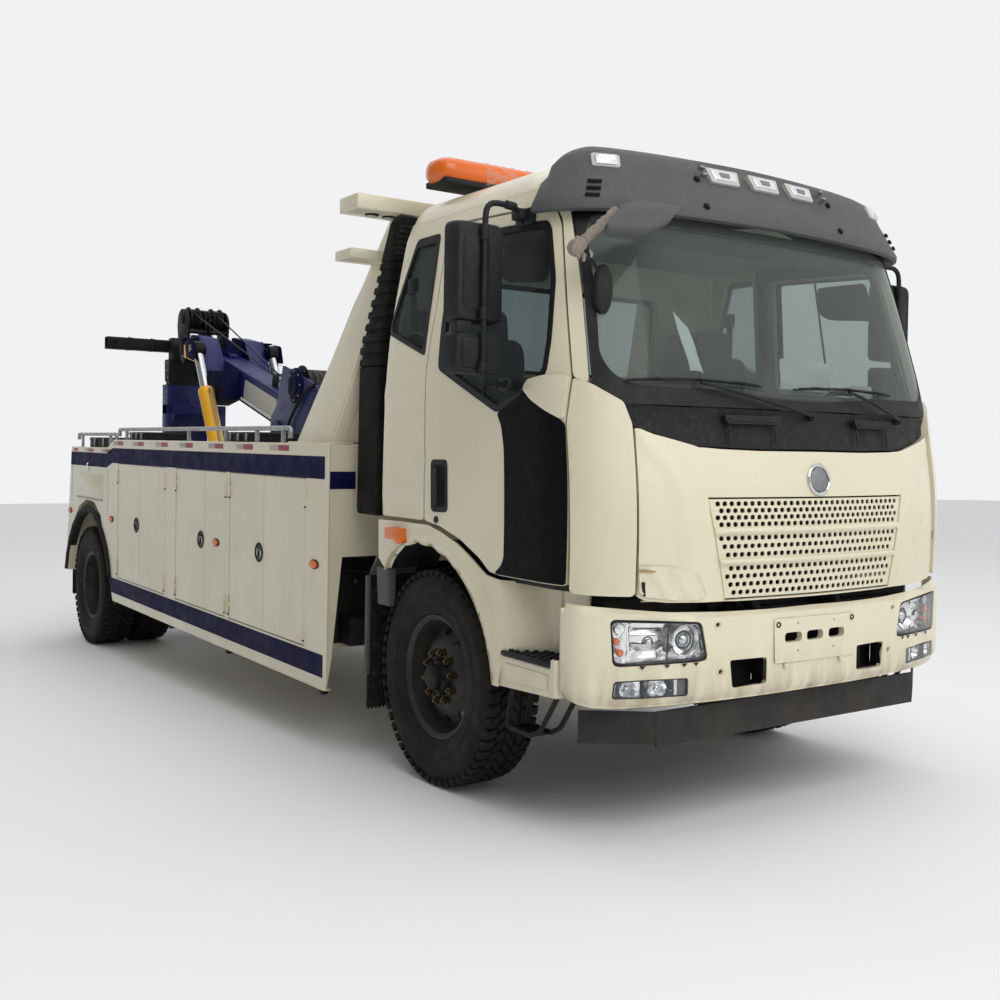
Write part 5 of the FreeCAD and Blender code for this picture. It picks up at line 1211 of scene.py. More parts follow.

# ------------------------------------------------------------------ lamps
la = Piece("front_lamps", "chassis", "lamp_glass")
for sg in (1, -1):
    hd = mx(rounded(HEAD, .012, 3), sg)
    fg = mx(rounded(FOG, .012, 3), sg)
    ch, cf = np.mean(mx(HEAD, sg), axis=0), np.mean(mx(FOG, sg), axis=0)
    ch = np.array([sg * .822, .845])
    cf = np.array([sg * .856, .657])
    for poly, c_ in ((hd, ch), (fg, cf)):
        inn = [tuple(c_ + (np.array(p) - c_) * np.array([.955, .86])) for p in poly]
        inn2 = [tuple(c_ + (np.array(p) - c_) * np.array([.965, .90])) for p in poly]
        out2 = [tuple(c_ + (np.array(p) - c_) * np.array([.996, .990])) for p in poly]
        bent(la, out2, Bs, BN, .03, "seal_rubber", holes=[inn], step=.05, grid=9, lift=-.006)
        bent(la, inn2, Bs, BN, .003, "lamp_glass", step=.05, lift=-.004)
        bent(la, out2, Bs, BN, .004, "reflector", step=.035, grid=.03, lift=-.075, disp=lambda s, z: .006 * np.sin(s * 60) * np.sin(z * 55))
        # side walls of the lamp pans
        for a, b in zip(inn, inn[1:] + inn[:1]):
            la.add([bp(a[0], a[1], -.012), bp(b[0], b[1], -.012), bp(b[0], b[1], -.075), bp(a[0], a[1], -.075)], [(0, 1, 2, 3), (3, 2, 1, 0)], "reflector")
    # dipped beam: large square pan with stepped surfaces; main beam: round bowl with its bulb shield
    n1 = Vector(BN(np.array([sg * .70]), np.array([.845]))[0])
    n2 = Vector(BN(np.array([sg * .86]), np.array([.845]))[0])
    fwd = Vector((1, 0, 0))
    la.lathe([(.010, -.055), (.030, -.050), (.048, -.032), (.060, -.008), (.064, -.004), (.066, -.010)], bp(sg * .700, .842, -.010), n1, "reflector", 36, closed=False)
    la.lathe([(0, .0), (.012, -.002), (.022, -.010), (.026, -.022), (.0, -.024)], bp(sg * .700, .842, -.018), n1, "chrome", 28, closed=False)
    la.lathe([(.030, -.014), (.034, -.010), (.038, -.014), (.036, -.02)], bp(sg * .700, .842, -.014), n1, "black_steel", 28)
    for k in range(5):
        z0 = .775 + k * .030
        bent(la, mx([(.785, z0), (.935, z0 + .004), (.935, z0 + .030), (.785, z0 + .026)], sg), Bs, BN, .004, "reflector", step=.03, grid=.02, lift=-.052 + .012 * math.sin(k * 1.9),
             disp=lambda s, z, k=k: .012 * np.cos((np.abs(s) - .86) * 22) - .010 * np.sin((z - .775) * 60))
    la.lathe([(0, 0), (.012, -.004), (.016, -.012), (.017, -.03)], bp(sg * .860, .838, -.026), n2, "chrome", 20, closed=False)
    la.lathe([(.018, -.014), (.022, -.010), (.026, -.016)], bp(sg * .860, .838, -.026), n2, "black_steel", 20)
    # direction lamp at the outer end, with amber bulbs
    bent(la, mx([(.948, .765), (.958, .925), (.966, .925), (.956, .765)], sg), Bs, BN, .004, "reflector", step=.05, lift=-.020)
    bent(la, mx([(.775, .765), (.765, .915), (.771, .915), (.781, .765)], sg), Bs, BN, .004, "black_steel", step=.05, lift=-.026)
    for (s_, z_) in ((.985, .800), (1.002, .845)):
        la.lathe([(0, .0), (.010, -.002), (.016, -.012), (.014, -.025), (0, -.026)], bp(sg * s_, z_, -.022), BN(np.array([sg * s_]), np.array([z_]))[0], "amber", 18, closed=False)
    la.lathe([(0, 0), (.02, -.004), (.026, -.015), (.0, -.02)], bp(sg * .990, .895, -.022), BN(np.array([sg * .99]), np.array([.895]))[0], "reflector", 20, closed=False)
    # fog lamp: two chambers and a dark inner end
    bent(la, mx([(.700, .628), (.745, .628), (.745, .688), (.700, .688)], sg), Bs, BN, .004, "visor_plastic", step=.05, lift=-.014)
    bent(la, mx([(.738, .628), (.752, .628), (.752, .688), (.738, .688)], sg), Bs, BN, .010, "chrome", step=.05, lift=-.010)
    bent(la, mx([(.892, .622), (.899, .622), (.899, .692), (.892, .692)], sg), Bs, BN, .02, "seal_rubber", step=.05, lift=-.006)
    for s_ in (.82, .955):
        la.lathe([(.006, -.05), (.022, -.042), (.034, -.02), (.036, -.014)], bp(sg * s_, .657, -.004), BN(np.array([sg * s_]), np.array([.657]))[0], "reflector", 26, closed=False)
        la.lathe([(0, -.02), (.007, -.024), (.008, -.045)], bp(sg * s_, .657, -.004), BN(np.array([sg * s_]), np.array([.657]))[0], "chrome", 14, closed=False)
    # small tabs under the headlamp
    for s_ in (.655, .71, .79, .90):
        bent(la, mx([(s_ - .013, .752), (s_ + .013, .752), (s_, .738)][::-1], sg), Bs, BN, .002, "seal_rubber", step=.02, grid=9, lift=.0015)
# rear light clusters and markers on the chassis tail
for sg in (1, -1):
    ys = sorted((sg * .70, sg * 1.18))
    la.box(-6.516, -6.486, ys[0], ys[1], .473, .557, "black_plastic", .006)
    for k, (m_, w_) in enumerate((("tape_red", .14), ("amber", .14), ("lamp_glass", .12))):
        y0 = sg * (.715 + k * .155)
        la.box(-6.5195, -6.512, *sorted((y0, y0 + sg * w_)), .482, .548, m_, .004)
la.done(replaces=["lamps"], smooth=40)

# ------------------------------------------------------------------ front wings with the step
ARCH = [(-.418, .984), (-.350, 1.059), (-.246, 1.119), (-.104, 1.144), (.041, 1.138), (.180, 1.096), (.300, 1.030), (.399, .948), (.464, .872), (.513, .796), (.561, .680), (.580, .592)]
WING = [(-.492, 1.037), (-.498, 1.229), (-.25, 1.2325), (.003, 1.232), (.123, 1.208), (.245, 1.170), (.360, 1.119), (.458, 1.069), (.505, 1.048), (.627, 1.036), (1.043, 1.032), (1.043, .745), (.655, .745), (.640, .592)] + ARCH[::-1]
def wy(x, z):
    """Stand-off of the wing skin from the middle plane."""
    x, z = np.asarray(x, float), np.asarray(z, float)
    xl = np.interp(z, [.745, .85, 1.0, 1.06], [.668, .650, .600, .575])
    t_ = np.clip((x - xl) / .16, 0, 1)
    y = 1.152 - .148 * (t_ * t_ * (3 - 2 * t_)) * (z > .744)
    d = np.full(x.shape, 9.0)
    A = np.array(catmull(ARCH, 4))
    for a, b in zip(A[:-1], A[1:]):
        e = b - a
        q_ = np.clip(((x - a[0]) * e[0] + (z - a[1]) * e[1]) / float(e @ e), 0, 1)
        d = np.minimum(d, np.hypot(x - a[0] - q_ * e[0], z - a[1] - q_ * e[1]))
    lip = np.clip((.092 - d) / .028, 0, 1) * np.clip((x + .30) / .10, 0, 1)
    y += .020 * lip * lip * (3 - 2 * lip)
    y -= .020 * np.clip((.014 - d) / .014, 0, 1) ** 2
    return y
wg = Piece("front_wings", "chassis", "cab_paint")
for sg in (1, -1):
    surf = lambda x, z: np.stack([x, sg * wy(x, z), z], -1)
    def norm_(x, z):
        e = .006
        a = surf(x + e, z) - surf(x - e, z)
        b = surf(x, z + e) - surf(x, z - e)
        n = np.cross(a, b)
        n /= np.linalg.norm(n, axis=1)[:, None] + 1e-12
        n[n[:, 1] * sg < 0] *= -1
        return n
    bent(wg, WING, surf, norm_, .010, "cab_paint", step=.03, grid=.028)
    A = catmull(ARCH, 5)
    # returned edge and dark liner inside the arch
    for ya, yb, m_, off in ((1.163, 1.128, "cab_paint", 0.0), (1.128, .862, "black_plastic", .004)):
        vv, ff = [], []
        for k, (x, z) in enumerate(A):
            vv += [(x, sg * ya, z + off), (x, sg * yb, z + off)]
        for k in range(len(A) - 1):
            ff += [(2 * k, 2 * k + 1, 2 * k + 3, 2 * k + 2), (2 * k + 2, 2 * k + 3, 2 * k + 1, 2 * k)]
        wg.add(vv, ff, m_)
    # box under the tread, with its pressed panel and end post
    ys = sorted((sg * 1.045, sg * 1.160))
    wg.prism("Y", [(.580, .590), (1.043, .611), (1.043, .765), (1.032, .765), (1.026, .727), (.650, .727), (.600, .745), (.596, .70)], ys[0], ys[1], "cab_paint", .008)
    ys = sorted((sg * 1.158, sg * 1.166))
    wg.prism("Y", [(.680, .622), (.985, .636), (.985, .700), (.680, .700)], ys[0], ys[1], "cab_paint", .005)
    wg.prism("Y", [(1.005, .616), (1.040, .618), (1.040, .765), (1.012, .765)], *sorted((sg * 1.150, sg * 1.168)), "cab_paint", .004)
    # floor of the step recess and its inner wall bead
    wg.box(.66, 1.04, *sorted((sg * 1.0, sg * 1.10)), .715, .730, "cab_paint", .004)
    wg.tube([(.86, sg * 1.006, .76), (.862, sg * 1.010, .90), (.866, sg * 1.004, 1.03)], .008, "cab_paint", 8)
    # tread: black tray with raised cups
    wg.box(.648, 1.026, *sorted((sg * 1.012, sg * 1.166)), .728, .748, "black_plastic", .006)
    for i_ in range(9):
        for j_ in range(4):
            x, y = .672 + i_ * .0405 + (.02 if j_ % 2 else 0), 1.030 + j_ * .036
            if x > 1.01:
                continue
            wg.lathe([(.005, 0), (.012, .0), (.0125, .007), (.009, .0105), (.005, .006)], (x, sg * y, .747), "Z", "grey_plastic" if False else "black_plastic", 10)
    # side marker
    wg.box(-.352, -.176, *sorted((sg * 1.150, sg * 1.166)), 1.134, 1.200, "black_plastic", .008) if False else None
    wg.prism("Y", rounded([(-.350, 1.146), (-.350, 1.200), (-.178, 1.204), (-.178, 1.136), (-.23, 1.126), (-.27, 1.146)], .008, 3), *sorted((sg * 1.150, sg * 1.196)), "amber", .004)
    # grey rear end strut
    wg.prism("X", [(sg * 1.10, .80), (sg * 1.14, .80), (sg * 1.15, .99), (sg * 1.10, .99)], -.52, -.40, "visor_plastic", .006)
    # lower loop step
    for yy in (1.03, 1.13):
        wg.tube([(.700, sg * yy, .612), (.660, sg * yy, .430), (.830, sg * yy, .418), (.900, sg * yy, .452), (1.020, sg * yy, .620)], .011, "black_steel", 8, round_r=.02)
    wg.box(.672, .832, *sorted((sg * 1.024, sg * 1.136)), .412, .426, "black_steel", .003)
    for i_ in range(7):
        wg.box(.684 + i_ * .022, .690 + i_ * .022, *sorted((sg * 1.03, sg * 1.13)), .425, .433, "black_steel", .001)
wg.done(replaces=["front_fenders"], smooth=38)

# ------------------------------------------------------------------ spray flaps
mf = Piece("spray_flaps", "chassis", "rubber")
for sg in (1, -1):
    for (x0, x1, y0, y1, z0, z1, n) in ((-.650, -.641, .852, 1.128, .237, .93, 13), (-6.454, -6.446, .642, 1.198, .172, .44, 20)):
        pts = [(y0, z1), (y1, z1)]
        st = (y1 - y0) / n
        for k in range(n):
            pts += [(y1 - st * k, z0 + .018), (y1 - st * (k + .5), z0)]
        pts += [(y0, z0 + .018)]
        mf.prism("X", [(sg * a, b) for a, b in pts], x0, x1, "rubber")
        for k in range(5):
            zz = z0 + .08 + k * (z1 - z0 - .12) / 5
            mf.box(x0 - .003, x1 + .003, *sorted((sg * (y0 + .02), sg * (y1 - .02))), zz, zz + .008, "rubber", .002)
    # grey mudguard edge behind the wheel
    mf.prism("Y", [(-.652, .93), (-.640, .93), (-.52, 1.06), (-.48, 1.06), (-.48, 1.09), (-.53, 1.09)], *sorted((sg * .86, sg * 1.125)), "visor_plastic", .004)
    mf.box(-.66, -.632, *sorted((sg * 1.118, sg * 1.140)), .42, .93, "visor_plastic", .005)
mf.done(replaces=["mud_flaps"], smooth=35)

# ------------------------------------------------------------------ wheels
def tyre_geo(p, cx, cy, sg, seed):
    """Carcass with ribbed side walls plus separate tread blocks."""
    half = .139
    prof = [(.278, -.094), (.294, -.094), (.296, -.112), (.304, -.117), (.322, -.124), (.338, -.1305), (.352, -.1345), (.356, -.1375), (.372, -.1385), (.376, -.1365), (.400, -.139), (.420, -.1375), (.424, -.1388), (.440, -.1355), (.446, -.1330),
            (.462, -.1300), (.476, -.1240), (.490, -.1150), (.497, -.098), (.4985, -.06), (.4990, 0)]
    full_ = prof + [(r, -h) for r, h in prof[::-1][1:]]
    p.lathe(full_, (cx, cy, .512), "Y", "tyre", 96, closed=True)
    r_ = random.Random(seed)
    n = 54
    def block(a0, a1, y0, y1, skew, ch, top=.5118, base=.494, yb0=None, yb1=None):
        vs_ = []
        for (rr, ins) in ((base, 0.0), (top - .004, .0), (top, ch)):
            for (aa, yy) in ((a0, y0), (a1, y0), (a1, y1), (a0, y1)):
                am, ym = (a0 + a1) / 2, (y0 + y1) / 2
                a_ = aa + (am - aa) * ins * 6 + skew * (yy - ym)
                y_ = yy + (ym - yy) * ins * 6
                rad = rr - (.010 * max(0, abs(y_) - .10) / .03 if rr > base else 0)
                vs_.append((cx + rad * math.sin(a_), cy + y_, .512 + rad * math.cos(a_)))
        f_ = []
        for l in (0, 4):
            for i_ in range(4):
                j_ = (i_ + 1) % 4
                f_.append((l + i_, l + j_, l + 4 + j_, l + 4 + i_))
        f_.append((8, 9, 10, 11))
        q_ = []
        for g in f_:
            A_, B_, C_ = (Vector(vs_[g[0]]), Vector(vs_[g[1]]), Vector(vs_[g[2]]))
            nn_ = (B_ - A_).cross(C_ - A_)
            cen = sum((Vector(v) for v in vs_), Vector()) / 12
            q_.append(g if nn_.dot(sum((Vector(vs_[k]) for k in g), Vector()) / 4 - cen) > 0 else g[::-1])
        p.add(vs_, q_, "tyre")
    st = 2 * math.pi / n
    for k in range(n):
        a = k * st
        for side_ in (1, -1):
            o_ = st * .5 if side_ < 0 else 0
            block(a + o_, a + o_ + st * .62, *sorted((side_ * .078, side_ * .127)), side_ * .9, .03)
            block(a + o_ + st * .18, a + o_ + st * .86, *sorted((side_ * .034, side_ * .071)), side_ * 1.6, .03)
            # shoulder lug running down the side wall
            vs_ = []
            for (rr, yy, w0) in ((.506, .127, .0), (.498, .1345, .0), (.482, .1395 - .001, .10), (.476, .126, .10), (.492, .112, 0), (.502, .105, 0)):
                vs_ += [(cx + rr * math.sin(a + o_ + st * w0 * .5), cy + side_ * yy, .512 + rr * math.cos(a + o_ + st * w0 * .5)),
                        (cx + rr * math.sin(a + o_ + st * (.62 - w0 * .5)), cy + side_ * yy, .512 + rr * math.cos(a + o_ + st * (.62 - w0 * .5)))]
            f_ = [(2 * i_, 2 * i_ + 1, (2 * i_ + 3) % 12, (2 * i_ + 2) % 12) for i_ in range(6)] + [(0, 2, 4, 6, 8, 10), (1, 11, 9, 7, 5, 3)]
            p.add(vs_, [g if side_ * 1 > 0 else g[::-1] for g in f_], "tyre")
        block(a + st * .1, a + st * .88, -.027, .027, 2.2, .03)
def disc_plate(p, cx, cy, sg, yd, dish, nh, hole, mat="rim_steel", r_out=.272, r_in=.085):
    """Wheel disc with hand holes; dish(r) is the axial height over the radius."""
    ring_o = [(r_out * math.cos(a), r_out * math.sin(a)) for a in np.linspace(0, 2 * math.pi, 64, endpoint=False)]
    holes_ = []
    for k in range(nh):
        a0 = 2 * math.pi * (k + .5) / nh
        c0 = (hole[0] * math.cos(a0), hole[0] * math.sin(a0))
        hh = []
        for t_ in np.linspace(0, 2 * math.pi, 14, endpoint=False):
            u, v = hole[1] * math.cos(t_), hole[2] * math.sin(t_)
            hh.append((c0[0] + u * math.cos(a0) - v * math.sin(a0), c0[1] + u * math.sin(a0) + v * math.cos(a0)))
        holes_.append(hh)
    holes_.append([(r_in * math.cos(a), r_in * math.sin(a)) for a in np.linspace(0, 2 * math.pi, 32, endpoint=False)])
    V2_, F_ = fill(ring_o, holes_, .02, .02)
    R_ = np.hypot(V2_[:, 0], V2_[:, 1])
    h0 = np.interp(R_, [q_[0] for q_ in dish], [q_[1] for q_ in dish])
    n_ = len(V2_)
    vo = [(cx + u, cy + sg * (yd + h), .512 + v) for (u, v), h in zip(V2_, h0)]
    vi = [(cx + u, cy + sg * (yd + h - .012), .512 + v) for (u, v), h in zip(V2_, h0)]
    fo, cnt = [], {}
    for f in F_:
        A_, B_, C_ = Vector(vo[f[0]]), Vector(vo[f[1]]), Vector(vo[f[2]])
        g = list(f) if (B_ - A_).cross(C_ - A_).y * sg > 0 else list(f)[::-1]
        fo.append(g)
        for i_ in range(len(g)):
            cnt[(g[i_], g[(i_ + 1) % len(g)])] = 1
    rim_ = [(b, a, a + n_, b + n_) for (a, b) in cnt if (b, a) not in cnt]
    p.add(vo + vi, fo + [[i_ + n_ for i_ in g[::-1]] for g in fo] + rim_, mat)
def rim_geo(p, cx, cy, sg, flip_, yd, dish, nh, hole, r_in=.085):
    prof = [(.292, .111), (.294, .106), (.288, .1005), (.277, .099), (.274, .090), (.272, .060), (.262, .030), (.260, -.050), (.272, -.075), (.275, -.099), (.288, -.1005), (.294, -.106), (.292, -.111), (.280, -.108), (.268, -.100),
            (.264, -.078), (.252, -.050), (.252, .030), (.263, .062), (.266, .095), (.280, .108)]
    p.lathe([(r, h * sg) for r, h in prof] if sg > 0 else [(r, h * sg) for r, h in prof][::-1], (cx, cy, .512), "Y", "rim_steel", 72)
    disc_plate(p, cx, cy, sg * flip_, yd, dish, nh, hole, r_in=r_in)
def nuts(p, cx, cy, sg, yd, r_, n, mat="brass"):
    for k in range(n):
        a = 2 * math.pi * (k + .25) / n
        c = Vector((cx + r_ * math.cos(a), cy + sg * yd, .512 + r_ * math.sin(a)))
        p.cyl(c, c + Vector((0, sg * .006, 0)), .022, mat, 16)
        p.cyl(c, c + Vector((0, sg * .026, 0)), .0175, mat, 6)
        p.cyl(c, c + Vector((0, sg * .038, 0)), .0095, mat, 10)
for side, sg in (("left", 1), ("right", -1)):
    p = Piece("tyre_front_" + side, "front_wheel_" + side, "tyre", level=True)
    tyre_geo(p, 0, sg * .975, sg, 3)
    p.done(replaces=["front_tyre_" + side], smooth=30)
    p = Piece("wheel_front_" + side, "front_wheel_" + side, "rim_steel", level=True)
    rim_geo(p, 0, sg * .975, sg, 1, .0, [(0, .080), (.140, .080), (.152, .078), (.205, .044), (.235, .022), (.250, .016), (.272, .016)], 10, (.208, .017, .026))
    nuts(p, 0, sg * .975, sg, .080, .116, 10)
    hub = [(0, .148), (.030, .148), (.050, .145), (.058, .138), (.062, .116), (.078, .108), (.090, .082), (.094, .070), (.094, .030), (.0, .030)]
    p.lathe([(r, sg * h) for r, h in (hub if sg > 0 else hub)], (0, sg * .975, .512), "Y", "black_steel", 40, closed=False)
    for k in range(6):
        a = 2 * math.pi * k / 6
        p.bolt((.070 * math.cos(a), sg * (.975 + .112), .512 + .070 * math.sin(a)), (0, sg, 0), "black_steel", .007, .008)
    p.cyl((.262 * math.cos(.8), sg * (.975 + .095), .512 + .262 * math.sin(.8)), (.240 * math.cos(.8), sg * (.975 + .125), .512 + .240 * math.sin(.8)), .0055, "black_steel", 8)
    p.done(replaces=["front_rim_" + side], smooth=35)
    p = Piece("tyre_rear_" + side, "rear_wheels_" + side, "tyre", level=True)
    tyre_geo(p, -5.8, sg * 1.080, sg, 5)
    tyre_geo(p, -5.8, sg * .752, sg, 9)
    p.done(replaces=["rear_tyres_" + side], smooth=30)
    p = Piece("wheel_rear_" + side, "rear_wheels_" + side, "rim_steel", level=True)
    rim_geo(p, -5.8, sg * 1.080, sg, 1, -.112, [(0, .045), (.14, .045), (.155, .043), (.205, .020), (.235, .006), (.272, .004)], 10, (.205, .018, .026))
    rim_geo(p, -5.8, sg * .752, sg, -1, -.112 + .0, [(0, .045), (.14, .045), (.155, .043), (.205, .020), (.235, .006), (.272, .004)], 10, (.205, .018, .026))
    nuts(p, -5.8, sg * 1.080, sg, -.067, .116, 10, "rim_steel")
    hub = [(0, .018), (.055, .018), (.075, .012), (.085, -.010), (.090, -.060), (.098, -.066), (.17, -.10), (.17, -.20), (.165, -.41), (.075, -.415)]
    p.lathe([(r, sg * h) for r, h in hub], (-5.8, sg * 1.080, .512), "Y", "rim_steel", 40, closed=False)
    for k in range(8):
        a = 2 * math.pi * k / 8
        p.bolt((-5.8 + .066 * math.cos(a), sg * (1.080 + .014), .512 + .066 * math.sin(a)), (0, sg, 0), "black_steel", .008, .010)
    p.done(replaces=["rear_rims_" + side], smooth=35)
# ------------------------------------------------------------------ tank, boxes, springs, engine
tk = Piece("tank", "chassis", "bare_metal")
tk.prism("X", rounded([(.430, .470), (.590, .470), (.590, .900), (.430, .900)], .045, 5), -2.05, -1.01, "bare_metal", .006)
for x in (-1.96, -1.53, -1.10):
    st = rounded([(.426, .466), (.594, .466), (.594, .904), (.426, .904)], .05, 5)
    st2 = rounded([(.431, .471), (.589, .471), (.589, .899), (.431, .899)], .045, 5)
    tk.ring([[(x - .022, a, b) for a, b in st2], [(x - .020, a, b) for a, b in st], [(x + .020, a, b) for a, b in st], [(x + .022, a, b) for a, b in st2]], "black_steel", caps=False)
    tk.bolt((x, .594, .50), (0, 1, 0), "black_steel", .011, .010)
tk.lathe([(0, .0), (.040, .0), (.044, .008), (.044, .024), (.036, .030), (0, .031)], (-1.25, .594, .82), (0, 1, .25), "black_plastic", 28, closed=False)
tk.done(replaces=["fuel_tank"], smooth=35)
bx = Piece("battery_and_air_boxes", "chassis", "black_plastic")
bx.prism("Z", rounded([(-.895, -.860), (-.790, -.860), (-.790, -.430), (-.895, -.430)], .018, 4), .56, .80, "black_plastic", .005)
bx.prism("Z", rounded([(-.895, -.860), (-.790, -.860), (-.790, -.430), (-.895, -.430)], .024, 4), .806, .895, "black_plastic", .010)
for k in range(6):
    bx.box(-.790, -.784, -.83 + k * .068, -.80 + k * .068, .60, .77, "black_plastic", .003)
for y in (-.80, -.49):
    bx.prism("Y", [(-.790, .78), (-.778, .78), (-.776, .86), (-.790, .87)], y - .015, y + .015, "seal_rubber", .003)
for r0, z in ((.088, .615), (.088, .800)):
    bx.lathe([(0, -2.0 + 2.0), (.055, .004), (r0, .030), (r0, .97), (.055, .996), (0, 1.0)], (-2.0, -.505, z), (1, 0, 0), "black_steel", 36, closed=False)
for x in (-1.80, -1.20):
    bx.box(x - .022, x + .022, -.595, -.430, .70, .716, "black_steel", .003)
    for z in (.615, .800):
        bx.lathe([(.0885, -.018), (.091, -.018), (.091, .018), (.0885, .018)], (x, -.505, z), (1, 0, 0), "chassis_black", 36)
bx.done(replaces=["battery_box"], smooth=35)

sp = Piece("spring_packs", "chassis", "chassis_black", level=False)
for sg in (1, -1):
    for xc, half, seat, thick, rise, n in ((0.0, .780, .484, .070, .095, 5), (-5.805, .790, .410, .120, .150, 9)):
        lo, hi = sorted((sg * .468 - .038, sg * .468 + .038))
        t = thick / n
        for k in range(n):
            f = 1 - (n - 1 - k) * (.66 / n)
            z0 = seat + k * t
            c = []
            for u in np.linspace(-1, 1, 15):
                w = max(0, (abs(u) * half * f - .12) / (half - .12))
                c.append((xc + u * half * f, z0 + rise * w ** 1.15))
            pts = c + [(x, z + t * .93) for x, z in reversed(c)]
            sp.prism("Y", pts, lo + .001 * (k % 2), hi - .001 * (k % 2), "chassis_black", .0015)
        for dx in (-.085, .085):
            zb, zt = seat - .030, seat + thick + .030
            sp.tube([(xc + dx, lo - .008, zb), (xc + dx, lo - .008, zt), (xc + dx, hi + .008, zt), (xc + dx, hi + .008, zb)], .008, "black_steel", 8, round_r=.015)
        sp.box(xc - .115, xc + .115, lo - .018, hi + .018, seat + thick, seat + thick + .016, "chassis_black", .004)
        for dx in (-.35, .35):
            zz = seat + rise * max(0, (.35 - .12) / (half - .12)) ** 1.15
            sp.box(xc + dx * half / .78 - .016, xc + dx * half / .78 + .016, lo - .005, hi + .005, zz - .006, zz + thick + .004, "black_steel", .003)
        for s_ in (-1, 1):
            ez = seat + rise + .012
            sp.cyl((xc + s_ * (half - .012), lo - .004, ez), (xc + s_ * (half - .012), hi + .004, ez), .030, "chassis_black", 20)
            sp.cyl((xc + s_ * (half - .012), lo - .012, ez), (xc + s_ * (half - .012), hi + .012, ez), .013, "black_steel", 12)
sp.done(replaces=["leaf_springs"], smooth=35)

en = Piece("engine", "chassis", "engine_metal")
en.prism("X", rounded([(-.20, .80), (.20, .80), (.20, 1.26), (-.20, 1.26)], .02, 3), -.54, .70, "engine_metal", .010)
en.prism("X", rounded([(-.17, .695), (.17, .695), (.21, .79), (-.21, .79)], .03, 4), -.48, .62, "black_steel", .010)
en.prism("X", rounded([(-.15, 1.255), (.15, 1.255), (.13, 1.328), (-.13, 1.328)], .03, 4), -.48, .62, "engine_metal", .008)
for k in range(6):
    x = -.40 + k * .19
    en.cyl((x, -.21, 1.14), (x, -.30, 1.10), .030, "engine_metal", 16)
    en.tube([(x, .20, 1.20), (x, .27, 1.20), (x, .28, 1.12)], .020, "engine_metal", 10, round_r=.03)
    en.box(x - .07, x + .07, -.155, .155, 1.318, 1.330, "engine_metal", .003)
en.cyl((-.46, -.295, 1.09), (.60, -.295, 1.09), .034, "engine_metal", 18)
en.cyl((-.46, .285, 1.11), (.60, .285, 1.11), .030, "black_steel", 18)
en.lathe([(0, 0), (.09, 0), (.10, .02), (.10, .07), (.05, .10), (.05, .13), (0, .13)], (.02, -.235, .93), (1, 0, 0), "engine_metal", 28, closed=False)
for y, z in ((.25, .86), (.25, 1.00)):
    en.lathe([(0, 0), (.045, 0), (.048, .01), (.048, .15), (.04, .17), (0, .17)], (-.2, y, z - .08), (0, 0, 1), "black_plastic", 22, closed=False)
en.lathe([(0, 0), (.15, 0), (.15, .02), (.14, .03), (.14, .05), (0, .05)], (.70, 0, .86), (1, 0, 0), "black_steel", 36, closed=False)
en.cyl((.75, 0, 1.12), (.78, 0, 1.12), .07, "engine_metal", 24)
for k in range(9):
    a = k * 2 * math.pi / 9
    u, v = math.cos(a), math.sin(a)
    en.add([(.778, .05 * u - .02 * v, 1.03 + .05 * v + .02 * u), (.778, .26 * u - .05 * v, 1.03 + .26 * v + .05 * u), (.812, .26 * u + .05 * v, 1.03 + .26 * v - .05 * u), (.812, .05 * u + .02 * v, 1.03 + .05 * v - .02 * u)], [(0, 1, 2, 3), (3, 2, 1, 0)], "black_plastic")
en.cyl((.780, 0, 1.03), (.815, 0, 1.03), .065, "black_plastic", 24)
en.lathe([(0, 0), (.205, 0), (.205, .05), (.19, .10), (.15, .20), (.145, .22), (.13, .50), (.12, .52), (.12, .78), (.06, .80), (.06, .84), (0, .84)], (-.56, 0, .79), (-1, 0, 0), "engine_metal", 40, closed=False)
for k in range(12):
    a = k * 2 * math.pi / 12
    en.bolt((-.552, .192 * math.cos(a), .79 + .192 * math.sin(a)), (-1, 0, 0), "black_steel", .009, .01)
en.box(-.98, -.80, -.10, .10, .90, .945, "engine_metal", .012)
en.done(replaces=["engine_and_gearbox"], smooth=38)

ax = Piece("axle_front", "chassis", "chassis_black", level=True)
AXP = [(-.770, .470), (-.700, .470), (-.560, .390), (.560, .390), (.700, .470), (.770, .470), (.770, .550), (.690, .550), (.540, .480), (-.540, .480), (-.690, .550), (-.770, .550)]
ax.prism("X", AXP, -.016, .016, "chassis_black", .004)
low_ = [(-.770, .470), (-.700, .470), (-.560, .390), (.560, .390), (.700, .470), (.770, .470), (.770, .490), (.694, .490), (.552, .411), (-.552, .411), (-.694, .490), (-.770, .490)]
top_ = [(-.770, .530), (-.698, .530), (-.548, .459), (.548, .459), (.698, .530), (.770, .530), (.770, .550), (.690, .550), (.540, .480), (-.540, .480), (-.690, .550), (-.770, .550)]
ax.prism("X", low_, -.045, .045, "chassis_black", .005)
ax.prism("X", top_, -.045, .045, "chassis_black", .005)
for sg in (1, -1):
    ax.box(-.075, .075, *sorted((sg * .415, sg * .520)), .455, .482, "chassis_black", .006)
ax.done(replaces=["front_axle"], smooth=35)

# ================================================================== service body
LOCK = [(-2.325, -1.180, -1.772), (-3.370, -2.395, -2.790), (-4.820, -3.620, -4.245)]
BH = 1.245


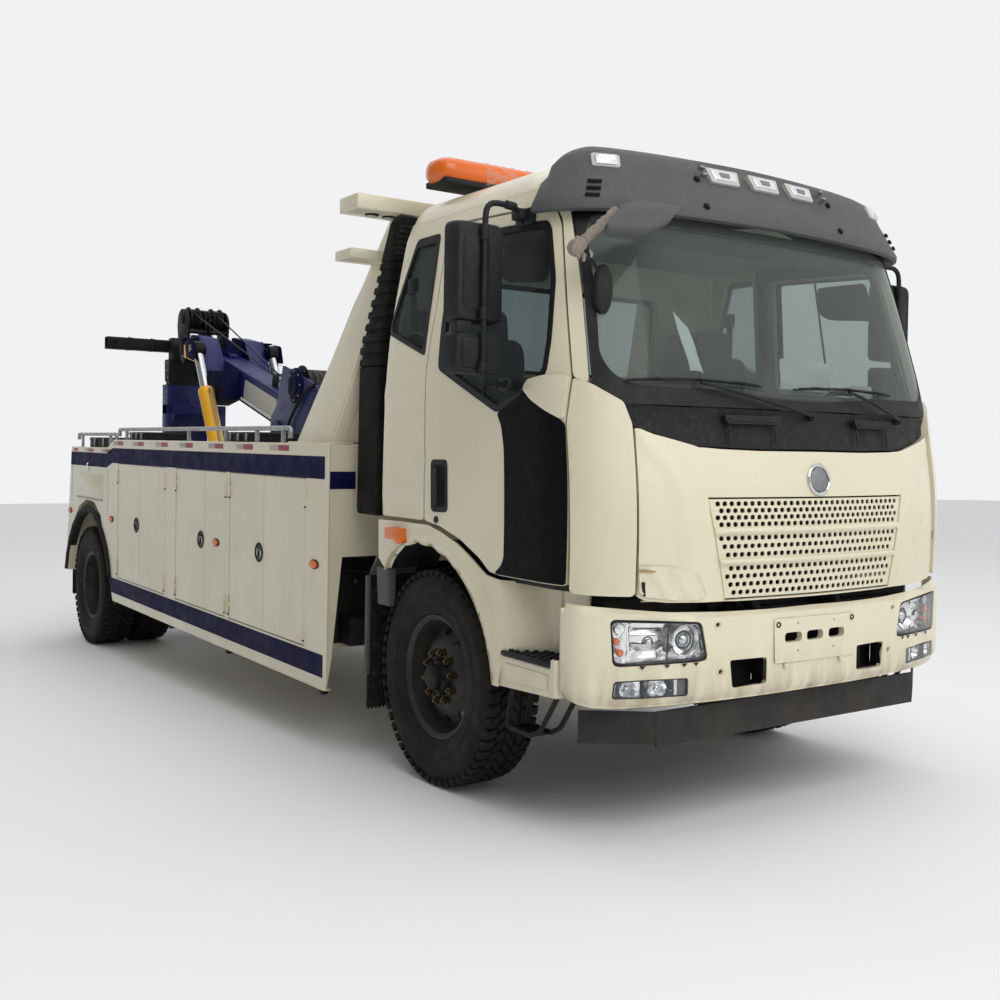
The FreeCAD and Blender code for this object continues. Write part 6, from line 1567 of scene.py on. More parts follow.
def slab(piece, low, high, mat, bev=0.004, M=None, seg=2):
    """Block between two four-cornered ends."""
    b = bmesh.new()
    a = [b.verts.new(p) for p in low]
    c = [b.verts.new(p) for p in high]
    b.faces.new(a)
    b.faces.new(c[::-1])
    for i in range(4):
        b.faces.new((a[i], c[i], c[(i + 1) % 4], a[(i + 1) % 4]))
    bmesh.ops.recalc_face_normals(b, faces=b.faces[:])
    if bev:
        bmesh.ops.bevel(b, geom=b.edges[:], offset=bev, segments=seg, affect="EDGES", profile=0.5)
    return piece.bm(b, mat, M)


def ellipse(cx, cz, a, b, n=20):
    return [(cx + a * math.cos(2 * math.pi * i / n), cz + b * math.sin(2 * math.pi * i / n)) for i in range(n)]


def quads(piece, x0, x1, y, z0, z1, mat, M=None, t=0.0009, r=0.004):
    """A flat tape on the side wall at |Y| = y."""
    piece.prism("Y", rounded([(x0, z0), (x1, z0), (x1, z1), (x0, z1)], r, 2), y, y + t, mat, M=M)


for side, sg in (("right", -1), ("left", 1)):
    M = MIR if sg < 0 else None
    p = Piece("body_bands_" + side, "chassis", "body_paint")
    p.prism("Y", [(-0.935, 1.535), (-0.935, 1.414), (-4.995, 1.414), (-5.165, 1.372), (-6.352, 1.372), (-6.338, 1.49), (-5.165, 1.49), (-4.995, 1.535)], BH - 0.0006, BH + 0.0009, "band_blue", M=M)
    p.prism("Y", [(-0.93, 0.483), (-0.93, 0.362), (-4.985, 0.362), (-5.055, 0.483)], BH - 0.0006, BH + 0.0009, "band_blue", M=M)
    # faint pressed lines of the upper leaves through the band
    for x0, x1 in ((-4.70, -4.30), (-4.05, -3.45), (-3.30, -2.86), (-2.70, -2.32), (-2.10, -1.35), (-6.18, -5.86), (-5.72, -5.30)):
        zz = 1.452 if x0 > -5 else 1.412
        for a, b, c, e in ((x0, x1, zz, zz + 0.0025), (x0, x0 + 0.0025, zz - 0.028, zz), (x1 - 0.0025, x1, zz - 0.028, zz)):
            p.box(a, b, BH, BH + 0.0022, c, e, "band_blue", 0.0, M)
    for a in (-4.84, -4.29, -3.72, -3.18, -2.60, -2.10, -1.56):
        quads(p, a, a + 0.148, BH, 1.558, 1.592, "tape_red", M)
        quads(p, a - 0.128, a - 0.002, BH, 1.558, 1.592, "tape_silver", M)
    for a in (-6.26, -5.74, -5.21):
        quads(p, a, a + 0.16, BH, 1.497, 1.524, "tape_red", M)
        if a > -6.2:
            quads(p, a - 0.13, a - 0.002, BH, 1.497, 1.524, "tape_silver", M)
    # blank dark plate on the front face
    p.box(-0.9005, -0.896, 1.085, 1.238, 1.364, 1.456, "band_blue", 0.0015, M)
    p.done()

    p = Piece("body_trim_" + side, "chassis", "body_paint")
    # rolled top lip, folded lower lip, corner fold
    for x0, x1, z in ((-4.955, -0.9, 1.596), (-6.325, -5.135, 1.5285)):
        p.box(x0, x1, BH - 0.03, BH + 0.0035, z - 0.006, z + 0.008, "body_paint", 0.004, M)
    p.tube([(-0.9, BH - 0.006, 1.592), (-0.9, BH - 0.006, 0.305)], 0.0065, "body_paint", M=M)
    p.box(-4.945, -0.903, BH - 0.035, BH + 0.0025, 0.2965, 0.306, "body_paint", 0.003, M)
    # seals inside the leaf gaps
    for x0, x1, seam in LOCK:
        z0, z1 = 0.5, 1.41
        for a, b, c, e in ((x0 - 0.0062, x0 + 0.001, z0, z1), (x1 - 0.001, x1 + 0.0062, z0, z1), (x0, x1, z0 - 0.0062, z0 + 0.001), (x0, x1, z1 - 0.001, z1 + 0.0062)):
            p.box(a, b, BH - 0.024, BH - 0.0055, c, e, "grey_plastic", 0.0, M)
        p.box(seam - 0.02, seam + 0.02, BH - 0.045, BH - 0.0262, z0, z1, "grey_plastic", 0.0, M)
        # shelves and back liners of the bays
        p.box(x0 + 0.01, x1 - 0.01, 0.64, 1.19, 0.93, 0.955, "galvanised", 0.004, M)
        p.box(x0 + 0.01, x1 - 0.01, 1.17, 1.19, 0.955, 0.985, "galvanised", 0.003, M)
    # hinge halves on the body
    for hx, s2 in ((-4.82, -1), (-3.62, 1), (-3.37, -1), (-2.395, 1), (-2.325, -1), (-1.18, 1)):
        for z in (0.585, 1.315):
            x = hx + s2 * 0.003
            p.cyl((x, BH + 0.0045, z - 0.055), (x, BH + 0.0045, z - 0.02), 0.0068, "body_paint", n=12, bev=0.0015, M=M)
            p.cyl((x, BH + 0.0045, z + 0.02), (x, BH + 0.0045, z + 0.055), 0.0068, "body_paint", n=12, bev=0.0015, M=M)
            p.box(min(x, x + s2 * 0.017), max(x, x + s2 * 0.017), BH - 0.001, BH + 0.003, z - 0.055, z + 0.055, "body_paint", 0.0015, M)
            p.cyl((x, BH + 0.0045, z - 0.064), (x, BH + 0.0045, z - 0.055), 0.0055, "dark_hole", n=10, M=M)
    # markers on the body
    for x in (-6.35, -5.0, -1.05):
        p.prism("Y", ellipse(x, 0.955, 0.056, 0.026), BH - 0.001, BH + 0.006, "black_plastic", 0.002, M)
        p.prism("Y", ellipse(x, 0.955, 0.049, 0.020), BH + 0.004, BH + 0.014, "amber", 0.004, M, 3)
    # rear hatch with its hinge rod and catch
    hat = rounded([(-6.11, 1.10), (-5.28, 1.10), (-5.28, 1.31), (-6.11, 1.31)], 0.02, 4)
    p.prism("Y", hat, BH - 0.001, BH + 0.004, "body_paint", 0.0015, M)
    p.prism("Y", rounded([(-6.04, 1.14), (-5.35, 1.14), (-5.35, 1.27), (-6.04, 1.27)], 0.02, 4), BH + 0.0035, BH + 0.0055, "body_paint", 0.0009, M)
    for i in range(14):
        a = -6.10 + i * 0.0585
        p.cyl((a, BH + 0.006, 1.093), (a + 0.055, BH + 0.006, 1.093), 0.0062, "galvanised", n=10, M=M)
    p.box(-5.745, -5.715, BH, BH + 0.012, 1.325, 1.36, "chrome", 0.004, M)
    p.box(-5.742, -5.718, BH, BH + 0.018, 1.345, 1.40, "chrome", 0.006, M)
    # closing panel with the seams of the rear part
    for x in (-6.30, -5.12):
        p.box(x - 0.0015, x + 0.0015, BH - 0.0005, BH + 0.0012, 1.05 if x < -6 else 0.99, 1.365, "grey_plastic", 0.0, M)
    # rubber flare round the wheel arch
    outer = [(-6.50, 0.411), (-6.44, 0.58), (-6.34, 0.735), (-6.21, 0.868), (-6.06, 0.962), (-5.91, 1.015), (-5.76, 1.035), (-5.62, 1.026), (-5.49, 0.994), (-5.34, 0.925), (-5.20, 0.817), (-5.10, 0.715), (-5.04, 0.624), (-4.985, 0.484)]
    inner = [(-6.43, 0.413), (-6.385, 0.55), (-6.30, 0.69), (-6.18, 0.815), (-6.035, 0.905), (-5.90, 0.955), (-5.76, 0.974), (-5.62, 0.966), (-5.505, 0.938), (-5.375, 0.873), (-5.25, 0.776), (-5.155, 0.68), (-5.10, 0.60), (-5.045, 0.49)]
    n = len(outer)
    rings = []
    for (ox, oz), (ix, iz) in zip(outer, inner):
        mx_, mz_ = (ox + ix) / 2, (oz + iz) / 2
        rings.append([(ox, BH - 0.002, oz), (ox * 0.8 + ix * 0.2, BH + 0.012, oz * 0.8 + iz * 0.2), (mx_, BH + 0.022, mz_), (ox * 0.2 + ix * 0.8, BH + 0.02, oz * 0.2 + iz * 0.8), (ix, BH + 0.006, iz), (ix, BH - 0.05, iz), (ix * 0.9 + ox * 0.1, BH - 0.05, iz * 0.9 + oz * 0.1)])
    p.ring(rings, "rubber", M=M)
    for i in (1, 3, 5, 7, 9, 11):
        (ox, oz), (ix, iz) = outer[i], inner[i]
        p.bolt((ox * 0.5 + ix * 0.5, BH + 0.021, oz * 0.5 + iz * 0.5), (0, 1, 0), "black_steel", 0.006, 0.004)
    # inner wheel housing edge
    p.box(-6.33, -5.02, 0.602, 0.612, 1.08, 1.10, "black_steel", 0.003, M)
    # lashing hooks and step plates low down in front of the arch
    for x in (-4.9, -3.5, -2.36, -0.96):
        p.box(x - 0.02, x + 0.02, BH - 0.04, BH - 0.004, 0.27, 0.302, "black_steel", 0.004, M)
    p.done()

    # rails on top, the boxes behind them and the tread sheets
    p = Piece("body_rails_" + side, "chassis", "bare_metal")
    p.tube([(-4.95, 1.2, 1.63), (-4.95, 1.2, 1.687), (-1.50, 1.2, 1.687), (-1.50, 1.2, 1.63)], 0.0145, "galvanised", n=12, M=M, round_r=0.03)
    for x in (-4.75, -3.25, -2.53, -2.0, -1.60):
        p.box(x - 0.016, x + 0.016, 1.19, 1.21, 1.598, 1.68, "galvanised", 0.004, M)
        p.box(x - 0.035, x + 0.035, 1.175, 1.225, 1.598, 1.605, "galvanised", 0.003, M)
        for b in (-0.024, 0.024):
            p.bolt((x + b, 1.2, 1.605), (0, 0, 1), "galvanised", 0.006, 0.006)
    p.tube([(-6.25, 1.2, 1.60), (-6.25, 1.2, 1.648), (-5.04, 1.2, 1.648), (-5.04, 1.2, 1.60)], 0.0145, "galvanised", n=12, M=M, round_r=0.03)
    for x in (-6.12, -5.22):
        p.box(x - 0.016, x + 0.016, 1.19, 1.21, 1.528, 1.64, "galvanised", 0.004, M)
        p.box(x - 0.035, x + 0.035, 1.175, 1.225, 1.530, 1.537, "galvanised", 0.003, M)
    for x0, x1, z0, z1 in ((-4.93, -4.50, 1.60, 1.668), (-2.72, -2.25, 1.60, 1.668), (-6.16, -5.22, 1.53, 1.622)):
        p.box(x0, x1, 0.78, 1.13, z0, z1, "black_steel", 0.008, M)
        p.box(x0 - 0.006, x1 + 0.006, 0.774, 1.136, z1 - 0.018, z1 - 0.006, "black_steel", 0.004, M)
        for k in range(3):
            xx = x0 + (x1 - x0) * (0.2 + 0.3 * k)
            p.box(xx - 0.012, xx + 0.012, 1.128, 1.142, z0 + 0.012, z1 - 0.01, "galvanised", 0.003, M)
    # raised bars of the tread plate on the locker tops
    for x0, x1, z in ((-4.42, -2.80, 1.6), (-2.18, -1.50, 1.6)):
        nx = int((x1 - x0) / 0.075)
        for i in range(nx):
            for j in range(7):
                cx, cy = x0 + (i + 0.5) * 0.075, 0.66 + j * 0.075 + (0.0 if i % 2 else 0.02)
                d = 0.020 if (i + j) % 2 else -0.020
                slab(p, [(cx - 0.016, cy - d * 0.8 - 0.004, z), (cx + 0.016, cy + d * 0.8 - 0.004, z), (cx + 0.016, cy + d * 0.8 + 0.004, z), (cx - 0.016, cy - d * 0.8 + 0.004, z)],
                     [(cx - 0.013, cy - d * 0.7 - 0.002, z + 0.003), (cx + 0.013, cy + d * 0.7 - 0.002, z + 0.003), (cx + 0.013, cy + d * 0.7 + 0.002, z + 0.003), (cx - 0.013, cy - d * 0.7 + 0.002, z + 0.003)], "body_paint", 0.0, M)
    p.done(smooth=30)

    # leaves
    for n_, (x0, x1, seam) in enumerate(LOCK, 1):
        for half, a, b in (("front", seam + 0.003, x1), ("rear", x0, seam - 0.003)):
            name = "locker_%d_%s_%s" % (n_, half, side)
            q = Piece("leaf_%d_%s_%s" % (n_, half, side), name, "body_paint")
            z0, z1 = 0.5, 1.41
            # outer skin with rounded edges, slightly pillowed, and a folded back
            nx, nz = 14, 20
            us = np.concatenate([[0, 0.0008, 0.003, 0.008], np.linspace(0.03, 0.97, nx) * (b - a), [b - a - 0.008, b - a - 0.003, b - a - 0.0008, b - a]])
            vs = np.concatenate([[0, 0.0008, 0.003, 0.008], np.linspace(0.03, 0.97, nz) * (z1 - z0), [z1 - z0 - 0.008, z1 - z0 - 0.003, z1 - z0 - 0.0008, z1 - z0]])
            prof = [-0.004, -0.0022, -0.0006, 0.0]
            pu = prof + [0.0] * nx + prof[::-1]
            pv = prof + [0.0] * nz + prof[::-1]
            verts, faces = [], []
            ph = 1.7 * n_ + (0.9 if half == "front" else 0)
            for i, u in enumerate(us):
                for j, v in enumerate(vs):
                    w = 0.0009 * math.sin(3.1 * u / (b - a) + ph) * math.sin(5.3 * v + ph) if 3 < i < len(us) - 4 and 3 < j < len(vs) - 4 else 0
                    verts.append((a + u, BH - 0.0002 + min(pu[i], pv[j]) + w - 0.0006, z0 + v))
            kz = len(vs)
            for i in range(len(us) - 1):
                for j in range(kz - 1):
                    faces.append((i * kz + j, i * kz + j + 1, (i + 1) * kz + j + 1, (i + 1) * kz + j))
            q.add(verts, faces, "body_paint", M)
            # folded rim and inner pan
            q.box(a, b, BH - 0.022, BH - 0.004, z0, z0 + 0.02, "body_paint", 0.0015, M)
            q.box(a, b, BH - 0.022, BH - 0.004, z1 - 0.02, z1, "body_paint", 0.0015, M)
            q.box(a, a + 0.02, BH - 0.022, BH - 0.004, z0 + 0.002, z1 - 0.002, "body_paint", 0.0015, M)
            q.box(b - 0.02, b, BH - 0.022, BH - 0.004, z0 + 0.002, z1 - 0.002, "body_paint", 0.0015, M)
            q.box(a + 0.018, b - 0.018, BH - 0.0215, BH - 0.018, z0 + 0.018, z1 - 0.018, "body_paint", 0.001, M)
            for zz in (0.72, 1.19):
                q.box(a + 0.03, b - 0.03, BH - 0.0222, BH - 0.0205, zz - 0.02, zz + 0.02, "body_paint", 0.0007, M)
            hx, s2 = (b, 1) if half == "front" else (a, -1)
            for z in (0.585, 1.315):
                x = hx + s2 * 0.003
                q.cyl((x, BH + 0.0045, z - 0.018), (x, BH + 0.0045, z + 0.018), 0.0066, "body_paint", n=12, bev=0.0015, M=M)
                x2 = hx - s2 * 0.034
                q.prism("Y", rounded([(min(x, x2), z - 0.016), (max(x, x2), z - 0.016), (max(x, x2), z + 0.016), (min(x, x2), z + 0.016)], 0.005, 2), BH - 0.001, BH + 0.0028, "body_paint", 0.0008, M)
            if half == "rear":
                # round flush lock with its folded tee handle
                c = (seam - 0.062, BH, 0.953)
                q.lathe([(0.0, -0.002), (0.058, -0.002), (0.058, 0.004), (0.054, 0.0065), (0.046, 0.0065), (0.042, 0.002), (0.040, -0.0005), (0.0, -0.0005)], (c[0], BH, c[2]), "Y", "black_plastic", 28, M)
                q.lathe([(0.0, 0.0), (0.039, 0.0), (0.037, 0.0022), (0.012, 0.003), (0.0, 0.003)], (c[0], BH, c[2]), "Y", "chrome", 24, M)
                q.prism("Y", rounded([(c[0] - 0.008, 0.918), (c[0] + 0.008, 0.918), (c[0] + 0.008, 0.989), (c[0] - 0.008, 0.989)], 0.006, 3), BH + 0.0022, BH + 0.009, "black_plastic", 0.002, M)
                q.prism("Y", rounded([(c[0] - 0.024, 0.962), (c[0] + 0.024, 0.962), (c[0] + 0.024, 0.976), (c[0] - 0.024, 0.976)], 0.005, 3), BH + 0.002, BH + 0.0085, "bare_metal", 0.002, M)
            if n_ == 2 and half == "front":
                q.prism("Y", ellipse(-2.56, 0.955, 0.056, 0.026), BH - 0.002, BH + 0.006, "black_plastic", 0.002, M)
                q.prism("Y", ellipse(-2.56, 0.955, 0.049, 0.020), BH + 0.004, BH + 0.014, "amber", 0.004, M, 3)
            q.done(replaces=(name,), smooth=30)

# ------------------------------------------------------------------ gantry
g = Piece("gantry_frame", "chassis", "body_paint")
for M in (None, MIR):
    slab(g, [(-1.42, 1.12, 1.6), (-0.955, 1.12, 1.6), (-0.955, 1.20, 1.6), (-1.42, 1.20, 1.6)],
         [(-0.855, 0.85, 2.8), (-0.66, 0.85, 2.8), (-0.66, 0.93, 2.8), (-0.855, 0.93, 2.8)], "body_paint", 0.006, M, 3)
    g.box(-1.455, -0.925, 1.085, 1.235, 1.6, 1.612, "body_paint", 0.004, M)
    for x in (-1.43, -1.27, -1.11, -0.95):
        for y in (1.10, 1.222):
            g.bolt((x, y, 1.612), (0, 0, 1), "galvanised", 0.008, 0.008)
    # inner web that widens the foot towards the middle
    slab(g, [(-0.975, 0.90, 1.612), (-0.960, 0.90, 1.612), (-0.960, 1.13, 1.612), (-0.975, 1.13, 1.612)],
         [(-0.860, 0.80, 2.10), (-0.845, 0.80, 2.10), (-0.845, 1.01, 2.10), (-0.860, 1.01, 2.10)], "body_paint", 0.002, M)
    # gussets under the top bar, weld seams
    g.prism("Y", [(-0.835, 2.80), (-0.675, 2.80), (-0.69, 2.74), (-0.83, 2.74)], 0.75, 0.862, "body_paint", 0.003, M)
    g.tube([(-0.962, 1.205, 1.615), (-0.667, 0.935, 2.795)], 0.0035, "body_paint", n=6, M=M)
    # wiring clip and cable down the rear face of the pillar
    g.tube([(-0.90, 0.90, 2.78), (-1.08, 1.02, 2.35), (-1.43, 1.16, 1.65), (-1.46, 1.17, 1.60)], 0.006, "seal_rubber", n=8, M=M)
    for t in (0.2, 0.4, 0.6, 0.8):
        x, y, z = -0.875 - 0.56 * t, 0.89 + 0.27 * t, 2.78 - 1.17 * t
        g.box(x - 0.02, x + 0.006, y - 0.012, y + 0.012, z - 0.008, z + 0.008, "black_plastic", 0.002, M)
    # folded ends of the two bars
    for x0, x1, y1, z0, z1 in ((-0.86, -0.65, 1.22, 2.80, 2.88), (-0.97, -0.78, 1.19, 2.57, 2.622)):
        g.box(x0 + 0.012, x1 - 0.012, y1 - 0.004, y1 - 0.0005, z0 + 0.012, z1 - 0.012, "plate_grey", 0.001, M)
    # work lights let into the underside of the top bar
    for y in (0.985, 1.085) if M is not None else (0.985, 1.085):
        g.lathe([(0.0, 0.004), (0.036, 0.004), (0.036, -0.006), (0.030, -0.009), (0.0, -0.009)], (-0.755, y, 2.80), "Z", "black_plastic", 24, M)
        g.lathe([(0.0, -0.004), (0.029, -0.004), (0.026, -0.0125), (0.012, -0.016), (0.0, -0.017)], (-0.755, y, 2.80), "Z", "plate_grey", 20, M)
g.box(-0.86, -0.65, -1.22, 1.22, 2.8, 2.88, "body_paint", 0.007, seg=3)
g.box(-0.97, -0.78, -1.19, 1.19, 2.57, 2.622, "body_paint", 0.006, seg=3)
g.box(-0.86, -0.855, -0.9, 0.9, 2.835, 2.845, "body_paint", 0.001)
for y in (-0.75, -0.45, -0.15, 0.15, 0.45, 0.75):
    g.prism("X", ellipse(y, 2.842, 0.022, 0.013, 12), -0.652, -0.644, "amber", 0.002)
    g.bolt((-0.80, y, 2.622), (0, 0, 1), "galvanised", 0.007, 0.006)
g.done(replaces=("gantry",))

# ------------------------------------------------------------------ air duct
g = Piece("intake_duct", "chassis", "black_plastic")


def duct_box(z):
    """x rear, x front, y inner, y outer at a height."""
    yo = 1.13 - 0.005 * (z - 1.24) / 0.86 if z < 2.1 else 1.125 - 0.095 * (z - 2.1) / 0.69
    yi = 0.99 if z < 2.1 else 0.99 - 0.10 * (z - 2.1) / 0.69
    xr = -0.80 if z < 2.1 else -0.80 + 0.16 * (z - 2.1) / 0.69
    return xr, -0.562, yi, yo


def duct_ring(z, k, kr=0.0):
    xr, xf, yi, yo = duct_box(z)
    o = rounded([(xr + k + kr, -(yi + k)), (xf - k, -(yi + k)), (xf - k, -(yo - k)), (xr + k + kr, -(yo - k))], 0.016, 3)
    return [(x, y, z) for x, y in o]


rings = [duct_ring(1.242, 0.006)]
z = 1.26
while z < 2.52:
    k = 0.0105 if z > 1.95 else 0.001
    rings += [duct_ring(z, k), duct_ring(z + 0.006, 0.001), duct_ring(z + 0.036, 0.0005), duct_ring(z + 0.042, k * 0.95), duct_ring(z + 0.055, k)]
    z += 0.062
rings += [duct_ring(2.535, 0.012), duct_ring(2.548, 0.001), duct_ring(2.74, 0.001), duct_ring(2.775, 0.012), duct_ring(2.788, 0.03)]
g.ring(rings, "duct_black")
# clips down the rear edge, louvres at the head
z = 1.275
while z < 2.5:
    xr, xf, yi, yo = duct_box(z)
    if z > 1.95:
        g.box(xr - 0.0, xr + 0.02, -(yo - 0.012), -(yo - 0.045), z + 0.002, z + 0.022, "duct_black", 0.003)
    z += 0.062
for i in range(6):
    z = 2.575 + i * 0.028
    xr, xf, yi, yo = duct_box(z)
    g.box(xf - 0.004, xf + 0.0015, -(yo - 0.02), -(yi + 0.02), z, z + 0.012, "cowl_plastic", 0.002)
for z in (1.5, 2.05, 2.6):
    xr, xf, yi, yo = duct_box(z)
    g.box(xr + 0.03, xf - 0.03, -(yi + 0.004), -(yi - 0.03), z, z + 0.03, "black_steel", 0.004)
g.done(replaces=("air_duct",))

# ------------------------------------------------------------------ deck
g = Piece("deck_plate", "chassis", "body_paint")
for i in range(50):
    for j in range(14):
        cx, cy = -4.66 + (i + 0.5) * 0.075, -0.51 + j * 0.0785 + (0.0 if i % 2 else 0.02)
        if -3.74 < cx < -2.74 and abs(cy) < 0.56:
            continue
        d = 0.020 if (i + j) % 2 else -0.020
        slab(g, [(cx - 0.016, cy - d * 0.8 - 0.004, 1.56), (cx + 0.016, cy + d * 0.8 - 0.004, 1.56), (cx + 0.016, cy + d * 0.8 + 0.004, 1.56), (cx - 0.016, cy - d * 0.8 + 0.004, 1.56)],
             [(cx - 0.013, cy - d * 0.7 - 0.002, 1.563), (cx + 0.013, cy + d * 0.7 - 0.002, 1.563), (cx + 0.013, cy + d * 0.7 + 0.002, 1.563), (cx - 0.013, cy - d * 0.7 + 0.002, 1.563)], "body_paint", 0.0)
g.done(smooth=30)

# ------------------------------------------------------------------ inside of the open front end, its walls in chassis black as painted shade
k_ = Piece("front_bay_lining", "chassis", "chassis_black")
for M in (None, MIR):
    k_.box(-1.158, -1.150, 0.66, 1.150, 0.50, 0.998, "chassis_black", 0.001, M)
    k_.box(-1.15, -0.93, 0.66, 1.150, 0.992, 1.000, "chassis_black", 0.001, M)
    slab(k_, [(-1.15, 1.192, 0.50), (-0.93, 1.192, 0.50), (-0.93, 1.196, 0.50), (-1.15, 1.196, 0.50)],
         [(-1.15, 1.146, 0.99), (-0.93, 1.146, 0.99), (-0.93, 1.150, 0.99), (-1.15, 1.150, 0.99)], "chassis_black", 0.001, M)
    k_.box(-1.14, -0.99, 0.80, 1.06, 0.505, 0.66, "black_plastic", 0.008, M)
    k_.box(-0.990, -0.984, 0.86, 0.90, 0.53, 0.62, "plate_grey", 0.002, M)
    k_.tube([(-1.10, 1.12, 0.93), (-1.04, 0.95, 0.90), (-1.0, 0.70, 0.89)], 0.010, "rubber", n=8, M=M)
    k_.tube([(-1.10, 1.10, 0.78), (-1.06, 0.98, 0.72), (-1.08, 0.86, 0.66)], 0.008, "rubber", n=8, M=M)
    for z in (0.60, 0.84):
        k_.bolt((-1.150, 0.95, z), (1, 0, 0), "galvanised", 0.010, 0.008) if M is None else k_.bolt((-1.150, -0.95, z), (1, 0, 0), "galvanised", 0.010, 0.008)
k_.done(smooth=35)

# ================================================================== boom and winches
BP = Matrix.Translation((-3.55, 0, 1.69)) @ Matrix.Rotation(math.radians(15), 4, "Y")


def bl(x, y, z):
    """Boom's own coordinates to the truck's."""
    return tuple(BP @ Vector((x, y, z)))


b = Piece("boom_main", "boom", "navy_paint")
# box section with pressed long edges, tapered towards its pivot
sec = rounded([(-0.125, -0.12), (0.125, -0.12), (0.125, 0.12), (-0.125, 0.12)], 0.026, 4)
rings = []
for x, zl, zh in ((-2.58, -0.12, 0.12), (-2.0, -0.12, 0.12), (-1.2, -0.12, 0.12), (-0.42, -0.12, 0.12), (-0.24, -0.098, 0.12), (-0.06, -0.076, 0.12), (0.02, -0.045, 0.115), (0.072, -0.026, 0.08)):
    rings.append([bl(x, y, zl + (zz + 0.12) / 0.24 * (zh - zl)) for y, zz in sec])
b.ring(rings, "navy_paint")
# doubler plates, weld beads, wear pad bolts
for s in (-1, 1):
    M = MIR if s < 0 else None
    b.prism("Y", rounded([(-0.60, -0.10), (-0.14, -0.07), (0.05, -0.02), (0.06, 0.07), (-0.14, 0.11), (-0.60, 0.11)], 0.03, 3), 0.1245, 0.136, "navy_paint", 0.002, (MIR @ BP) if s < 0 else BP)
    b.tube([bl(-0.62, 0.126, 0.118), bl(-2.05, 0.126, 0.118)], 0.004, "navy_paint", n=6, M=M)
    b.tube([bl(-0.62, 0.126, -0.118), bl(-2.05, 0.126, -0.118)], 0.004, "navy_paint", n=6, M=M)
    b.lathe([(0.035, 0.136), (0.075, 0.136), (0.075, 0.19), (0.07, 0.198), (0.035, 0.198)], (-3.55, 0, 1.69), "Y", "navy_paint", 28, M)
    for i in range(5):
        b.bolt(bl(-2.12 - 0.08 * i, 0.125, 0.0), (0, 1, 0), "galvanised", 0.008, 0.008) if s > 0 else b.bolt(bl(-2.12 - 0.08 * i, -0.125, 0.0), (0, -1, 0), "galvanised", 0.008, 0.008)
    # blank name plate
    b.prism("Y", rounded([(-1.53, -0.108), (-0.79, -0.108), (-0.79, 0.062), (-1.53, 0.062)], 0.01, 3), 0.1252, 0.1285, "plate_grey", 0.001, (MIR @ BP) if s < 0 else BP)
    for x, z in ((-1.515, -0.093), (-1.515, 0.047), (-0.805, -0.093), (-0.805, 0.047)):
        b.bolt(bl(x, s * 0.1285, z), (0, s, 0), "galvanised", 0.005, 0.003)
    # housing round the top: side sheet, broad sloping front, closed by bent sheets; open below, where the side plates
    # and lower sheets are darkened with painted shade
    H = [(-6.03, 2.45), (-6.03, 2.592), (-5.98, 2.593), (-5.70, 2.545), (-5.475, 2.235), (-5.14, 2.222), (-5.12, 1.975), (-5.42, 1.925)]
    b.prism("Y", rounded(H, [0.01, 0.012, 0.02, 0.01, 0.02, 0.01, 0.02, 0.04], 4), 0.260, 0.272, "navy_painted_shade", 0.003, M)
    n0, n1 = 0.123, 0.262
    for k, ((xa, za), (xb, zb)) in enumerate(zip(H[1:7], H[2:8])):
        dx, dz = xb - xa, zb - za
        L = math.hypot(dx, dz)
        nx, nz = dz / L, -dx / L
        t = 0.012
        n2 = 0.300 if k == 2 else n1
        # the lower sheets take the darker navy: painted shade
        mt = "navy_painted_shade" if k >= 3 else "navy_paint"
        slab(b, [(xa, n0, za), (xb, n0, zb), (xb, n2, zb), (xa, n2, za)], [(xa + nx * t, n0, za + nz * t), (xb + nx * t, n0, zb + nz * t), (xb + nx * t, n2, zb + nz * t), (xa + nx * t, n2, za + nz * t)], mt, 0.0015, M)
    slab(b, [(-6.03, n0, 2.45), (-6.018, n0, 2.45), (-6.018, n1, 2.45), (-6.03, n1, 2.45)], [(-6.03, n0, 2.59), (-6.018, n0, 2.59), (-6.018, n1, 2.59), (-6.03, n1, 2.59)], "navy_paint", 0.001, M)
    b.prism("Y", [(-6.028, 2.40), (-6.028, 2.585), (-5.72, 2.53), (-5.50, 2.225), (-5.15, 2.21), (-5.13, 1.98), (-5.42, 1.93)], 0.124, 0.132, "navy_painted_shade", 0.001, M)
    # folded edges that catch the light
    b.tube([(-5.70, 0.298, 2.546), (-5.475, 0.298, 2.236)], 0.005, "navy_paint", n=6, M=M)
    b.tube([(-5.475, 0.126, 2.232), (-5.30, 0.140, 2.06), (-5.14, 0.140, 1.99)], 0.006, "navy_paint", n=6, M=M)
    b.tube([(-5.56, 0.126, 2.30), (-5.36, 0.132, 2.03)], 0.006, "navy_paint", n=6, M=M)
    # clevis: outer plate, web, pin with its keeper; plates, web and boss in the darker navy of painted shade
    C = [(-5.75, 2.365), (-5.765, 2.50), (-5.70, 2.525), (-5.53, 2.50), (-5.47, 2.335)]
    b.prism("Y", rounded(C, 0.03, 4), 0.405, 0.417, "navy_painted_shade", 0.003, M)
    b.box(-5.88, -5.81, 0.262, 0.416, 2.40, 2.54, "navy_painted_shade", 0.004, M)
    b.box(-5.87, -5.74, 0.27, 0.416, 2.40, 2.412, "navy_painted_shade", 0.002, M)
    b.box(-5.87, -5.74, 0.27, 0.416, 2.528, 2.540, "navy_painted_shade", 0.002, M)
    b.cyl((-5.6, 0.285, 2.43), (-5.6, 0.301, 2.43), 0.05, "navy_painted_shade", n=28, bev=0.003, M=M)
    b.cyl((-5.6, 0.296, 2.43), (-5.6, 0.424, 2.43), 0.026, "bare_metal", n=20, bev=0.003, M=M)
    b.box(-5.63, -5.57, 0.417, 0.423, 2.452, 2.466, "galvanised", 0.002, M)
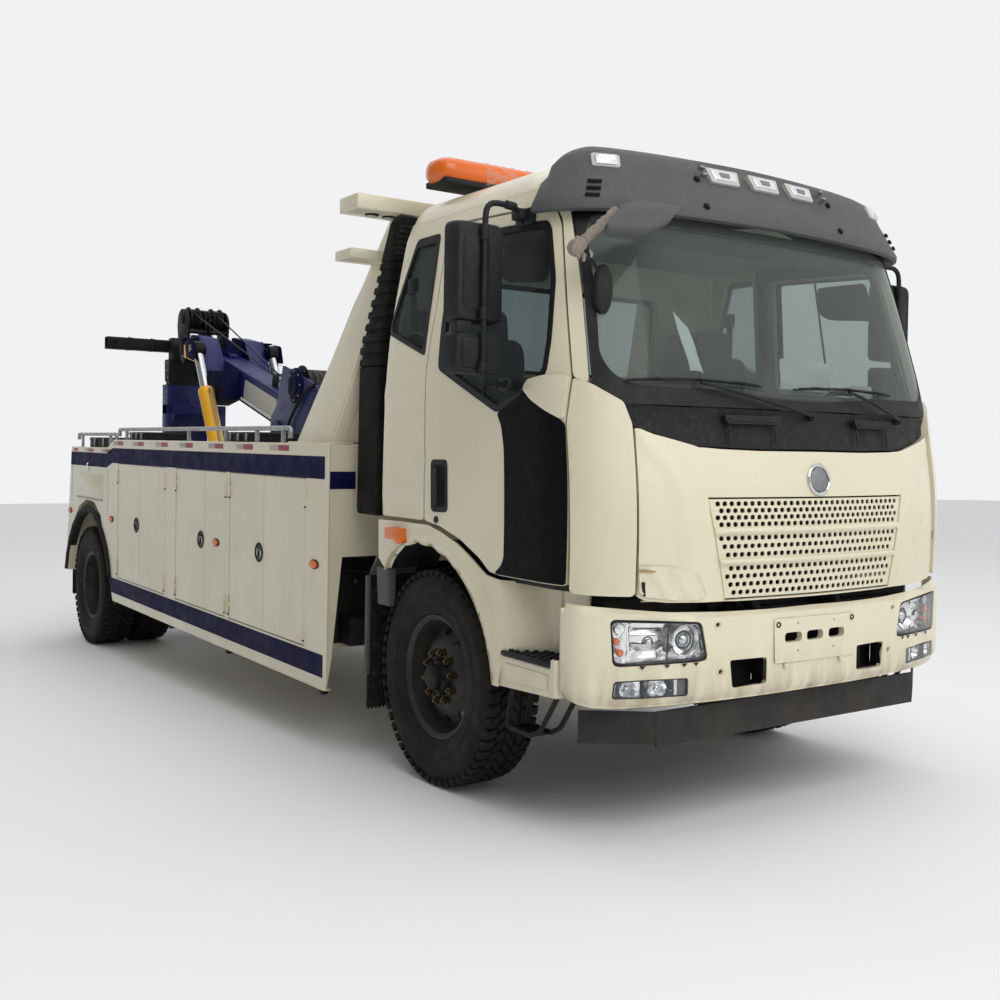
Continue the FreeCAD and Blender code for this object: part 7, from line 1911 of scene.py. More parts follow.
    # worn yellow edge of the clevis
    b.prism("Y", rounded([(-5.735, 2.352), (-5.76, 2.47), (-5.735, 2.478), (-5.70, 2.36)], 0.008, 2), 0.417, 0.424, "yellow_paint", 0.001, M)
    b.tube([(-5.70, 0.419, 2.358), (-5.44, 0.419, 2.305)], 0.003, "yellow_paint", n=8, M=M)
    # hydraulic lines along the side
    b.tube([bl(-0.20, 0.146, -0.085), bl(-0.75, 0.140, -0.128), bl(-1.7, 0.138, -0.128)], 0.009, "rubber", n=8, M=M)
b.cyl((-3.55, -0.44, 1.69), (-3.55, 0.44, 1.69), 0.035, "bare_metal", n=24, bev=0.003)
# mouth ring of the outer boom
for y0, y1, z0, z1 in ((-0.135, 0.135, 0.118, 0.135), (-0.135, 0.135, -0.135, -0.118), (-0.135, -0.12, -0.12, 0.12), (0.12, 0.135, -0.12, 0.12)):
    b.box(-2.582, -2.53, y0, y1, z0, z1, "navy_paint", 0.003, BP)
# rope guide on the boom's back
for y in (-0.055, 0.055):
    b.box(-1.10, -0.98, y - 0.006, y + 0.006, 0.118, 0.215, "black_steel", 0.003, BP)
for x in (-1.07, -1.01):
    b.cyl(bl(x, -0.058, 0.185), bl(x, 0.058, 0.185), 0.014, "bare_metal", n=16, bev=0.002)
for y in (-0.036, 0.036, 0.0):
    b.cyl(bl(-1.04, y, 0.118), bl(-1.04, y, 0.205), 0.009, "bare_metal", n=12)
# cross sheet between the housings, notched for the ropes, in the darker navy of painted shade
b.prism("X", [(-0.124, 2.34), (-0.124, 2.54), (-0.088, 2.54), (-0.086, 2.475), (-0.044, 2.475), (-0.042, 2.54), (0.042, 2.54), (0.044, 2.475), (0.086, 2.475), (0.088, 2.54), (0.124, 2.54), (0.124, 2.34)], -5.735, -5.723, "navy_painted_shade", 0.001)
# lifting eye and small block near the housing
b.box(-2.30, -2.18, -0.04, 0.04, 0.118, 0.15, "navy_paint", 0.006, BP)
b.done(replaces=("boom_outer",))

e = Piece("boom_tip", "boom_extension", "navy_paint")
sec2 = rounded([(-0.105, -0.10), (0.105, -0.10), (0.105, 0.10), (-0.105, 0.10)], 0.022, 4)
e.ring([[bl(x, y, z) for y, z in sec2] for x in (-2.965, -2.4, -1.6, -0.915)], "navy_paint")
HEAD = [(-2.94, -0.10), (-3.01, -0.115), (-3.17, 0.06), (-3.25, 0.22), (-3.245, 0.33), (-3.17, 0.395), (-3.03, 0.395), (-2.94, 0.33), (-2.91, 0.06)]
for s in (-1, 1):
    M2 = (MIR @ BP) if s < 0 else BP
    M = MIR if s < 0 else None
    e.prism("Y", rounded(HEAD, [0.02, 0.03, 0.05, 0.07, 0.08, 0.09, 0.09, 0.08, 0.04], 4), 0.185, 0.205, "black_steel", 0.003, M2)
    e.prism("Y", rounded([(-2.95, -0.08), (-3.02, -0.10), (-3.18, 0.20), (-3.18, 0.38), (-3.02, 0.40), (-2.94, 0.25)], 0.04, 3), 0.012, 0.024, "black_steel", 0.002, M2)
    # sheave with its groove, bushing and pin boss
    e.lathe([(0.028, 0.062), (0.05, 0.062), (0.055, 0.075), (0.098, 0.075), (0.105, 0.062), (0.120, 0.062), (0.120, 0.072), (0.096, 0.098), (0.088, 0.110), (0.096, 0.122), (0.120, 0.148), (0.120, 0.158), (0.105, 0.158), (0.098, 0.145), (0.055, 0.145), (0.05, 0.158), (0.028, 0.158)],
            bl(-3.101, 0, 0.3), "Y", "black_steel", 40, M)
    e.lathe([(0.0, 0.205), (0.045, 0.205), (0.045, 0.214), (0.04, 0.218), (0.0, 0.218)], bl(-3.101, 0, 0.3), "Y", "black_steel", 24, M)
    # five holes in the sheave drawn as near-black discs: painted shade
    for a in range(5):
        an = a * 2 * math.pi / 5
        c = bl(-3.101 + 0.076 * math.cos(an), 0.158 * 1.0, 0.3 + 0.076 * math.sin(an))
        e.lathe([(0.0, -0.012), (0.011, -0.012), (0.011, -0.008), (0.0, -0.008)], c, "Y", "dark_hole", 12, M)
    # side rollers that keep the rope in its groove
    for x, z, r in ((-3.225, 0.31, 0.016), (-3.06, 0.388, 0.012), (-2.955, 0.21, 0.02)):
        e.cyl(bl(x, 0.024, z), bl(x, 0.186, z), r, "black_steel", n=18, bev=0.003, M=M)
    # rope end round the sheave and down to its hook
    pts = []
    for k in range(11):
        an = math.radians(40 + 160 * k / 10)
        pts.append(bl(-3.101 + 0.098 * math.cos(an), 0.110, 0.3 + 0.098 * math.sin(an)))
    e.tube(pts + [(pts[-1][0] - 0.006, 0.110, pts[-1][2] - 0.10)], 0.0068, "rope_steel", n=8, M=M, round_r=0.005)
    hx, hz = pts[-1][0] - 0.006, pts[-1][2] - 0.10
    e.cyl((hx, 0.110, hz + 0.01), (hx, 0.110, hz - 0.07), 0.016, "galvanised", n=14, bev=0.003, M=M)
    for k in (0.0, -0.03, -0.055):
        e.box(hx - 0.019, hx + 0.019, 0.10, 0.12, hz + k - 0.014, hz + k - 0.004, "galvanised", 0.002, M)
    e.lathe([(0.009, -0.007), (0.024, -0.007), (0.024, 0.007), (0.009, 0.007)], (hx, 0.110, hz - 0.09), "Y", "black_steel", 20, M)
    hook = [(hx, 0.110, hz - 0.108), (hx, 0.110, hz - 0.15), (hx - 0.035, 0.110, hz - 0.185), (hx - 0.03, 0.110, hz - 0.235), (hx + 0.012, 0.110, hz - 0.25), (hx + 0.045, 0.110, hz - 0.215), (hx + 0.04, 0.110, hz - 0.185)]
    e.tube(hook, 0.0135, "black_steel", n=10, M=M, round_r=0.03)
    for k in range(6):
        x, z = -2.72 - 0.035 * k, 0.0
    for x, z in ((-2.97, -0.04), (-2.97, 0.05), (-3.05, 0.0)):
        e.bolt(bl(x, s * 0.205, z), (0, s, 0), "galvanised", 0.009, 0.008)
e.box(-3.0, -2.955, -0.19, 0.19, -0.10, 0.10, "black_steel", 0.006, BP)
e.box(-3.13, -3.05, -0.19, 0.19, 0.383, 0.397, "black_steel", 0.004, BP)
e.box(-3.25, -3.235, -0.19, 0.19, 0.19, 0.33, "black_steel", 0.004, BP)
e.cyl(bl(-3.101, -0.21, 0.3), bl(-3.101, 0.21, 0.3), 0.03, "bare_metal", n=20)
e.done(replaces=("boom_inner",))

# ropes: drum to guide, guide to sheave
for side, s in (("left", 1), ("right", -1)):
    g0 = Vector(bl(-1.04, s * 0.018, 0.185))
    s0 = Vector(bl(-3.101 + 0.098 * math.cos(math.radians(40)), s * 0.110, 0.3 + 0.098 * math.sin(math.radians(40))))
    d0 = Vector((-3.215, s * 0.17, 1.905))
    for nm, a, c, ba, bb in (("upper", g0, s0, "boom", "boom_extension"), ("lower", d0, g0, "chassis", "boom")):
        p = Piece("rope_%s_%s" % (nm, side), ba)
        n = 26
        ax = (c - a)
        L = ax.length
        ax.normalize()
        u = ax.orthogonal().normalized()
        w = ax.cross(u)
        rings = []
        m = 12
        for i in range(n * 6 + 1):
            t = i / (n * 6)
            q = a + (c - a) * t
            tw = t * L / 0.07 * 2 * math.pi
            rings.append([q + (u * math.cos(2 * math.pi * j / m) + w * math.sin(2 * math.pi * j / m)) * 0.0066 * (1 + 0.10 * math.cos(6 * (2 * math.pi * j / m) + tw)) for j in range(m)])
        p.ring(rings, "rope_steel")
        ob = p.done(smooth=60, ride=False)
        R = T
        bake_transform(ob)

# winch frame
f = Piece("winch_housing", "chassis", "navy_paint")
WP = [(-3.68, 1.56), (-2.80, 1.56), (-2.78, 1.95), (-2.90, 2.03), (-3.45, 2.18), (-3.56, 1.88), (-3.68, 1.79)]
for s in (-1, 1):
    M = MIR if s < 0 else None
    f.prism("Y", rounded(WP, [0.01, 0.01, 0.03, 0.04, 0.02, 0.05, 0.04], 4), 0.42, 0.436, "navy_paint", 0.003, M)
    # stiffened rim and bosses; the outer boss in the darker navy of painted shade
    f.lathe([(0.035, 0.436), (0.085, 0.436), (0.085, 0.448), (0.08, 0.452), (0.035, 0.452)], (-3.55, 0, 1.69), "Y", "navy_paint", 28, M)
    f.lathe([(0.0, 0.436), (0.13, 0.436), (0.13, 0.444), (0.118, 0.452), (0.075, 0.456), (0.066, 0.466), (0.0, 0.466)], (-3.2, 0, 2.02), "Y", "navy_painted_shade", 32, M)
    for a in range(8):
        an = a * math.pi / 4
        f.bolt((-3.2 + 0.105 * math.cos(an), s * 0.449, 2.02 + 0.105 * math.sin(an)), (0, s, 0), "galvanised", 0.007, 0.008)
    f.cyl((-3.2, 0.36, 2.02), (-3.2, 0.42, 2.02), 0.024, "bare_metal", n=16, M=M)
    f.prism("X", [(0.436, 1.582), (0.515, 1.582), (0.436, 1.70)], -3.62, -3.61, "navy_paint", 0.002, M)
    f.prism("X", [(0.436, 1.582), (0.515, 1.582), (0.436, 1.70)], -2.86, -2.85, "navy_paint", 0.002, M)
    for x in (-3.64, -3.4, -3.1, -2.84):
        f.bolt((x, s * 0.495, 1.582), (0, 0, 1), "galvanised", 0.011, 0.012)
    # hoses looping over the plate to the deck
    f.tube([(-2.84, 0.445, 2.02), (-2.98, 0.452, 1.99), (-3.16, 0.455, 1.86), (-3.30, 0.455, 1.74), (-3.32, 0.455, 1.585)], 0.011, "rubber", n=10, M=M, round_r=0.07)
f.box(-3.68, -2.80, -0.52, 0.52, 1.56, 1.582, "navy_paint", 0.004)
f.box(-2.86, -2.80, -0.43, 0.43, 1.582, 1.70, "navy_paint", 0.005)
f.box(-3.24, -3.16, -0.012, 0.012, 1.582, 2.02, "navy_paint", 0.004)
f.lathe([(0.0, -0.055), (0.05, -0.055), (0.05, 0.055), (0.0, 0.055)], (-3.2, 0, 2.02), "Y", "black_steel", 24)
f.cyl((-2.93, -0.42, 2.0), (-2.93, 0.42, 2.0), 0.016, "navy_paint", n=14)
f.cyl((-3.42, -0.42, 2.135), (-3.42, 0.42, 2.135), 0.016, "navy_paint", n=14)
f.cyl((-3.42, -0.40, 2.135), (-3.42, -0.06, 2.135), 0.022, "black_steel", n=14)
f.cyl((-3.42, 0.06, 2.135), (-3.42, 0.40, 2.135), 0.022, "black_steel", n=14)
f.done(replaces=("winch_frame",))

for side, s in (("left", 1), ("right", -1)):
    M = MIR if s < 0 else None
    d = Piece("drum_" + side, "drum_" + side, "black_steel")
    d.lathe([(0.026, 0.05), (0.144, 0.05), (0.150, 0.053), (0.150, 0.059), (0.144, 0.062), (0.095, 0.062), (0.095, 0.388), (0.144, 0.388), (0.150, 0.391), (0.150, 0.397), (0.144, 0.40), (0.026, 0.40)], (-3.2, 0, 2.02), "Y", "black_steel", 48, M)
    # wound rope, two layers, the outer one uneven
    prof = [(0.09, 0.064)]
    y, k = 0.0705, 0
    while y < 0.384:
        lay = 0.1085 if 0.11 < y < 0.33 else 0.1015
        lay += 0.003 * math.sin(k * 1.7)
        for a in (150, 120, 90, 60, 30):
            prof.append((lay + 0.0066 * math.sin(math.radians(a)), y + 0.0066 * math.cos(math.radians(a))))
        y += 0.0132
        k += 1
    prof.append((0.09, 0.386))
    d.lathe(prof, (-3.2, 0, 2.02), "Y", "rope_steel", 48, M)
    for a in range(6):
        an = a * math.pi / 3
        for yy, dr in ((0.4, 1), (0.05, -1)):
            d.bolt((-3.2 + 0.12 * math.cos(an), s * yy, 2.02 + 0.12 * math.sin(an)), (0, s * dr, 0), "galvanised", 0.007, 0.004)
    d.done(replaces=("winch_drum_" + side,))

# ------------------------------------------------------------------ lift cylinders
F0, E0 = Vector((-4.8, 0, 1.13)), Vector((-5.6, 0, 2.43))
AX = (E0 - F0).normalized()
CL = (E0 - F0).length
bb = Piece("lift_cylinder_barrels", "lift_barrels", "yellow_paint")
rr = Piece("lift_cylinder_rods", "lift_rods", "chrome")
for s in (-1, 1):
    c = F0 + Vector((0, 0.35, 0))
    M = MIR if s < 0 else None
    bb.lathe([(0.0, -0.04), (0.06, -0.04), (0.068, -0.03), (0.068, 0.05), (0.066, 0.056), (0.066, 1.0), (0.068, 1.004), (0.068, 1.085), (0.064, 1.095), (0.046, 1.0955), (0.0435, 1.08), (0.0, 1.08)], c, AX, "yellow_paint", 36, M)
    bb.lathe([(0.043, 1.088), (0.052, 1.088), (0.052, 1.098), (0.049, 1.101), (0.0435, 1.098)], c, AX, "seal_rubber", 28, M)
    bb.cyl((-4.8, 0.28, 1.13), (-4.8, 0.42, 1.13), 0.055, "yellow_paint", n=24, bev=0.004, M=M)
    u = AX.cross(Vector((0, 1, 0))).normalized()
    for h in (0.12, 1.04):
        q = c + AX * h - u * 0.062
        bb.cyl(q, q - u * 0.03, 0.016, "yellow_paint", n=12, M=M)
        bb.cyl(q - u * 0.03, q - u * 0.045, 0.013, "galvanised", n=6, M=M)
    q = c + AX * 1.04 - u * 0.105
    bb.tube([q, q - AX * 0.05 - u * 0.01, c + AX * 0.55 - u * 0.09, c + AX * 0.2 - u * 0.09], 0.008, "bare_metal", n=8, M=M)
    rr.lathe([(0.0, 0.3), (0.042, 0.3), (0.042, CL - 0.07), (0.036, CL - 0.062), (0.0, CL - 0.062)], c, AX, "chrome", 32, M)
    e0 = Vector((-5.6, 0, 2.43))
    rr.lathe([(0.050, 0.306), (0.071, 0.306), (0.075, 0.31), (0.075, 0.39), (0.071, 0.394), (0.050, 0.394)], e0, "Y", "black_steel", 36, M)
    rr.lathe([(0.028, 0.308), (0.050, 0.308), (0.050, 0.392), (0.028, 0.392)], e0, "Y", "brass", 28, M)
bb.cyl((-4.8, -0.47, 1.13), (-4.8, 0.47, 1.13), 0.03, "bare_metal", n=20, bev=0.003)
bb.done(replaces=("lift_barrels",))
rr.done(replaces=("lift_rods",))

# ------------------------------------------------------------------ underlift
c = Piece("underlift_mount", "chassis", "navy_paint")
for s in (-1, 1):
    M = MIR if s < 0 else None
    c.box(-6.76, -6.64, 0.215, 0.30, 0.70, 1.96, "navy_paint", 0.008, M)
    c.box(-6.76, -6.30, 0.23, 0.426, 0.71, 0.90, "navy_paint", 0.008, M)
    c.prism("Y", rounded([(-7.04, 0.66), (-7.03, 0.79), (-6.95, 0.80), (-6.70, 0.80), (-6.70, 0.64), (-7.0, 0.64)], 0.03, 4), 0.215, 0.255, "navy_paint", 0.004, M)
    c.lathe([(0.032, 0.255), (0.06, 0.255), (0.06, 0.264), (0.055, 0.267), (0.032, 0.267)], (-6.98, 0, 0.72), "Y", "navy_paint", 24, M)
    c.prism("Y", [(-6.64, 0.90), (-6.45, 0.90), (-6.64, 1.22)], 0.25, 0.262, "navy_paint", 0.002, M)
    for z in (0.76, 0.85):
        for x in (-6.38, -6.5):
            c.bolt((x, s * 0.426, z), (0, s, 0), "galvanised", 0.012, 0.012)
    # hydraulic lines up the post
    c.tube([(-6.62, 0.27, 0.92), (-6.615, 0.27, 1.6), (-6.615, 0.22, 1.8)], 0.011, "rubber", n=8, M=M)
c.box(-6.70, -6.30, -0.426, 0.426, 0.71, 0.79, "navy_paint", 0.006)
c.box(-6.76, -6.64, -0.30, 0.30, 1.86, 1.96, "navy_paint", 0.008)
c.cyl((-6.98, -0.262, 0.72), (-6.98, 0.262, 0.72), 0.032, "bare_metal", n=20, bev=0.003)
# fold cylinder behind the arm's foot
c.cyl((-6.66, 0.0, 1.0), (-6.80, 0.0, 1.42), 0.05, "yellow_paint", n=24, bev=0.004)
c.cyl((-6.80, 0.0, 1.42), (-6.868, 0.0, 1.62), 0.028, "chrome", n=20)
c.box(-6.72, -6.62, -0.06, -0.045, 0.94, 1.06, "navy_paint", 0.003)
c.box(-6.72, -6.62, 0.045, 0.06, 0.94, 1.06, "navy_paint", 0.003)
c.done(replaces=("underlift_column",))

a = Piece("underlift_mast", "underlift", "navy_paint")
sec3 = rounded([(-7.08, -0.205), (-6.89, -0.205), (-6.89, 0.205), (-7.08, 0.205)], 0.018, 3)
sec4 = rounded([(-7.066, -0.187), (-6.904, -0.187), (-6.904, 0.187), (-7.066, 0.187)], 0.012, 3)
a.ring([[(x, y, z) for x, y in sec3] for z in (0.66, 0.9, 1.5, 2.10, 2.156)] + [[(x * 0.02 + u[0] * 0.98, y * 0.02 + u[1] * 0.98, 2.16) for (x, y), u in zip(sec4, sec3)]] + [[(x, y, z) for x, y in sec4] for z in (2.16, 2.0, 1.9)], "navy_paint")
for s in (-1, 1):
    M = MIR if s < 0 else None
    a.box(-7.079, -6.895, 0.2045, 0.2075, 1.98, 2.15, "navy_paint", 0.002, M) if False else None
    a.lathe([(0.033, 0.205), (0.07, 0.205), (0.07, 0.211), (0.033, 0.211)], (-6.98, 0, 0.72), "Y", "navy_paint", 24, M)
    for z in (1.96, 2.03, 2.10):
        for x in (-7.04, -6.93):
            a.bolt((x, s * 0.205, z), (0, s, 0), "galvanised", 0.009, 0.006)
# wear pad frame round the mouth
for x0, x1, y0, y1 in ((-7.079, -6.891, 0.188, 0.204), (-7.079, -6.891, -0.204, -0.188), (-7.079, -7.064, -0.188, 0.188), (-6.906, -6.891, -0.188, 0.188)):
    a.box(x0, x1, y0, y1, 2.15, 2.168, "black_steel", 0.003)
for k in range(9):
    a.box(-6.8895, -6.882, -0.02, 0.02, 0.95 + k * 0.13, 1.0 + k * 0.13, "navy_paint", 0.003)
a.done(replaces=("underlift_arm",))

s_ = Piece("underlift_stinger", "underlift_slider", "black_steel")
sec5 = rounded([(-7.058, -0.178), (-6.912, -0.178), (-6.912, 0.178), (-7.058, 0.178)], 0.016, 3)
s_.ring([[(x, y, z) for x, y in sec5] for z in (1.0, 1.6, 2.41)], "black_steel")
s_.prism("Y", rounded([(-7.07, 2.40), (-6.89, 2.40), (-6.89, 2.55), (-6.94, 2.64), (-7.07, 2.64)], 0.02, 4), -0.15, 0.15, "black_steel", 0.005)
for sgn in (-1, 1):
    M = MIR if sgn < 0 else None
    s_.prism("Y", rounded([(-7.06, 2.20), (-6.91, 2.20), (-6.90, 2.42), (-7.07, 2.42)], 0.02, 3), 0.150, 0.188, "black_steel", 0.004, M)
    for z in (2.24, 2.31, 2.38):
        s_.bolt((-6.95, sgn * 0.188, z), (0, sgn, 0), "galvanised", 0.009, 0.007)
        s_.bolt((-7.03, sgn * 0.188, z), (0, sgn, 0), "galvanised", 0.009, 0.007)
s_.cyl((-7.21, 0, 2.562), (-7.06, 0, 2.562), 0.03, "bare_metal", n=20, bev=0.003)
s_.cyl((-7.208, 0, 2.562), (-7.2015, 0, 2.562), 0.05, "black_steel", n=6)
s_.tube([(-6.905, 0.05, 2.45), (-6.88, 0.06, 2.38), (-6.885, 0.09, 2.30), (-6.905, 0.10, 2.24)], 0.009, "rubber", n=8)
s_.done(replaces=("underlift_slider",))

x_ = Piece("underlift_crossbar", "crossbar", "black_steel")
prof = rounded([(-7.20, 2.502), (-7.08, 2.502), (-7.08, 2.622), (-7.20, 2.622)], 0.012, 3)
hole = [(-7.188, 2.514), (-7.092, 2.514), (-7.092, 2.610), (-7.188, 2.610)]
hole = rounded(hole, 0.006, 3)
rings = [[(x, -0.60, z) for x, z in hole], [(x, -0.74, z) for x, z in hole], [(x, -0.74, z) for x, z in prof], [(x, 0.74, z) for x, z in prof], [(x, 0.74, z) for x, z in hole], [(x, 0.60, z) for x, z in hole]]
x_.ring(rings, "black_steel")
for sgn in (-1, 1):
    M = MIR if sgn < 0 else None
    x_.lathe([(0.025, -0.005), (0.04, -0.005), (0.04, 0.006), (0.036, 0.009), (0.025, 0.009)], (-7.08, 0.68, 2.562), "X", "black_steel", 24, M)
    # near-black disc inside the end boss: painted shade
    x_.lathe([(0.0, -0.008), (0.025, -0.008), (0.025, 0.006), (0.0, 0.006)], (-7.085, 0.68, 2.562), "X", "dark_hole", 20, M)
    for y in (0.30, 0.52):
        x_.box(-7.206 + 0.004, -7.078, y - 0.02, y + 0.02, 2.50, 2.624, "black_steel", 0.004, M)
        x_.bolt((-7.14, sgn * y, 2.624), (0, 0, 1), "galvanised", 0.009, 0.009)
x_.lathe([(0.0305, 0.0), (0.058, 0.0), (0.058, 0.006), (0.0305, 0.006)], (-7.0805, 0, 2.562), "X", "black_steel", 28)
x_.done(replaces=("crossbar",))
# ================================================================== inside of the cab
def soft(name, M, half, crown=.02, pull=.03, bolster=0.0, vox=.009, n=9.0):
    """Crowned closed form with sides pulled in between its corners; returns an object in its own frame."""
    b = bmesh.new()
    bmesh.ops.create_cube(b, size=2.0)
    bmesh.ops.subdivide_edges(b, edges=b.edges[:], cuts=30, use_grid_fill=True)
    hx, hy, hz = half
    for v in b.verts:
        p = v.co
        L = (abs(p.x) ** n + abs(p.y) ** n + abs(p.z) ** n) ** (1 / n)
        q = p / L
        x = q.x * hx * (1 - pull * (1 - q.y * q.y))
        y = q.y * hy * (1 - pull * (1 - q.x * q.x))
        z = q.z * hz
        if q.z > 0:
            z += crown * (1 - q.x * q.x) * (1 - q.y * q.y) + bolster * max(0.0, min(1.0, (abs(q.y) - .55) / .3)) * (1 - abs(q.x) ** 6)
        v.co = (x, y, z)
    me = bpy.data.meshes.new(name)
    b.to_mesh(me)
    b.free()
    ob = bpy.data.objects.new(name, me)
    bpy.context.scene.collection.objects.link(ob)
    return {"ob": ob, "M": M, "half": half, "vox": vox}


def puff(items, cap=.012):
    """Blow the pads up as cloth from a slightly smaller shape, then keep the result as plain meshes."""
    for it in items:
        ob = it["ob"]
        r = ob.modifiers.new("even", "REMESH")
        r.mode = "VOXEL"
        r.voxel_size = it["vox"]
        dg = bpy.context.evaluated_depsgraph_get()
        me = bpy.data.meshes.new_from_object(ob.evaluated_get(dg))
        ob.modifiers.clear()
        ob.data = me
        it["p0"] = np.array([v.co[:] for v in me.vertices])
        c = ob.modifiers.new("cloth", "CLOTH")
        s = c.settings
        s.quality = 5
        s.mass = .3
        s.tension_stiffness = 25
        s.compression_stiffness = 25
        s.bending_stiffness = 3
        s.use_pressure = True
        s.uniform_pressure_force = 4.0
        s.effector_weights.gravity = 0.0
        c.point_cache.frame_start, c.point_cache.frame_end = 1, 20
    sc = bpy.context.scene
    for f in range(1, 21):
        sc.frame_set(f)
    dg = bpy.context.evaluated_depsgraph_get()
    for it in items:
        ob = it["ob"]
        me = bpy.data.meshes.new_from_object(ob.evaluated_get(dg))
        ob.modifiers.clear()
        ob.data = me
        p1 = np.array([v.co[:] for v in me.vertices])
        if len(p1) == len(it["p0"]):
            d = p1 - it["p0"]
            L = np.linalg.norm(d, axis=1)[:, None]
            p1 = it["p0"] + d * np.minimum(1.0, cap / np.maximum(L, 1e-9))
            me.vertices.foreach_set("co", p1.astype(np.float32).ravel())
            me.update()
    sc.frame_set(1)


def sew(it, seams, depth=.010, w=.010, body="cab", mat="seat_fabric", replaces=()):
    """Seams and sewn channels pressed in after the cloth, then the pad goes to its place."""
    ob, (hx, hy, hz) = it["ob"], it["half"]
    me = ob.data
    P = np.array([v.co[:] for v in me.vertices])
    N = np.array([v.normal[:] for v in me.vertices])
    d = np.zeros(len(P))
    for axis, at, lim in seams:
        k, o = (0, 1) if axis == "x" else (1, 0)
        c = np.abs(P[:, k]) if axis == "ay" else P[:, k]
        on = (np.abs(P[:, o] / (hx, hy)[o]) < lim) & (P[:, 2] > -.2 * hz)
        d = np.maximum(d, np.where(on, depth * np.exp(-((c - at) / w) ** 2), 0))
    # welt round the rim
    rim = np.abs(P[:, 2] - .55 * hz) < .004
    d = np.where(rim & ((np.abs(P[:, 0]) > hx * .9) | (np.abs(P[:, 1]) > hy * .9)), -.0035, d)
    P = P - N * d[:, None]
    R = T @ it["M"]
    me.vertices.foreach_set("co", np.array([(R @ Vector(p))[:] for p in P], np.float32).ravel())
    me.materials.clear()
    me.materials.append(MATS[mat])
    me.polygons.foreach_set("use_smooth", [True] * len(me.polygons))
    me.update()
    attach(ob, body)
    if replaces:
        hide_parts(*replaces)
    return ob


pads = []
for side, sg in (("left", 1), ("right", -1)):
    y = sg * .78
    pads.append((soft("seat_cushion_" + side, Matrix.Translation((.19, y, 1.565)) @ Matrix.Rotation(math.radians(-4), 4, "Y"), (.245, .235, .062), .016, .03, .022),
                 [("x", .02, .62), ("x", .12, .62), ("x", -.08, .62), ("ay", .145, .93)]))
    Mb = Matrix.Translation((-.115, y, 1.885)) @ Matrix.Rotation(math.radians(82), 4, "Y")
    # the back lies in its own frame: x down, y across, z forward
    pads.append((soft("seat_back_" + side, Mb, (.262, .225, .050), .012, .03, .026),
                 [("x", -.10, .62), ("x", .0, .62), ("x", .10, .62), ("ay", .14, .93)]))
    Mh = Matrix.Translation((-.158, y, 2.205)) @ Matrix.Rotation(math.radians(82), 4, "Y")
    pads.append((soft("head_rest_" + side, Mh, (.072, .130, .042), .010, .05, .0, .008), [("x", .0, .8)]))
pads.append((soft("rear_bench_cushion", Matrix.Translation((-.338, 0, 1.625)), (.128, 1.03, .052), .014, .012, .0, .012), [("y", .0, .95), ("y", .36, .95), ("y", -.36, .95), ("y", .72, .95), ("y", -.72, .95)]))
puff([p[0] for p in pads])
for k, (it, seams) in enumerate(pads):
    sew(it, seams, replaces=("seats",) if k == 0 else ())

sf = Piece("seat_frames", "cab", "black_plastic")
for sg in (1, -1):
    y = sg * .78
    # pan, side valances with levers, folded bellows, foot plate, recliner cheeks
    sf.box(-.05, .42, y - .215, y + .215, 1.470, 1.508, "black_plastic", .012)
    for k in range(6):
        z = 1.335 + k * .022
        e = .0 if k % 2 else .018
        a, c = .175 + e, .16 + e
        sf.ring([[(.17 + a * u, y + c * v, z) for u, v in rounded([(-1, -1), (1, -1), (1, 1), (-1, 1)], .18, 3)], [(.17 + (a + (.018 if k % 2 else -.018)) * u, y + (c + (.018 if k % 2 else -.018)) * v, z + .022) for u, v in rounded([(-1, -1), (1, -1), (1, 1), (-1, 1)], .18, 3)]], "rubber")
    sf.box(-.04, .40, y - .19, y + .19, 1.312, 1.336, "chassis_black", .006)
    for yy in (y - .243, y + .243):
        sf.prism("Y", rounded([(-.20, 1.49), (.36, 1.49), (.40, 1.53), (.30, 1.56), (-.04, 1.57), (-.10, 1.66), (-.19, 1.66)], .03, 3), yy - .010, yy + .010, "black_plastic", .004)
        sf.cyl((-.10, yy - .016, 1.60), (-.10, yy + .016, 1.60), .030, "black_plastic", 20, bev=.004)
        sf.tube([(.20, yy, 1.515), (.26, yy + .012, 1.515), (.33, yy + .012, 1.522)], .008, "dash_plastic", 8)
    # back shell
    sf.prism("Y", rounded([(-.150, 1.62), (-.205, 2.10), (-.225, 2.26), (-.212, 2.27), (-.178, 2.10), (-.125, 1.62)], .02, 3), y - .19, y + .19, "dash_plastic", .012)
    for dy in (-.06, .06):
        sf.cyl((-.170, y + dy, 2.08), (-.180, y + dy, 2.19), .007, "chrome", 12)
    # inner arm rest
    yi = y - sg * .27
    sf.box(-.13, .22, yi - .028, yi + .028, 1.775, 1.822, "dash_plastic", .018)
    # belt: buckle stalk and webbing down the rear pillar
    sf.tube([(-.05, y - sg * .255, 1.50), (-.055, y - sg * .262, 1.60)], .009, "black_plastic", 8)
    sf.box(-.068, -.040, y - sg * .262 - .012, y - sg * .262 + .012, 1.595, 1.655, "black_plastic", .005)
    Y1 = sg * 1.075
    sf.box(-.335, -.285, min(Y1, Y1 - sg * .0025), max(Y1, Y1 - sg * .0025), 1.52, 2.36, "seal_rubber", .0008)
    sf.box(-.345, -.275, Y1 - .02, Y1 + .012, 2.34, 2.42, "black_plastic", .010)
sf.box(-.465, -.205, -1.04, 1.04, 1.318, 1.572, "lining", .012)
for y in (-.70, 0, .70):
    sf.box(-.206, -.198, y - .30, y + .30, 1.35, 1.53, "dash_plastic", .006)
    sf.box(-.200, -.190, y - .05, y + .05, 1.475, 1.492, "black_plastic", .004)
sf.done(smooth=40)

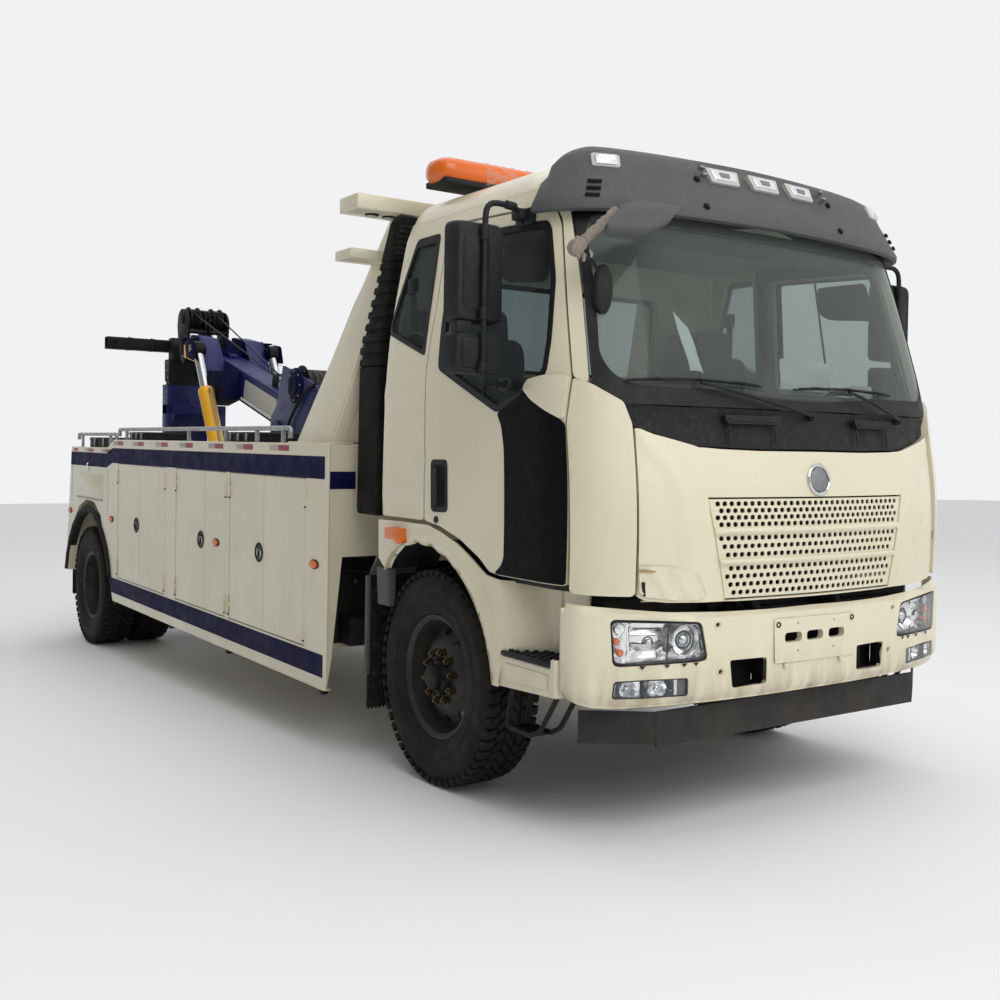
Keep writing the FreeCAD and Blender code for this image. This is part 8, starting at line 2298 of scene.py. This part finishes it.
# lining: headliner, rear wall, pillar covers, sun blinds, shelf
ln = Piece("cab_lining", "cab", "dash_plastic")
ln.box(-.455, .86, -.93, .93, 2.690, 2.712, "lining", .010)
for k in range(6):
    ln.box(-.35 + k * .2, -.338 + k * .2, -.88, .88, 2.684, 2.692, "lining", .003)
ln.box(.56, .84, -.90, .90, 2.555, 2.690, "dash_plastic", .03)
for y in (-.62, -.02, .58):
    ln.box(.838, .846, y - .24, y + .24, 2.585, 2.665, "lining", .006)
ln.prism("X", rounded([(-1.02, 1.58), (1.02, 1.58), (1.0, 1.98), (-1.0, 1.98)], .03, 3), -.470, -.455, "lining", .004)
for sg in (1, -1):
    ln.prism("X", rounded([(sg * .70, 1.98), (sg * 1.00, 1.98), (sg * .97, 2.60), (sg * .70, 2.60)] if sg > 0 else [(sg * 1.00, 1.98), (sg * .70, 1.98), (sg * .70, 2.60), (sg * .97, 2.60)], .03, 3), -.468, -.455, "lining", .004)
    bent(ln, mx([(2.36, 1.30), (2.80, 1.30), (2.80, 2.02), (2.36, 1.98)], sg), S, SN, .012, "lining", step=.09, lift=-.050)
    bent(ln, mx([(1.125, 1.86), (1.165, 1.86), (1.150, 2.55), (1.118, 2.55)], sg), S, SN, .012, "lining", step=.06, lift=-.050)
    # folded blind hanging behind the top of the screen and of the door pane
    ln.tube([(.850, sg * .10, 2.572), (.850, sg * .78, 2.572)], .006, "black_plastic", 8)
    bl_ = mx(rounded([(1.32, 2.50), (1.62, 2.505), (1.72, 2.505), (1.74, 2.36), (1.66, 2.325), (1.36, 2.30), (1.31, 2.33)], .03, 3), sg)
    bent(ln, bl_, S, SN, .004, "blind_brown", step=.05, lift=-.055)
# wide rear-view strip for the kerb, seen dark behind the screen, and its arm
ov = [Vector((1.06, -.972 + .045 * math.sin(a), 2.240 + .100 * math.cos(a))) for a in np.linspace(0, 2 * math.pi, 24, endpoint=False)]
ln.ring([[p + Vector((-.02, 0, 0)) for p in ov], ov, [Vector((1.068, -.972, 2.24)).lerp(p, .85) + Vector((.006, 0, 0)) for p in ov]], "seal_rubber")
ln.tube([(1.05, -.985, 2.29), (1.05, -1.02, 2.345), (1.04, -1.045, 2.36)], .008, "seal_rubber", 8)
# round sticker, blank
p_ = S(np.array([-1.062]), np.array([2.395]))[0]
n_ = SN(np.array([-1.062]), np.array([2.395]))[0]
ln.lathe([(0, 0), (.026, 0), (.026, .0015), (0, .0015)], Vector(p_) - Vector(n_) * .014, n_, "white_paper", 28)
ln.lathe([(.013, .0015), (.016, .0015), (.016, .002), (.013, .002)], Vector(p_) - Vector(n_) * .014, n_, "grey_plastic", 20)
ln.done(smooth=40)

# dashboard
dh = Piece("dash", "cab", "dash_plastic")
PRD = rounded([(1.075, 1.45), (1.105, 1.70), (1.165, 1.748), (1.05, 1.778), (.905, 1.780), (.820, 1.735), (.800, 1.690), (.835, 1.60), (.850, 1.45)], [.01, .02, .012, .03, .03, .03, .03, .02, .01], 5)
ys = list(np.linspace(-.96, .96, 33))
rings = []
for y in ys:
    k = .03 * (abs(y) / .96) ** 3
    hump = .045 * math.exp(-((y - .76) / .25) ** 4)          # cowl over the gauges
    row = []
    for x, z in PRD:
        f = max(0.0, (z - 1.66) / .12)
        row.append((x - k * (1 if x > 1 else .4) - hump * .6 * f * (x < .95), y, z + hump * f * (1 if .84 < x < 1.02 else .4)))
    rings.append(row)
dh.ring(rings, "dash_plastic")
# gauge window and dials
dh.prism("X", rounded([(.60, 1.66), (.92, 1.66), (.90, 1.795), (.62, 1.795)], .03, 3), .792, .800, "seal_rubber", .002)
for y, r in ((.69, .048), (.83, .048), (.76, .022)):
    dh.lathe([(r * .92, .0), (r, .0), (r, .006), (r * .92, .006)], (.792, y, 1.722), (-1, 0, .2), "grey_plastic", 32)
    dh.lathe([(0, .001), (r * .92, .001), (r * .92, .002), (0, .002)], (.792, y, 1.722), (-1, 0, .2), "dark_hole", 32)
# centre: screen, vents, switches, tray
dh.box(.775, .800, .02, .30, 1.615, 1.745, "black_plastic", .008)
dh.box(.771, .777, .045, .275, 1.635, 1.728, "glass_face", .003)
for k in range(7):
    dh.box(.776, .790, .03 + k * .038, .058 + k * .038, 1.565, 1.592, "black_plastic", .004)
for y0 in (-.90, -.16, .34, .56 + .36):
    for k in range(5):
        dh.box(.792, .806, y0 - .055, y0 + .055, 1.642 + k * .016, 1.646 + k * .016, "seal_rubber", .001)
dh.box(.788, .806, -.82, -.26, 1.50, 1.632, "dash_plastic", .010)
dh.box(.782, .790, -.58, -.50, 1.60, 1.615, "black_plastic", .004)
for k in range(26):
    y = -.88 + k * .07
    dh.box(1.10, 1.13, y - .028, y + .028, 1.7625, 1.768, "seal_rubber", .001)
# steering wheel, column, stalks, pedals
WC, WA = Vector((.640, .76, 1.80)), Vector((-math.cos(math.radians(62)), 0, math.sin(math.radians(62))))
dh.lathe([(.219 + .0145 * math.cos(a), .0145 * math.sin(a)) for a in np.linspace(0, 2 * math.pi, 14, endpoint=False)], WC, WA, "seal_rubber", 56)
u_ = WA.cross(Vector((0, 1, 0))).normalized()
for ang in (12, 168, 225, 315):
    a = math.radians(ang)
    d_ = Vector((0, 1, 0)) * math.cos(a) + u_ * math.sin(a) * -1
    dh.tube([WC - WA * .035 + d_ * .05, WC - WA * .030 + d_ * .12, WC - WA * .002 + d_ * .208], .013, "black_plastic", 10, flat=.6)
dh.lathe([(0, .006), (.055, .004), (.078, -.010), (.082, -.035), (.06, -.055), (0, -.055)], WC - WA * .012, WA, "black_plastic", 32, closed=False)
dh.lathe([(0, .002), (.020, .001), (.021, -.004)], WC - WA * .005, WA, "grey_plastic", 24, closed=False)
dh.cyl(WC - WA * .05, WC - WA * .33, .034, "black_plastic", 20, bev=.004)
dh.ring([[WC - WA * h + Vector((0, 1, 0)) * c * w + u_ * s * w for c, s in rounded([(-1, -.9), (1, -.9), (1, .9), (-1, .9)], .35, 3)] for h, w in ((.075, .052), (.13, .060), (.22, .050))], "dash_plastic")
for sy in (1, -1):
    dh.tube([WC - WA * .11 + Vector((0, sy * .05, 0)), WC - WA * .10 + Vector((0, sy * .12, 0)), WC - WA * .085 + Vector((-.01, sy * .20, 0))], .008, "black_plastic", 8)
for y, w in ((.58, .032), (.72, .038), (.90, .045)):
    dh.box(.905, .920, y - w, y + w, 1.20, 1.29, "rubber", .004, Matrix.Translation((.9, y, 1.25)) @ Matrix.Rotation(math.radians(-30), 4, "Y") @ Matrix.Translation((-.9, -y, -1.25)))
    dh.tube([(.925, y, 1.27), (.955, y, 1.36), (1.0, y, 1.46)], .009, "chassis_black", 8)
# gear lever
dh.lathe([(.05, 0), (.045, .02), (.035, .05), (.020, .09), (.012, .11), (.0, .11)], (.42, .10, 1.436), "Z", "rubber", 24, closed=False)
dh.tube([(.42, .10, 1.50), (.41, .11, 1.70), (.40, .12, 1.78)], .009, "chrome", 10)
dh.lathe([(0, .0), (.016, .0), (.024, .02), (.026, .045), (.018, .062), (0, .066)], (.40, .12, 1.775), "Z", "black_plastic", 20, closed=False)
dh.done(replaces=("dashboard",), smooth=40)

# papers on the dashboard and hanging behind the screen; all blank
pp = Piece("papers", "cab")
def sheet(A, B, C, D, mat="white_paper", t=.0012, curl=.006, n=8):
    A, B, C, D = (Vector(q) for q in (A, B, C, D))
    nn = (B - A).cross(D - A).normalized()
    top, bot = [], []
    for i in range(n + 1):
        for j in range(n + 1):
            u, v = i / n, j / n
            p = A * (1 - u) * (1 - v) + B * u * (1 - v) + C * u * v + D * (1 - u) * v + nn * curl * (math.sin(u * 3.0 + v) + .4 * math.sin(v * 6 + u * 4))
            top.append(p + nn * t * .5)
            bot.append(p - nn * t * .5)
    N_ = len(top)
    fs = []
    for i in range(n):
        for j in range(n):
            a, b_, c_, d_ = i * (n + 1) + j, (i + 1) * (n + 1) + j, (i + 1) * (n + 1) + j + 1, i * (n + 1) + j + 1
            fs.append((a, b_, c_, d_))
            fs.append((N_ + d_, N_ + c_, N_ + b_, N_ + a))
    rim = [(i * (n + 1), (i + 1) * (n + 1)) for i in range(n)] + [(n * (n + 1) + j, n * (n + 1) + j + 1) for j in range(n)] + [((i + 1) * (n + 1) + n, i * (n + 1) + n) for i in range(n)] + [(j + 1, j) for j in range(n)]
    fs += [(b_, a, a + N_, b_ + N_) for a, b_ in rim]
    pp.add(top + bot, fs, mat)
sheet((1.085, .02, 1.885), (1.075, .36, 1.880), (1.080, .37, 2.015), (1.090, .005, 2.02), curl=.010)
sheet((1.02, -.02, 1.80), (.98, .36, 1.80), (1.085, .36, 1.89), (1.095, .03, 1.89), curl=.008)
sheet((.96, .40, 1.785), (.95, .66, 1.788), (1.085, .62, 1.81), (1.09, .38, 1.81), "white_paper", curl=.006)
sheet((1.165, -.595, 1.93), (1.165, -.520, 1.925), (1.110, -.560, 2.120), (1.110, -.635, 2.125), curl=.008)
sheet((1.112, -.62, 2.10), (1.112, -.555, 2.10), (1.098, -.635, 2.175), (1.098, -.640, 2.175), curl=.003)
sheet((1.185, .395, 1.86), (1.18, .545, 1.862), (1.170, .545, 1.915), (1.175, .395, 1.913), "plate_grey", curl=.001)
pp.done(smooth=50)
# ------------------------------------------------------------------ plain carried-over nodes
KEEP = {
    "frame": "chassis_black", "front_axle": "chassis_black", "rear_axle": "chassis_black", "leaf_springs": "chassis_black", "engine_and_gearbox": "engine_metal",
    "fuel_tank": "bare_metal", "battery_box": "black_plastic", "front_bumper": "bumper_paint", "lamps": "lamp_glass", "front_fenders": "cab_paint", "mud_flaps": "rubber",
    "service_body": "body_paint", "gantry": "body_paint", "air_duct": "duct_black", "winch_frame": "navy_paint", "underlift_column": "navy_paint",
    "cab_shell": "cab_paint", "cab_glass": "glass", "visor": "visor_plastic", "light_bar": "amber", "seats": "seat_fabric", "dashboard": "dash_plastic",
    "front_flap": "cab_paint", "door_left": "cab_paint", "door_right": "cab_paint", "door_glass_left": "glass", "door_glass_right": "glass",
    "mirror_left": "black_plastic", "mirror_right": "black_plastic", "knuckle_left": "chassis_black", "knuckle_right": "chassis_black",
    "boom_outer": "navy_paint", "boom_inner": "navy_paint", "lift_barrels": "yellow_paint", "lift_rods": "chrome", "winch_drum_left": "black_steel",
    "winch_drum_right": "black_steel", "underlift_arm": "navy_paint", "underlift_slider": "black_steel", "crossbar": "black_steel",
}
for n in NODES:
    m = KEEP.get(n)
    if m is None:
        m = "tyre" if "tyre" in n else "rim_steel" if "rim" in n else "door_paint"
    finish_node(n, m)

# ------------------------------------------------------------------ floor, light, camera
gm = Tree("floor_pale")
gm.set(Base_Color=gm.mix(gm.noise(0.6, 3), (0.90, 0.90, 0.90, 1), (0.875, 0.875, 0.87, 1)), Roughness=0.85, Specular_IOR_Level=0.2)
me = bpy.data.meshes.new("floor")
R = 60.0
me.from_pydata([(-R, -R, 0), (R, -R, 0), (R, R, 0), (-R, R, 0)], [], [(0, 1, 2, 3)])
me.materials.append(MATS["floor_pale"])
flo = bpy.data.objects.new("floor", me)
bpy.context.scene.collection.objects.link(flo)

w = bpy.data.worlds.new("studio")
bpy.context.scene.world = w
w.use_nodes = True
bg = w.node_tree.nodes["Background"]
# bright studio in front and behind, dimmer on the right side, so that the side stands in soft shade
nt = w.node_tree
tc = nt.nodes.new("ShaderNodeTexCoord")
sx = nt.nodes.new("ShaderNodeSeparateXYZ")
mr = nt.nodes.new("ShaderNodeMapRange")
mr.interpolation_type = "SMOOTHSTEP"
mr.inputs[1].default_value = -0.85
mr.inputs[2].default_value = 0.10
mr.inputs[3].default_value = 0.22
mr.inputs[4].default_value = 1.0
mxn = nt.nodes.new("ShaderNodeMix")
mxn.data_type = "RGBA"
mxn.inputs[6].default_value = (0, 0, 0, 1)
mxn.inputs[7].default_value = (0.98, 0.985, 1.0, 1)
nt.links.new(tc.outputs["Generated"], sx.inputs[0])
nt.links.new(sx.outputs[1], mr.inputs[0])
nt.links.new(mr.outputs[0], mxn.inputs[0])
nt.links.new(mxn.outputs[2], bg.inputs[0])
bg.inputs[1].default_value = 0.90


def area(name, loc, target, size, power, col=(1, 1, 1)):
    L = bpy.data.lights.new(name, "AREA")
    L.shape = "RECTANGLE"
    L.size, L.size_y = size
    L.energy = power
    L.color = col
    ob = bpy.data.objects.new(name, L)
    bpy.context.scene.collection.objects.link(ob)
    d = Vector(target) - Vector(loc)
    ob.location = loc
    ob.rotation_euler = d.to_track_quat("-Z", "Y").to_euler()
    return ob


area("key_soft", (10.5, -2.0, 8.0), (0.5, 0, 1.2), (8, 6), 330)
area("fill_front", (12.0, 3.0, 5.0), (1.5, 0, 1.4), (7, 5), 60)
area("fill_side", (-5.0, -11.0, 5.0), (-1.0, 0, 1.2), (9, 5), 16)
area("top_soft", (0, 0, 11.0), (0, 0, 0), (12, 8), 190)
area("back_left", (-6.0, 10.0, 7.0), (0, 0, 1.2), (9, 6), 40)

# camera at the picture's place: position, turn and focal length in the truck's own frame
C = Vector((4.685, -3.838, 1.603))
yaw, pitch, roll = (math.radians(a) for a in (144.458, -1.128, 1.045))
D = Vector((math.cos(yaw) * math.cos(pitch), math.sin(yaw) * math.cos(pitch), math.sin(pitch)))
Rv = D.cross(Vector((0, 0, 1))).normalized()
Uv = Rv.cross(D)
R2 = Rv * math.cos(roll) + Uv * math.sin(roll)
U2 = -Rv * math.sin(roll) + Uv * math.cos(roll)
Mc = Matrix((
    (R2.x, U2.x, -D.x, C.x),
    (R2.y, U2.y, -D.y, C.y),
    (R2.z, U2.z, -D.z, C.z),
    (0, 0, 0, 1)))
cam = bpy.data.cameras.new("camera")
cam.sensor_fit = "HORIZONTAL"
cam.sensor_width = 36.0
cam.lens = 36.0 * 1153.08 / 1000
cam.shift_x = (500 - 544.37) / 1000
cam.shift_y = (470.26 - 500) / 1000
cam.clip_end = 400
co = bpy.data.objects.new("camera", cam)
bpy.context.scene.collection.objects.link(co)
co.matrix_world = T @ Mc
bpy.context.scene.camera = co
bpy.context.scene.view_settings.view_transform = "Standard"
bpy.context.scene.view_settings.look = "None"
bpy.context.view_layer.update()
